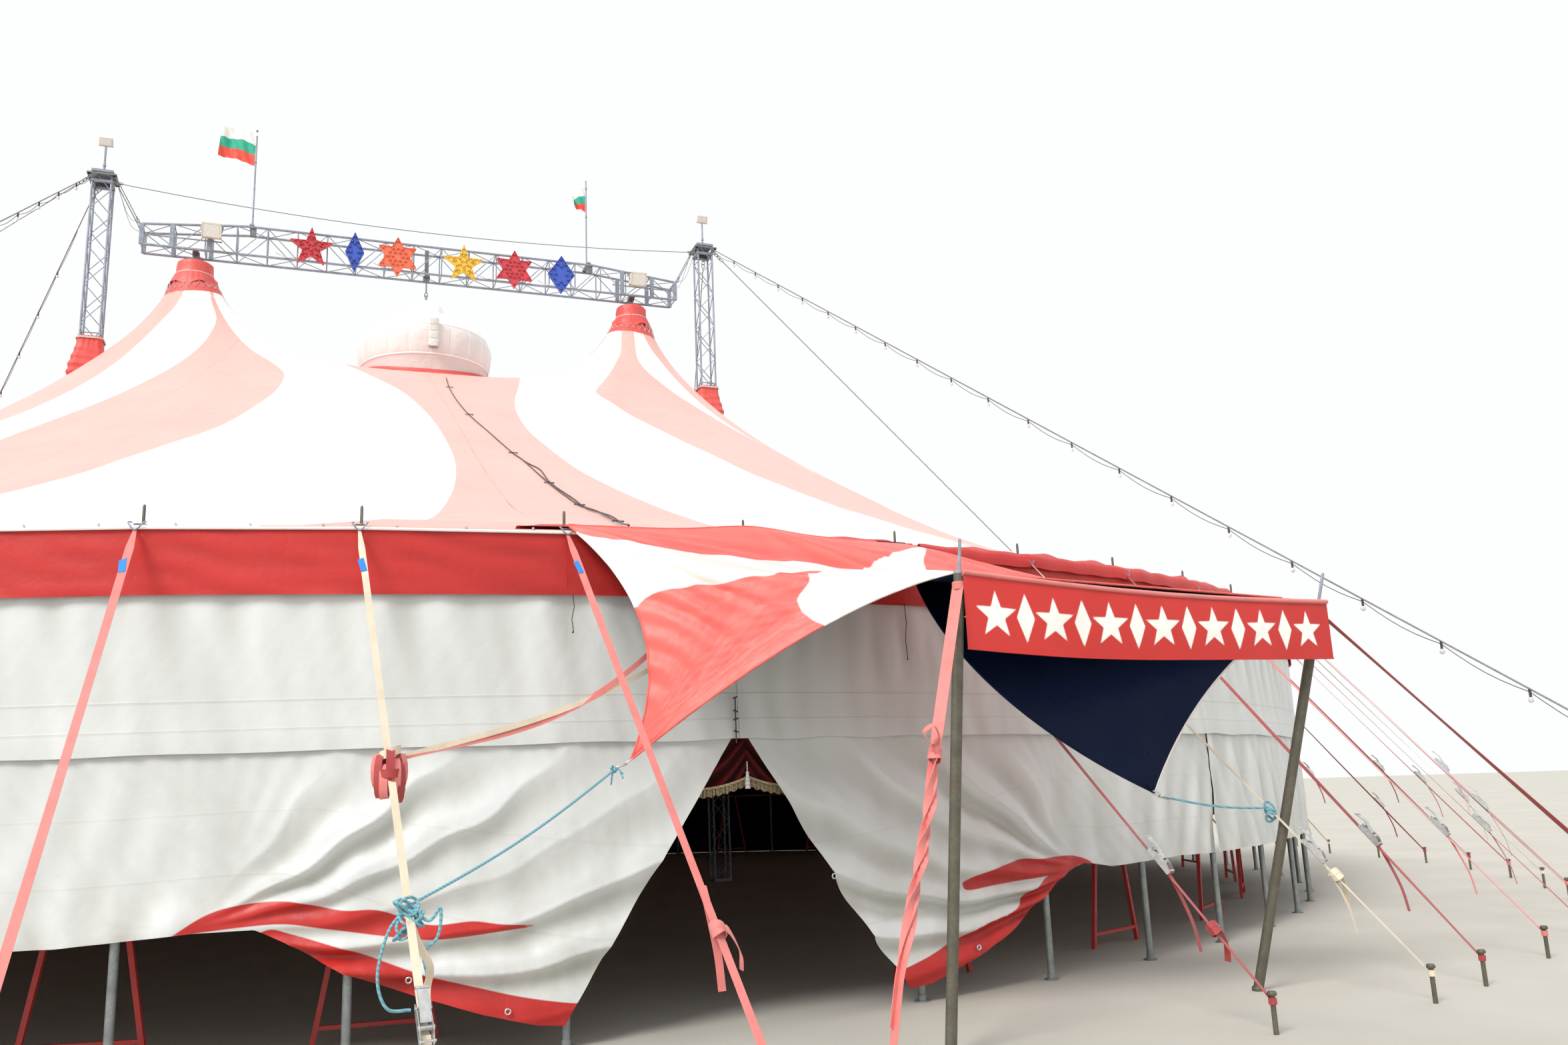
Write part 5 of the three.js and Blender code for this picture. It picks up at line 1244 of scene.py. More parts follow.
def add_knots(parts):
    """The knots, loops and ties on the front guys."""
    # A bundled loop of pink webbing and a cream turn round the cream guy.
    place = on_strap(-1, BUNDLE)[0]
    for turn in range(7):
        angle = math.radians(-54 + 18 * turn)
        away = np.array([math.sin(angle), -math.cos(angle), 0])
        side = np.array([math.cos(angle), math.sin(angle), 0])
        centre = place + away * 0.05 + side * 0.012 * (turn - 3) - [0, 0, 0.055 + 0.03 * (turn % 3)]
        tall = 0.10 + 0.025 * (turn % 2)
        turns = np.linspace(0, 2 * math.pi, 15)[:, None]
        loop = centre + away * 0.034 * np.cos(turns) + UP * tall * np.sin(turns)
        parts.strap(loop, 0.048, 0.004, side + [0, 0, 0.12 * (turn % 3 - 1)], 1 if turn % 2 else 0)
    turns = np.linspace(0, 2 * math.pi, 19)
    wrap = np.stack([0.062 * np.cos(turns), 0.062 * np.sin(turns) - 0.03, 0.012 * np.sin(turns) - 0.06],
                    axis=1)
    parts.strap(place + wrap, 0.046, 0.005, [0, 0, 1], 1)
    turned = np.stack([0.058 * np.cos(turns), 0.05 * np.sin(turns) - 0.012, 0.02 * np.cos(turns) + 0.05],
                      axis=1)
    parts.strap(place + turned, 0.050, 0.005, [0.1, 0, 1], 2)
    # The slack of the cream guy, from the blue knot to its ratchet.
    place, low = on_strap(-1, 0.74)[0], on_strap(-1, 0.865)[0]
    bends = ((0, 0, 0), (0.035, -0.03, -0.11), (0.10, -0.04, -0.24), (0.085, -0.03, -0.36))
    slack = smooth_line([place + bend for bend in bends] + [low + [0.02, -0.02, 0.02], low], 5)
    parts.strap(slack, 0.042, 0.004, [1, 0.4, 0.1], 2)
    # Knots with short tails.
    for index, share, kind in ((0, 0.785, 0), (3, 0.80, 2), (2, 0.87, 1)):
        place, along = on_strap(index, share)
        across = unit(np.cross(along, [0, 0, 1]))
        up = np.cross(across, along)
        for lean in (-0.6, 0.6):
            wrap = [place + 0.038 * (math.cos(a) * across + math.sin(a) * up)
                    + along * lean * 0.04 * math.sin(a + 1)
                    for a in np.linspace(0, 2 * math.pi, 13)]
            parts.strap(wrap, 0.045, 0.008, along, kind)
        bends = ((0, (0, 0, 0)), (-0.05, (0, -0.03, 0)), (-0.12, (0, -0.04, -0.12)),
                 (-0.13, (0, -0.03, -0.22)))
        tail = smooth_line([place + across * run + shift for run, shift in bends], 4)
        parts.strap(tail, 0.044, 0.004, along, kind)


# Masts, collars and their cables


MASTS = (("left", -MAST_X), ("right", MAST_X))
MAST_SIDE = 0.151
MAST_BAYS = 36
MAST_JOINTS = (0.19, 0.38, 0.57, 0.76)


def level_axes(along):
    """The axes of a level bar that runs along."""
    return [along, np.cross([0, 0, 1], along), [0, 0, 1]]


def lattice(parts, corners_low, corners_high, bays, chord, brace, kind=0, doubles=()):
    """Four chords with one diagonal in each bay of each face, leaning alternately. doubles are the
    shares of the height at which two lengths are joined."""
    low, high = np.asarray(corners_low, float), np.asarray(corners_high, float)
    for a, b in zip(low, high):
        parts.tube([a, b], chord, 8, kind)
    for bay in range(bays):
        start, end = bay / bays, (bay + 1) / bays
        for i in range(4):
            j = (i + 1) % 4
            if (bay + i) % 2:
                i, j = j, i
            parts.tube([low[i] + (high[i] - low[i]) * start, low[j] + (high[j] - low[j]) * end], brace, 6,
                       kind)
    for share in doubles:
        for i in range(4):
            j = (i + 1) % 4
            for gap in (-0.004, 0.004):
                at = share + gap
                parts.tube([low[i] + (high[i] - low[i]) * at, low[j] + (high[j] - low[j]) * at],
                           brace * 1.15, 6, kind)


def add_masts():
    """The lattice masts, each with its head frame and a flood light on a post."""
    for side, x in MASTS:
        parts = Parts()
        half = MAST_SIDE
        corners = np.array([(x - half, -half), (x + half, -half), (x + half, half), (x - half, half)])
        low = np.column_stack([corners, np.full(4, 0.02)])
        high = np.column_stack([corners, np.full(4, MAST_TOP - 0.02)])
        lattice(parts, low, high, MAST_BAYS, 0.019, 0.0085, 0, MAST_JOINTS)
        parts.block((x, 0, 0.03), (0.35, 0.35, 0.06))
        for z in (12.69, 12.885):
            for k in range(4):
                a, b = corners[k], corners[(k + 1) % 4]
                middle = np.array([*(a + b) / 2, z])
                along = unit(np.array([*(b - a), 0]))
                parts.block(middle, (0.345, 0.05, 0.045), level_axes(along))
        parts.block((x, 0.13, 12.79), (0.26, 0.012, 0.17), kind=3)
        parts.block((x, 0, 12.872), (0.30, 0.30, 0.02))
        post = MAST_TOP + 0.52
        parts.tube([(x, 0, MAST_TOP - 0.02), (x, 0, post + 0.03)], 0.018, 10, 0)
        parts.tube([(x, 0, MAST_TOP + 0.14), (x, 0, MAST_TOP + 0.19)], 0.026, 10, 0)
        tilt = [[1, 0, 0], [0, 0.94, 0.34], [0, -0.34, 0.94]]
        parts.block((x, -0.012, post + 0.09), (0.22, 0.07, 0.15), tilt, 1)
        parts.block((x, -0.050, post + 0.078), (0.185, 0.012, 0.118), tilt, 2)
        for k in range(6):
            parts.block((x - 0.085 + 0.034 * k, 0.036, post + 0.1), (0.008, 0.03, 0.12), tilt, 1)
        parts.tube([(x - 0.12, 0, post + 0.02), (x + 0.12, 0, post + 0.02)], 0.008, 8, 0)
        add_piece(f"lattice_mast_{side}", parts, [truss_steel, cream_paint, bulb_glass, dark_paint],
                  [f"mast_{side}"])


def add_collars():
    """The canvas sleeves around the masts: tied in at the top, slumped in folds below."""
    for side, x in MASTS:
        parts = Parts()
        rows, sides = 60, 72
        t = np.linspace(0, 1, rows)[:, None]
        turn = np.linspace(0, 2 * math.pi, sides + 1)[:-1]
        z = 8.98 + 0.80 * t + 0 * turn
        square = np.minimum(1 / np.maximum(np.abs(np.cos(turn)), np.abs(np.sin(turn))), 1.24)
        half = 0.300 - 0.105 * step_up(t, 0.15, 0.94)
        slump = 0.014 * np.sin(2 * math.pi * (5.2 * t + 0.5 * np.sin(turn + x)))
        slump = slump * (1 - t) * step_down(t, 0.75, 0.9)
        pleat = 0.006 * np.sin(18 * turn) * step_up(t, 0.6, 0.95)
        half = half * (1 + 0.03 * waves(turn, 3 * t, 61, 5, 1.4)) + slump + pleat
        r = half * square
        points = np.stack([x + r * np.cos(turn), r * np.sin(turn), z], axis=-1)
        parts.add(points, grid_faces(rows, sides, closed=True))
        for height in (9.735, 9.752):
            ring = []
            for a in np.linspace(0, 2 * math.pi, 33):
                corner = min(1 / max(abs(math.cos(a)), abs(math.sin(a))), 1.22)
                ring.append((x + 0.212 * math.cos(a) * corner, 0.212 * math.sin(a) * corner, height))
            parts.tube(ring, 0.008, 6, 1)
        piece = add_piece(f"mast_sleeve_{side}", parts, [cap_cloth, white_cord],
                          [f"mast_collar_{side}"], {"along": parts.lay()}, crease=80)


GUY_ANCHORS = {
    "left": ((-8.15, -17.78), (-18.35, -1.25), (-13.37, 13.16)),
    "right": ((9.5, -17.78), (18.35, -1.25), (9.5, 17.78)),
}
HEAD_Z = MAST_TOP - 0.1


def truss_top(x):
    """The height of the truss, which slopes down towards its ends."""
    beyond = np.maximum(0, np.abs(x) - 3.2) / (TRUSS_HALF - 3.2)
    return TRUSS_BOTTOM + 0.6 - 0.17 * beyond


def add_shackle(parts, place, along, size=0.03, kind=0):
    """A link that is longer along the line it joins."""
    along = unit(along)
    across = unit(np.cross(along, [0.1, 0.2, 1]))
    turn = np.linspace(0, 2 * math.pi, 15)
    ring = place + size * (1.5 * np.cos(turn)[:, None] * along + np.sin(turn)[:, None] * across)
    parts.tube(ring, size * 0.22, 6, kind)


def add_cables():
    """The masts' wire guys with shackles and turnbuckles, the slings to the truss, the top cable."""
    for side, x in MASTS:
        parts = Parts()
        reach, plate = 0.205, 0.235
        outline = [(-plate, -plate), (plate, -plate), (plate, plate), (-plate, plate)]
        for a, b in zip(outline, outline[1:] + outline[:1]):
            a, b = np.array(a), np.array(b)
            middle = (a + b) / 2 * 0.872
            along = unit(np.array([*(b - a), 0]))
            parts.block((x + middle[0], middle[1], HEAD_Z), (0.47, 0.06, 0.03), level_axes(along))
        for ax, ay in GUY_ANCHORS[side]:
            if abs(ax) > 2 * abs(ay):
                start = np.array([x + math.copysign(reach, ax), math.copysign(0.04, ay), HEAD_Z])
            else:
                start = np.array([x + math.copysign(0.09, ax), math.copysign(reach, ay), HEAD_Z])
            end = np.array([ax, ay, 0.2])
            along = unit(end - start)
            for k in range(4):
                add_shackle(parts, start + along * (0.03 + 0.075 * k), along + [0.2 * (k % 2), 0, 0],
                            0.032)
            t = np.linspace(0, 1, 30)[:, None]
            path = start + along * 0.3 + (end - start - along * 0.3) * t
            parts.tube(path, 0.009, 8, 0)
            turnbuckle = end - along * 0.75
            parts.tube([turnbuckle, turnbuckle + along * 0.28], 0.02, 8, 1)
            add_stake(parts, (ax, ay, 0), 1)
            if ay < -10:
                add_festoon(parts, start + along * 0.2, end - along * (0.8 if side == "right" else 9.0))
            elif side == "left" and ay > 10:
                add_festoon(parts, start + along, end - along * 0.8)
        inward = -math.copysign(1, x)
        end_x = -inward * TRUSS_HALF
        for y in (-0.205, 0.205):
            start = np.array([x + inward * reach, y, HEAD_Z])
            end = np.array([end_x - inward * 0.018, y, truss_top(end_x) - 0.022])
            along = unit(end - start)
            parts.tube([start, end - along * 0.12], 0.008, 8, 0)
            for k in range(3):
                add_shackle(parts, end - along * (0.11 - 0.05 * k), along + [0, 0.3 * (k % 2), 0], 0.025)
            slack = [start, (start + end) / 2 + [inward * 0.02, 0, -0.28], end]
            parts.tube(smooth_line(slack, 8), 0.004, 5, 0)
        if side == "left":
            end = MAST_X - reach
            u = np.linspace(-1, 1, 34)
            path = np.stack([u * end, np.full(34, 0.11), HEAD_Z - 0.26 * (1 - u**2)], axis=1)
            parts.tube(path, 0.007, 6, 0)
            for place in (path[0] + [0.05, 0, 0], path[-1] - [0.05, 0, 0]):
                add_shackle(parts, place, [1, 0, 0], 0.03)
        add_piece(f"mast_rigging_{side}", parts, [cable_steel, galvanised, bulb_glass, dark_paint],
                  [f"mast_cables_{side}"], {"along": parts.lay()})


def add_festoon(parts, start, end):
    """A lamp string that hangs under a guy, tied to it at every lamp."""
    length = np.linalg.norm(end - start)
    count = int(length / 0.92)
    t = np.linspace(0, 1, count * 6 + 1)
    path = start + np.outer(t, end - start)
    path[:, 2] -= 0.03 + 0.05 * np.abs(np.sin(math.pi * count * t))
    parts.tube(path, 0.0045, 5, 3)
    for k in range(1, count):
        place = path[6 * k]
        parts.tube([place + [0, 0, 0.03], place - [0, 0, 0.05]], 0.013, 6, 3)
        parts.ball(place - [0, 0, 0.075], 0.026, 2, 8, 5, 1.15)


# Peak caps and skylight


def add_caps():
    """The red caps over the lifting rings, with their skirts, lips, lacing and hangers."""
    for side, x in (("left", -PEAK_X), ("right", PEAK_X)):
        parts = Parts()
        drum = [(0.318, 11.10), (0.312, 11.13), (0.308, 11.17), (0.305, 11.22), (0.302, 11.28),
                (0.296, 11.325), (0.276, 11.346), (0.2, 11.356), (0.05, 11.36), (0.012, 11.362)]

        def pucker(turn, r, h):
            wide = step_up(h, 11.06, 11.12) * step_down(h, 11.33, 11.345)
            fold = 0.012 * waves(turn, h * 7, 71, 6, 0.9, tilt=1.2) * wide
            return r + fold, h + 0.012 * waves(turn, h, 72, 3, 2.5)

        parts.turned(drum, (x, 0, 0), 96, 0, pucker)
        skirt = [(0.428, 10.862), (0.412, 10.90), (0.388, 10.96), (0.362, 11.02), (0.336, 11.075),
                 (0.315, 11.12)]

        def pleats(turn, r, h):
            low = step_down(h, 10.9, 11.08)
            edge = 0.042 * waves(turn, 0 * turn, 73, 4, 1.1) * step_down(h, 10.87, 11.0)
            pleated = r * (1 + 0.012 * np.sin(26 * turn) * (1 - 0.5 * low))
            return pleated + 0.006 * waves(turn, h, 74, 4, 0.7) * low, h + edge

        parts.turned(skirt, (x, 0, 0), 120, 0, pleats)
        sleeve = [(0.345, 10.70), (0.350, 10.86), (0.345, 10.98), (0.32, 11.05)]
        parts.turned(sleeve, (x, 0, 0), 48, 2)
        lip = [(0.505, 0.0), (0.48, 0.004), (0.45, 0.006), (0.42, 0.010), (0.392, 0.022), (0.388, 0.055)]

        def on_roof(turn, r, h):
            px, py = x + r * np.cos(turn), r * np.sin(turn)
            return r, canvas_top(px, py) + h

        parts.turned(lip, (x, 0, 0), 96, 0, on_roof)
        parts.hoop((x, 0, 11.105), 0.322, 0.008, kind=1)
        lacing = []
        for k in range(49):
            angle = k / 48 * 2 * math.pi
            low = k % 2 == 1
            r = 0.462 if low else 0.428
            px, py = x + r * math.cos(angle), r * math.sin(angle)
            z = canvas_top(px, py) + 0.012 if low else 10.885
            lacing.append((px, py, z))
            if low:
                parts.ball((px, py, z), 0.013, 3, 6, 3, 0.7)
        parts.tube(lacing, 0.0055, 5, 1)
        parts.tube([(x, 0, 11.34), (x, 0, 11.44)], 0.016, 10, 3)
        for z, size in ((11.46, 0.032), (11.50, 0.026)):
            add_shackle(parts, np.array([x, 0, z]), [0, 0, 1], size, 3)
        add_flank_lacing(parts, x)
        add_piece(f"peak_hood_{side}", parts, [cap_cloth, white_cord, dark_paint, truss_steel],
                  [f"peak_cap_{side}"], {"along": parts.lay()}, crease=60)


def add_flank_lacing(parts, x):
    """The laced joints of the canvas that run down the ridge on both sides of a peak."""
    for way in (-1, 1):
        for k in range(13 if way == -math.copysign(1, x) else 8):
            px = x + way * (0.50 + 0.085 * k)
            for lean in (-1, 1):
                ends = []
                for y in (-0.045 * lean, 0.045 * lean):
                    qx = px + 0.03 * (1 if y * lean > 0 else -1)
                    ends.append((qx, y, float(canvas_top(qx, y)) + 0.010))
                parts.tube(ends, 0.006, 5, 1)
        run = np.linspace(0.48, 1.55, 16)
        strip = np.stack([x + way * run, 0 * run, canvas_top(x + way * run, 0 * run) + 0.003], axis=1)
        parts.strap(strip, 0.05, 0.004, [0, 1, 0], 2)


def add_skylight():
    """The panelled band in the middle of the ridge, with its vent, and the gored dome on it."""
    parts = Parts()
    outline = [(1.118, 9.06), (1.119, 9.55), (1.17, 9.625), (1.19, 9.70), (1.205, 9.80), (1.215, 9.90),
               (1.22, 9.98), (1.215, 10.05), (1.20, 10.11), (1.178, 10.16), (1.150, 10.205),
               (1.128, 10.20), (1.155, 10.15), (1.185, 10.07), (1.20, 9.98), (1.19, 9.86), (1.17, 9.72),
               (1.13, 9.62), (1.09, 9.60), (1.088, 9.07)]

    def panels(turn, r, h):
        rib = np.abs(np.sin(10 * turn)) ** 0.5
        bulge = step_up(h, 9.62, 9.8) * step_down(h, 10.1, 10.2)
        return r + (0.028 * rib - 0.02 + 0.008 * waves(turn * 2, h * 3, 81, 6, 0.6, tilt=1)) * bulge, h

    parts.turned(outline, (0, 0, 0), 240, 0, panels)
    for k in range(20):
        angle = math.pi * k / 10
        rib = [((r + 0.003) * math.cos(angle), (r + 0.003) * math.sin(angle), z)
               for r, z in ((1.155, 9.63), (1.182, 9.78), (1.198, 9.97), (1.186, 10.10), (1.145, 10.205))]
        parts.tube(smooth_line(rib, 4), 0.011, 6, 1)
    for r, z in ((1.165, 9.628), (1.152, 10.208)):
        parts.hoop((0, 0, z), r, 0.014, 120, 1)
    hem = [(1.30, 0.0), (1.24, 0.004), (1.18, 0.010), (1.14, 0.03), (1.132, 0.07)]

    def on_roof(turn, r, h):
        px, py = r * np.cos(turn), r * np.sin(turn)
        return r, canvas_top(px, py) + h + 0.012 * waves(turn * 3, 0 * turn, 82, 5, 0.8) * (r > 1.2)

    parts.turned(hem, (0, 0, 0), 160, 2, on_roof)
    parts.block((0.04, -1.225, 10.01), (0.17, 0.11, 0.52), kind=3)
    for z in (9.78, 9.93, 10.08, 10.2):
        parts.block((0.04, -1.284, z), (0.14, 0.012, 0.10), kind=4)
    parts.tube([(-0.04, -1.23, 9.72), (0.12, -1.23, 9.72)], 0.01, 8, 5)
    add_piece("skylight_skirt", parts, [skylight_cloth, dome_cloth, cap_cloth, white_paint, bulb_glass,
                                        truss_steel],
              ["skylight_band"], crease=60)
    dome = Parts()
    outline = [(1.138, 10.208), (1.150, 10.215), (1.13, 10.27), (1.082, 10.34), (1.0, 10.42),
               (0.9, 10.495), (0.77, 10.56), (0.64, 10.615), (0.48, 10.665), (0.36, 10.71),
               (0.332, 10.78), (0.322, 10.86), (0.30, 10.93), (0.25, 10.99), (0.18, 11.03), (0.1, 11.06),
               (0.02, 11.07)]

    def gores(turn, r, h):
        rib = np.abs(np.sin(8 * turn)) ** 0.6
        wide = step_up(r, 0.36, 0.6) * step_down(r, 1.12, 1.145)
        return r, h + (0.018 * rib - 0.010 + 0.006 * waves(turn * 3, r * 3, 83, 5, 0.7)) * wide

    dome.turned(outline, (0, 0, 0), 192, 0, gores)
    dome.hoop((0, 0, 10.735), 0.338, 0.009)
    dome.tube([(0, 0, 11.05), (0, 0, 11.2)], 0.016, 10, 1)
    dome.turned([(0.03, 11.06), (0.03, 11.10), (0.018, 11.12)], (0, 0, 0), 12, 1)
    add_shackle(dome, np.array([0, 0, 11.20]), [0, 0, 1], 0.035, 1)
    dome.tube([(0, 0, 11.24), (0, 0, 11.53)], 0.014, 10, 1)
    add_piece("skylight_cover", dome, [dome_cloth, truss_steel], ["skylight_dome"],
              crease=60)


# Ridge truss, marquee shapes, flags and lights


TRUSS_TUBE = 0.0225
TRUSS_SIDE = 0.2075


def add_truss():
    """The ridge truss: chords, posts, diagonals, joint plates, hangers and loose leads."""
    parts = Parts()
    y = TRUSS_SIDE
    low_z = TRUSS_BOTTOM + TRUSS_TUBE
    end = TRUSS_HALF - TRUSS_TUBE
    for side in (-y, y):
        parts.tube([(-end, side, low_z), (end, side, low_z)], TRUSS_TUBE, 10)
        xs = np.array([-end, -3.2, 3.2, end])
        parts.tube(np.stack([xs, np.full(4, side), truss_top(xs) - TRUSS_TUBE], axis=1), TRUSS_TUBE, 10)
        for start, stop in ((-end, -3.6), (3.6, end)):
            parts.tube([(start, side, low_z + 0.19), (stop, side, low_z + 0.19)], 0.014, 8)
    places = np.linspace(-end, end, 20)
    for k, x in enumerate(places):
        high = float(truss_top(x)) - TRUSS_TUBE
        for side in (-y, y):
            parts.tube([(x, side, low_z), (x, side, high)], 0.011, 6)
            if k + 1 < len(places):
                nx = places[k + 1]
                nhigh = float(truss_top(nx)) - TRUSS_TUBE
                start_z, end_z = (low_z, nhigh) if k % 2 else (high, low_z)
                parts.tube([(x, side, start_z), (nx, side, end_z)], 0.0085, 6)
        for z in (low_z, high):
            parts.tube([(x, -y, z), (x, y, z)], 0.011, 6)
            if k + 1 < len(places):
                nz = low_z if z == low_z else float(truss_top(places[k + 1])) - TRUSS_TUBE
                s = -y if k % 2 else y
                parts.tube([(x, s, z), (places[k + 1], -s, nz)], 0.0075, 6)
    for x in (-end, -4.42, -3.80, 3.80, 4.42, end):
        high = float(truss_top(x)) - 0.02
        for side in (-y, y):
            parts.block((x, side, (low_z + high) / 2), (0.075, 0.05, high - low_z))
    parts.block((0, 0, (low_z + 12.11) / 2), (0.07, 0.07, 12.11 - low_z), kind=1)
    for x in (-PEAK_X, 0, PEAK_X):
        parts.block((x, 0, low_z), (0.09, 0.40, 0.04), kind=1)
        parts.block((x, 0, low_z - 0.01), (0.12, 0.12, 0.06), kind=1)
    for x, length in ((-2.7, 0.5), (-1.0, 0.7), (0.9, 0.6), (2.1, 0.5)):
        bends = ((0, 0.02, 0.1), (0.4, 0.03, 0.02), (1, 0.02, 0.09))
        cable = [(x + length * share, -y - out, low_z + up) for share, out, up in bends]
        parts.tube(smooth_line(cable, 5), 0.009, 6, 2)
    add_piece("ridge_lattice", parts, [truss_steel, cable_steel, white_cord],
              ["ridge_truss"], {"along": parts.lay()})


SHAPE_MIDDLE = 11.8
SHAPE_HALF = 0.39
SHAPE_FRONT = -0.3203


def star_outline(points, waist):
    turn = math.pi / 2 + np.arange(2 * points) * math.pi / points
    radius = np.where(np.arange(2 * points) % 2 == 0, SHAPE_HALF, waist)
    return np.stack([radius * np.cos(turn), radius * np.sin(turn)], axis=1)


def lozenge_outline(width):
    return np.array([(0, SHAPE_HALF), (-width / 2, 0), (0, -SHAPE_HALF), (width / 2, 0)])


MARQUEE = (
    ("marquee_star_1", -2.09, star_outline(5, 0.156), (0.62, 0.028, 0.045), "marquee_red"),
    ("marquee_lozenge_1", -1.33, lozenge_outline(0.33), (0.018, 0.075, 0.48), "marquee_blue"),
    ("marquee_star_2", -0.56, star_outline(6, 0.217), (0.86, 0.155, 0.062), "marquee_orange"),
    ("marquee_star_3", 0.66, star_outline(5, 0.156), (0.93, 0.56, 0.04), "marquee_yellow"),
    ("marquee_star_4", 1.63, star_outline(6, 0.217), (0.62, 0.028, 0.045), "marquee_red"),
    ("marquee_lozenge_2", 2.55, lozenge_outline(0.52), (0.018, 0.075, 0.48), "marquee_blue"),
)


def add_marquee():
    """Sheet metal shapes with a raised rim and rows of coloured bulbs."""
    for name, x, outline, colour, slot in MARQUEE:
        face = painted(name + "_face", tinted(colour, 1.15, 0.02), wear=0.15, roughness=0.35)
        bulb = bulb_plastic(name + "_bulb", tinted(colour, 0.8))
        parts = Parts()
        parts.plate(outline, (x, SHAPE_FRONT + 0.022, SHAPE_MIDDLE), (1, 0, 0), (0, 0, 1), 0.068, 0)
        closed = np.vstack([outline, outline[:1]])
        for a, b in zip(closed, closed[1:]):
            a3, b3 = (np.array([x + p[0], SHAPE_FRONT + 0.045, SHAPE_MIDDLE + p[1]]) for p in (a, b))
            inward = -unit(np.array([(a + b)[0], 0, (a + b)[1]]))
            parts.strap([a3 + inward * 0.004, b3 + inward * 0.004], 0.09, 0.008, [0, 1, 0], 0)
        sides = len(outline)
        socket = [(0.032 * math.cos(a), 0.032 * math.sin(a)) for a in np.arange(10) * math.pi / 5]
        for scale, pitch in ((0.80, 0.105), (0.42, 0.10)):
            ring = closed * scale
            length = np.linalg.norm(np.diff(ring, axis=0), axis=1).sum()
            count = max(sides, int(length / pitch) // sides * sides)
            for place in even_line(ring, count + 1)[:-1]:
                centre = np.array([x + place[0], SHAPE_FRONT + 0.018, SHAPE_MIDDLE + place[1]])
                parts.section([centre + [0, 0.008, 0], centre - [0, 0.006, 0]], socket, [1, 0, 0], 1)
                parts.ball(centre - [0, 0.010, 0], 0.025, 1, 10, 6)
        add_piece(name + "_sign", parts, [face, bulb], [name])


def flag_look():
    look = Look("flag_stripes", roughness=0.7, Sheen_Weight=0.3, Sheen_Roughness=0.4)
    share = look.value("stripe")
    green = look.span(share, 0.655, 0.665, 1.0, 0.0)
    red = look.span(share, 0.33, 0.34, 1.0, 0.0)
    base = look.mix(green, (0.88, 0.86, 0.83), (0.012, 0.42, 0.27))
    base = look.mix(red, base, (0.80, 0.075, 0.045))
    base = look.mix(look.patches(12, 4, 0.4, 0.8, 0.0, 0.2), base, (0.35, 0.3, 0.28))
    look.bump(look.noise(300, 2), 0.0006, 0.5)
    return look.done(base)


FLAG_BEAM = 0.0153
FLAGS = (("left", -3.12, 0.62, 13.43, 14.18, 0.80), ("right", 3.12, 0.29, 13.17, 13.90, 0.62))


def add_flags():
    """Two small striped flags on poles that stand on the truss."""
    stripes = flag_look()
    for side, x, width, low, high, cut in FLAGS:
        foot = float(truss_top(x)) + 0.0003
        parts = Parts()
        parts.tube([(x, 0, foot + 0.005), (x, 0, 14.045)], 0.015, 12)
        parts.ball((x, 0, 14.035), 0.015, 0, 10, 5)
        parts.block((x, 0, foot + FLAG_BEAM), (0.08, 0.46, 0.030))
        parts.block((x + 0.03, -0.16, foot - 0.10), (0.10, 0.08, 0.17), kind=1)
        for z in (low + 0.05, high - 0.05):
            parts.tube([(x, 0, z), (x, 0, z + 0.03)], 0.019, 10, 1)
        add_piece(f"flag_mast_{side}", parts, [truss_steel, cable_steel],
                  [f"flag_pole_{side}"])
        cloth = Parts()
        rows, columns = 26, 44
        u, v = shares(columns, rows)
        wave = 0.040 * u * np.sin(2 * math.pi * (1.6 * u + 0.25 * v) + 0.6)
        wave = wave + 0.012 * np.sin(2 * math.pi * (4 * u - v))
        if side == "left":
            sweep = 0.98 * width * (1 - (1 - u) ** 1.15)
            rise = 0.11 * np.sin(math.pi * u * 0.62) + 0.03 * np.sin(2 * math.pi * u) * v
            z = low + (high - low) * 0.83 * v + rise
            px = x - 0.018 - sweep + 0.05 * (v - 0.5) * u
        else:
            sweep = width * np.sin(u * math.pi * 0.5)
            rise = -0.42 * u**1.4 * (v - 0.35) + 0.05 * u
            z = low + (high - low) * (0.25 + 0.72 * v) + rise * (1.0 - 0.1 * v) - 0.16 * u**2
            px = x - 0.018 - sweep * (0.55 + 0.45 * v) + 0.03 * np.sin(5 * u + 3 * v) * u
        points = np.stack([px + 0 * z, wave + 0 * z, z + 0 * px], axis=-1)
        faces = grid_faces(rows, columns)
        cloth.add(points[:, ::-1], faces)
        stripe = (v + 0 * u)[:, ::-1]
        piece = add_piece(f"flag_cloth_{side}", cloth, [stripes], [f"flag_{side}"],
                          {"stripe": stripe}, crease=80)
        area = float(mesh_area(points.reshape(-1, 3), faces))


LIGHT_BACK = -0.2303


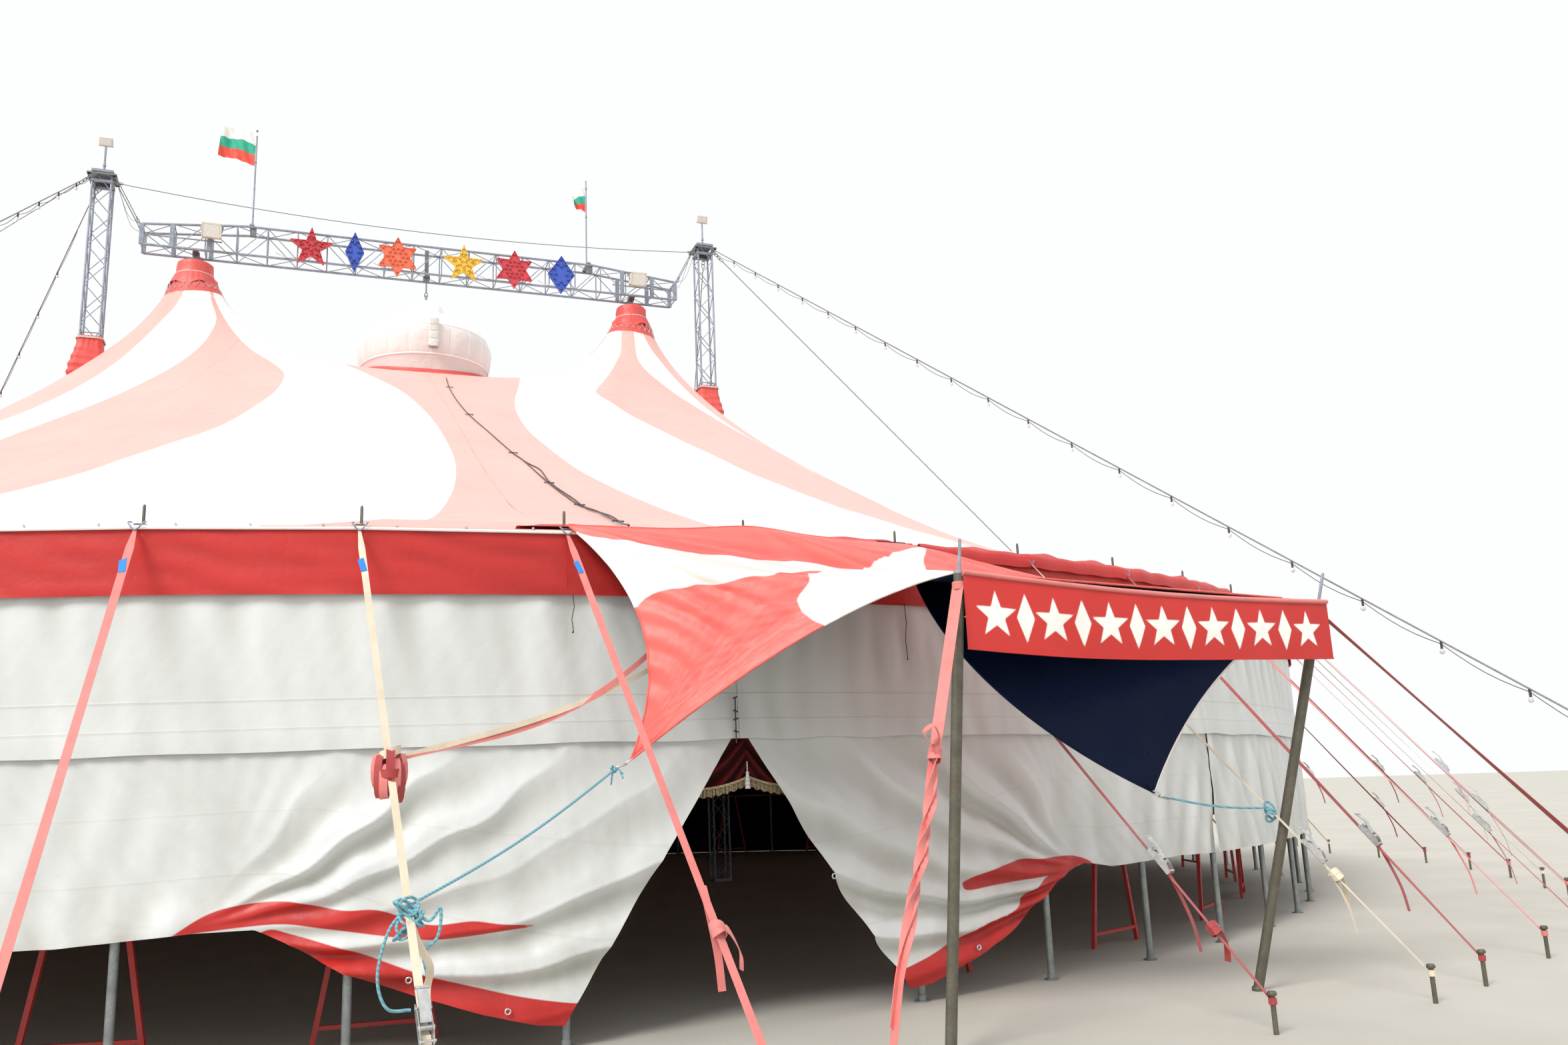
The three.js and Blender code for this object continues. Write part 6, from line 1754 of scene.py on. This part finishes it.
def add_truss_lights():
    """The two flood lights that hang from brackets on the front of the truss."""
    for side, x in (("left", -3.77), ("right", 4.08)):
        back = LIGHT_BACK
        top = float(truss_top(x)) - 0.06
        parts = Parts()
        tilt = np.array([[1, 0, 0], [0, 0.97, 0.24], [0, -0.24, 0.97]])
        centre = np.array([x, back - 0.16, top - 0.15])
        parts.block(centre, (0.30, 0.17, 0.26), tilt, 0)
        wide, tall = (0.32, 0.19, 0.02), (0.02, 0.19, 0.25)
        for dx, dz, size in ((0, 0.118, wide), (0, -0.118, wide), (0.15, 0, tall), (-0.15, 0, tall)):
            parts.block(centre + tilt[0] * dx + tilt[2] * dz, size, tilt)
        parts.block(centre - tilt[1] * 0.085, (0.27, 0.012, 0.22), tilt, 1)
        for k in range(7):
            parts.block(centre + tilt[1] * 0.09 + tilt[0] * (-0.12 + 0.04 * k), (0.01, 0.03, 0.2), tilt)
        yoke = [(x - 0.17, back - 0.15, top - 0.16), (x - 0.172, back - 0.10, top - 0.02),
                (x, back - 0.03, top - 0.01), (x + 0.172, back - 0.10, top - 0.02),
                (x + 0.17, back - 0.15, top - 0.16)]
        parts.tube(smooth_line(yoke, 4), 0.010, 8, 2)
        parts.block((x, back - 0.03, top - 0.02), (0.36, 0.055, 0.035), kind=2)
        add_piece(f"flood_light_{side}", parts, [cream_paint, bulb_glass, truss_steel],
                  [f"truss_light_{side}"])


# Canopy over the doorway

LEFT_TOP = np.array([2.05, -16.2, 3.02])
LEFT_FOOT = np.array([1.8, -16.12, 0.0])
RIGHT_TOP = np.array([5.3, -16.0, 2.9])
RIGHT_FOOT = np.array([4.9, -15.3, 0.0])
LEFT_TIP = np.array([0.045, -15.17, 1.88])
RIGHT_TIP = np.array([3.937, -15.55, 1.516])
LEFT_ROPE = LEFT_TIP + [-0.12, -0.03, -0.06]
ROOF_START = 0.3
ROOF_END = 0.7
# From this share on, the hem of the sail is navy.
WING = 0.66
REAR_RADIUS = 14.6
REAR_HEIGHT = 3.595
REAR_BENDS = np.array([[0.46, -15.2, 2.83], [1.84, -16.0, 2.3]])
FRONT_BENDS = np.array([[1.27, -15.73, 2.885], [4.3, -15.75, 2.45]])


def bent(a, b, c, t):
    """A curve from a to c that leans towards b."""
    t = np.asarray(t, float)[..., None]
    return (1 - t) ** 2 * a + 2 * t * (1 - t) * b + t**2 * c


def canopy_edges(u):
    """The rear and the front edge of the sail at a share u along it."""
    rear_left = polar(REAR_RADIUS, pole_azimuth(0), REAR_HEIGHT)
    rear_right = polar(REAR_RADIUS, pole_azimuth(2), REAR_HEIGHT)
    front_left = LEFT_TOP + [0, 0.03, 0.0091]
    front_right = RIGHT_TOP + [-0.014, 0.032, 0.0166]
    index = (u - ROOF_START) / (ROOF_END - ROOF_START) * 2
    azimuth = pole_azimuth(np.clip(index, 0, 2))
    rear = polar(ring_radius(REAR_RADIUS, azimuth), azimuth, REAR_HEIGHT)
    front = front_left + np.clip(index / 2, 0, 1)[..., None] * (front_right - front_left)
    left, right = (u / ROOF_START).clip(0, 1), ((u - ROOF_END) / (1 - ROOF_END)).clip(0, 1)
    low, high = (u < ROOF_START)[..., None], (u > ROOF_END)[..., None]
    rear = np.where(low, bent(LEFT_TIP, REAR_BENDS[0], rear_left, left), rear)
    rear = np.where(high, bent(rear_right, REAR_BENDS[1], RIGHT_TIP, right), rear)
    front = np.where(low, bent(LEFT_TIP, FRONT_BENDS[0], front_left, left), front)
    front = np.where(high, bent(front_right, FRONT_BENDS[1], RIGHT_TIP, right), front)
    return rear, front


def add_canopy():
    """The sail: red and white on top, navy below, with pulled creases and a hem."""
    columns, rows = 240, 70
    u, v = shares(columns, rows)
    rear, front = canopy_edges(u)
    points = (1 - v[..., None]) * front[None] + v[..., None] * rear[None]
    over = np.clip(np.minimum(u / ROOF_START, (1 - u) / (1 - ROOF_END)), 0, 1)
    share = 1 - v
    points[..., 2] -= 0.13 * np.sin(math.pi * share) ** 2 * over
    # Tension creases that run from the corners and the tips into the cloth.
    corners = ((0.0, 0.5, 0.030), (0.3, 0.0, 0.024), (0.3, 1.0, 0.026), (0.5, 1.0, 0.026),
               (0.7, 0.0, 0.020), (0.7, 1.0, 0.018), (1.0, 0.5, 0.022))
    creases = 0 * u
    for number, (corner_u, corner_v, strength) in enumerate(corners):
        du, dv = (u - corner_u) * 6.5, (v - corner_v) * 1.7
        reach = np.hypot(du, dv)
        fan = np.arctan2(dv, du)
        spokes = np.abs(np.sin(6.5 * fan + number)) ** 0.8 + 0.4 * np.sin(17 * fan + 2 * number)
        away = np.exp(-reach / 1.1) * step_up(reach, 0.0, 0.4) * np.sin(math.pi * v) ** 0.7
        creases = creases + strength * spokes * away * step_up(np.minimum(u, 1 - u), 0.03, 0.16)
    points[..., 2] -= creases
    points[..., 2] += 0.05 * np.exp(-((u - 0.5) / 0.06) ** 2) * step_up(v, 0.55, 1.0)
    normal = np.cross(np.gradient(points, axis=1), np.gradient(points, axis=0))
    size = np.linalg.norm(normal, axis=-1, keepdims=True)
    normal = np.where(size > 1e-9, normal / np.maximum(size, 1e-12), 0)
    wrinkle = 0.007 * waves(points[..., 0] + points[..., 1] * 0.6, points[..., 2], 91, 7, 0.5, tilt=0.9)
    pulled = 0.020 * waves(7.2 * u + 1.1 * (v - 1) ** 2, v, 93, 5, 0.32, tilt=0.2)
    pulled = pulled * np.exp(-(1 - v) / 0.34) * step_up(u, 0.02, 0.07) * step_down(u, 0.27, 0.34)
    crumple = 0.0025 * waves(7.2 * u + 2.0 * v, 7.2 * u - 2.0 * v, 96, 7, 0.16, tilt=1.2, stretch=3)
    moved = (wrinkle + crumple) * np.sin(math.pi * v) ** 0.5 + pulled
    points = points + normal * moved[..., None]
    # fold drives painted shade: the material darkens the sail's crease valleys.
    fold = (moved - (creases - creases.mean())) / 0.018
    parts = Parts()
    faces = grid_faces(rows, columns)
    parts.add(points + normal * 0.002, faces, 0)
    parts.add(points - normal * 0.002, faces[:, ::-1], 1)
    edge_count = rows * columns
    number = np.arange(edge_count).reshape(rows, columns)
    loop = np.concatenate([number[0], number[1:, -1], number[-1, -2::-1], number[-2:0:-1, 0]]).tolist()
    for a, b in zip(loop, loop[1:] + loop[:1]):
        parts.faces.append([b, a, a + edge_count, b + edge_count])
        parts.kinds.append(0)
    red = canopy_red(*np.broadcast_arrays(u, v))
    wing = int(WING * columns)
    for row, first, last, kind in ((0, 0, columns, 0), (-1, 0, wing, 0), (-1, wing, columns, 1)):
        parts.tube(points[row, first:last], 0.009, 6, kind)
    for tip, toward in ((LEFT_TIP, LEFT_ROPE), (RIGHT_TIP, RIGHT_TIP + [0.1, -0.02, -0.05])):
        way = unit(toward - tip)
        add_shackle(parts, tip + way * 0.012, way, 0.026, 3)
        add_shackle(parts, tip + way * 0.085, way + [0, 0, 0.2], 0.030, 3)
    hem = np.repeat(np.concatenate([np.where(u > WING, -1.0, red[0]), red[-1, :wing]]), 6)
    red = filled(parts, 1.0, [red, np.full(edge_count, 1.0), hem])
    piece = add_piece("canopy_sail", parts, [sail_cloth, navy_cloth, strap_pink, plated],
                      ["canopy"], {"red": red, "fold": filled(parts, 0.0, [fold]), "along": parts.lay()},
                      crease=60)
    area = float(mesh_area(points.reshape(-1, 3), faces))


CANOPY_WHITES = [
    [(0.290, 1.03), (0.285, 0.935), (0.307, 0.75), (0.352, 0.69), (0.41, 0.66), (0.455, 0.605),
     (0.43, 0.56), (0.385, 0.50), (0.333, 0.445), (0.29, 0.45), (0.27, 0.53), (0.247, 0.635),
     (0.225, 0.75), (0.205, 0.865), (0.193, 0.93), (0.18, 1.03)],
    [(0.16, -0.03), (0.182, 0.165), (0.21, 0.28), (0.235, 0.335), (0.27, 0.34), (0.33, 0.40),
     (0.385, 0.485), (0.455, 0.605), (0.557, 0.77), (0.65, 0.90), (0.69, 0.93), (0.60, 0.76),
     (0.53, 0.60), (0.45, 0.36), (0.367, 0.155), (0.30, -0.03)],
]


def canopy_red(u, v):
    """How far a place on the sail lies outside its white patches."""
    white = np.full(u.shape, -1.0)
    for patch in CANOPY_WHITES:
        outline = smooth_line(np.vstack([patch, patch[:1]]) * [7.0, 2.0], 4)[:-1]
        white = np.maximum(white, signed_distance(u * 7.0, v * 2.0, outline))
    return -white


def add_canopy_posts():
    """The sail's two leaning poles, each with a spike, a collar, a guy and a stake."""
    anchors = {"left": (0.9, -17.15), "right": (8.0, -16.6)}
    for side, foot, top in (("left", LEFT_FOOT, LEFT_TOP), ("right", RIGHT_FOOT, RIGHT_TOP)):
        along = unit(top - foot)
        parts = Parts()
        path = foot + np.outer(np.linspace(0, 1, 12), top - foot)
        path[0] = foot + along * 0.012
        parts.tube(path, 0.038, 18, 0)
        parts.turned([(0.044, 0.001), (0.046, 0.02), (0.040, 0.03)], foot, 18, 0)
        parts.tube([top - along * 0.01, top + along * 0.215, top + along * 0.23], [0.012, 0.012, 0.007],
                   8, 1)
        parts.tube([top - along * 0.012, top + along * 0.008], 0.041, 18, 1)
        anchor = np.array([*anchors[side], 0.0])
        start = top - along * 0.09 + unit(anchor - top) * [1, 1, 0] * 0.04
        end = anchor + [0, 0, 0.2]
        way = unit(end - start)
        across = unit(np.cross(way, [0, 0, 1]))
        t = np.linspace(0, 1, 60)
        strap = start + np.outer(t, end - start)
        if side == "left":
            twist = 2 * math.pi * 1.6 * step_up(t, 0.33, 0.86)
            sway = 0.018 * np.sin(9 * t) * step_up(t, 0.3, 0.5) * step_down(t, 0.8, 1)
            strap += sway[:, None] * across
        else:
            twist = 0.2 * np.sin(6 * t)
        normal = np.cross(way, across)
        sideways = np.cos(twist)[:, None] * across + np.sin(twist)[:, None] * normal
        parts.strap(strap, 0.080 if side == "left" else 0.052, 0.004, sideways, 2)
        if side == "left":
            second = strap + across * 0.012 + normal * 0.01
            part = slice(25, 56)
            turned = twist[part, None] + 1.2
            parts.strap(second[part], 0.070, 0.004, np.cos(turned) * across + np.sin(turned) * normal, 2)
            knot = strap[24]
            bow = [(0, 0, 0), (-0.05, -0.04, 0.07), (-0.09, -0.05, 0.13), (-0.02, -0.05, 0.17),
                   (0.02, -0.04, 0.08), (0, 0, 0)]
            parts.strap(smooth_line(knot + bow, 5), 0.075, 0.004, [0.3, 1, 0.3], 2)
            for lean in (-0.5, 0.5):
                wrap = [knot + 0.040 * (math.cos(a) * across + math.sin(a) * normal)
                        + way * lean * 0.05 * math.sin(a)
                        for a in np.linspace(0, 2 * math.pi, 13)]
                parts.strap(wrap, 0.045, 0.006, way, 2)
        else:
            add_ratchet(parts, start + (end - start) * 0.86, -way, across)
        collar = [(0.041, -0.02), (0.046, -0.014), (0.046, 0.03), (0.041, 0.036)]
        parts.turned(collar, top - along * 0.10, 18, 2)
        parts.turned(HOOK_RING, end, 10, 2)
        add_stake(parts, anchor, 4)
        strap_look = strap_pink if side == "left" else strap_red
        add_piece(f"canopy_post_{side}", parts, [dark_steel, truss_steel, strap_look, plated, dark_steel],
                  [f"canopy_pole_{side}"], {"along": parts.lay()})


def add_banner():
    """A cloth banner between the canopy poles, with white stars and lozenges sewn on."""
    left = LEFT_TOP + [0, -0.0462, -0.005]
    right = RIGHT_TOP + [0.03, -0.0483, -0.005]
    columns, rows = 300, 44
    u, v = shares(columns, rows)
    length = float(np.linalg.norm(right - left))
    along = unit(right - left)
    out = unit(np.cross(along, [0, 0, 1]))
    drop = 0.51 - 0.08 * u + 0.008 * np.sin(7 * u)
    path = left + u[:, None] * (right - left)
    sag = 0.045 * np.sin(math.pi * u)
    belly = 0.020 * np.sin(math.pi * u) * np.sin(math.pi * v * 0.8)
    wrinkle = 0.006 * waves(u * length, v * 0.5, 95, 7, 0.42, tilt=1.1) * np.sin(math.pi * u) ** 0.5
    points = path[None] + (belly + wrinkle)[..., None] * out
    points[..., 2] -= sag + (1 - v) * drop
    parts = Parts()
    parts.add(points, grid_faces(rows, columns), 0)
    a, b = u * length + 0 * v, v * drop
    white = np.full(a.shape, -1.0)
    count = 13
    for k in range(count):
        centre = np.array([0.24 + (length - 0.48) * k / (count - 1), 0.242 - 0.03 * k / count])
        size = 0.43 - 0.05 * k / count
        shape = star_outline(5, 0.156) * size if k % 2 == 0 else lozenge_outline(0.34) * size
        white = np.maximum(white, signed_distance(a, b, shape + centre))
    parts.tube(points[-1] + out * 0.004, 0.017, 8, 1)
    parts.tube(points[0] + out * 0.001, 0.006, 6, 0)
    for corner, pole in ((points[-1, 0], LEFT_TOP), (points[-1, -1], RIGHT_TOP)):
        for dz in (-0.02, -0.30):
            parts.tube([corner + [0, 0, dz], pole + [0, 0, dz]], 0.005, 6, 1)
    piece = add_piece("banner_cloth", parts, [banner_cloth, strap_pink],
                      ["entrance_banner"], {"white": filled(parts, -1.0, [white]), "along": parts.lay()},
                      crease=60)


ROPE = 0.0085


def add_ropes():
    """Ropes from the tips of the sail to the guys, and the ribbons tied across."""
    parts = Parts()
    knot = on_strap(-1, 0.72)[0]
    start = LEFT_ROPE
    t = np.linspace(0, 1, 30)[:, None]
    path = start + (knot - start) * t - np.array([0, 0, 0.05]) * np.sin(math.pi * t)
    parts.tube(path, ROPE, 8)
    for k in range(7):
        angle = 0.9 * k
        size = 0.05 + 0.012 * (k % 3)
        loop = [knot + [size * math.cos(a + angle), -0.028 + 0.02 * math.sin(2 * a),
                        size * 0.9 * math.sin(a) - 0.02 * k]
                for a in np.linspace(0, 2 * math.pi, 17)]
        parts.tube(smooth_line(loop, 3), ROPE, 8)
    tails = ([(0, 0, 0), (-0.10, -0.03, -0.12), (-0.15, -0.03, -0.34), (-0.10, -0.03, -0.50),
              (0.02, -0.02, -0.52)],
             [(0, 0, 0), (0.10, -0.04, -0.08), (0.16, -0.04, -0.02), (0.15, -0.04, -0.16),
              (0.08, -0.04, -0.24), (0.10, -0.03, -0.36)])
    for tail in tails:
        parts.tube(smooth_line(knot + np.array(tail), 6), ROPE, 8)
    for k in range(5):
        away = np.array([math.cos(2.1 * k), -0.4, math.sin(2.1 * k)])
        tip = start + 0.055 * away + [0, 0, -0.03 - 0.01 * k]
        parts.tube(smooth_line([start, start + 0.03 * away, tip], 4), 0.006, 6)
    parts.ball(start, 0.022, 0, 8, 5)
    knot = on_strap(3, 0.65)[0]
    start = RIGHT_TIP + [0.05, -0.02, -0.03]
    path = start + (knot - start) * t - np.array([0, 0, 0.03]) * np.sin(math.pi * t)
    parts.tube(path, ROPE, 8)
    for k in range(4):
        loop = [knot + [0.04 * math.cos(a + k), 0.03 * math.sin(a + k), 0.045 * math.sin(a) - 0.02 * k]
                for a in np.linspace(0, 2 * math.pi, 17)]
        parts.tube(smooth_line(loop, 3), ROPE, 8)
    tie = on_strap(-1, BUNDLE)[0]
    for kind, drop, high in ((1, 0.37, 3.48), (2, 0.15, 3.02)):
        way = polar(14.60, pole_azimuth(1), high) - tie
        ribbon = tie + way * t - np.array([0, 0, drop]) * np.sin(math.pi * t) ** 1.2
        across = unit(np.cross(unit(way), [0.3, 0.9, 0.2])) + 0.25 * np.sin(5 * t) * np.array([0, 1, 0])
        parts.strap(ribbon, 0.036, 0.004, across, kind)
    add_piece("canopy_ties", parts, [blue_rope, strap_pink, strap_cream],
              values={"along": parts.lay()})


PELMET_RADIUS = 14.448
PELMET_LOW = 1.75
PELMET_TOP = 2.62
PELMET_ENDS = (0.12, 1.88)
SWAG = 0.085


def pelmet_swag(azimuth):
    """The depth of the swags along the doorway, as a share."""
    return np.abs(np.sin(math.pi * (azimuth - 4.45) / 3.2)) ** 0.75


def add_pelmet():
    """The draped pelmet inside the doorway: swags, a fringe and a tassel."""
    parts = Parts()
    columns, rows = 220, 60
    azimuth = pole_azimuth(np.linspace(*PELMET_ENDS, columns))
    u, v = shares(columns, rows)
    swag = pelmet_swag(azimuth)
    low = PELMET_LOW - SWAG * swag
    z = (1 - v) * low + v * PELMET_TOP
    level = v + 0.26 * swag * (1 - 0.6 * v)
    folds = 1 - np.abs(np.sin(math.pi * 8.5 * level)) ** 0.8
    out = PELMET_RADIUS + 0.046 * folds * (1 - 0.4 * v) + 0.006 * waves(u * 8, v * 4, 97, 5, 0.8)
    parts.add(on_wall(out, azimuth, z), grid_faces(rows, columns))
    # fold drives painted shade: darker in the swag valleys and, by its height term, towards the top of
    # the pelmet.
    fold = 1.9 * folds - 1.25 - 0.4 * v
    for k, share in enumerate(np.linspace(0, 1, 260)):
        a = pole_azimuth(0.12 + 1.76 * share)
        bottom = PELMET_LOW - SWAG * float(pelmet_swag(a))
        wobble = 0.006 * math.sin(k * 2.4)
        r = float(ring_radius(14.462, a)) + 0.004 * math.sin(k * 1.7)
        ends = [polar(r, a, bottom + 0.01), polar(r, a + wobble, bottom - 0.055 - 0.006 * math.sin(k))]
        parts.strap(ends, 0.0065, 0.004, polar(1, a + 90, 0), 1)
    band = polar(ring_radius(14.492, azimuth), azimuth, low + 0.008)
    parts.strap(band, 0.016, 0.006, [0, 0, 1], 1)
    tassel = polar(14.50, 4.42, 1.665)
    parts.turned([(0.020, 0.0), (0.018, 0.06), (0.011, 0.10), (0.014, 0.108), (0.012, 0.12),
                  (0.006, 0.13)], tassel, 14, 2)
    parts.tube([tassel + [0, 0, 0.125], tassel + [0, 0, 0.20]], 0.004, 6, 2)
    piece = add_piece("pelmet_drape", parts, [pelmet_cloth, fringe_yarn, white_cord],
                      ["doorway_pelmet"], {"along": parts.lay(), "fold": filled(parts, 0.0, [fold])},
                      crease=70)


def dress_trestles():
    for node in ("right_front", "right_back", "left_back", "left_front"):
        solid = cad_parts[f"seat_trestles_{node}"]
        solid.data.materials.clear()
        solid.data.materials.append(red_paint)


add_camera()
add_light()
add_floor()
add_roof()
add_eave_trim()
add_roof_cables()
add_roof_flaps()
add_valance()
for wall_number in (1, 2, 3, 4):
    add_side_wall(wall_number)
for wall_number in (2, 3):
    add_interior_shade(wall_number)
add_curtains()
add_door_lacing()
add_pole_sets()
add_webbing()
add_masts()
add_collars()
add_cables()
add_caps()
add_skylight()
add_truss()
add_marquee()
add_flags()
add_truss_lights()
add_canopy_posts()
add_canopy()
add_banner()
add_ropes()
add_pelmet()
dress_trestles()
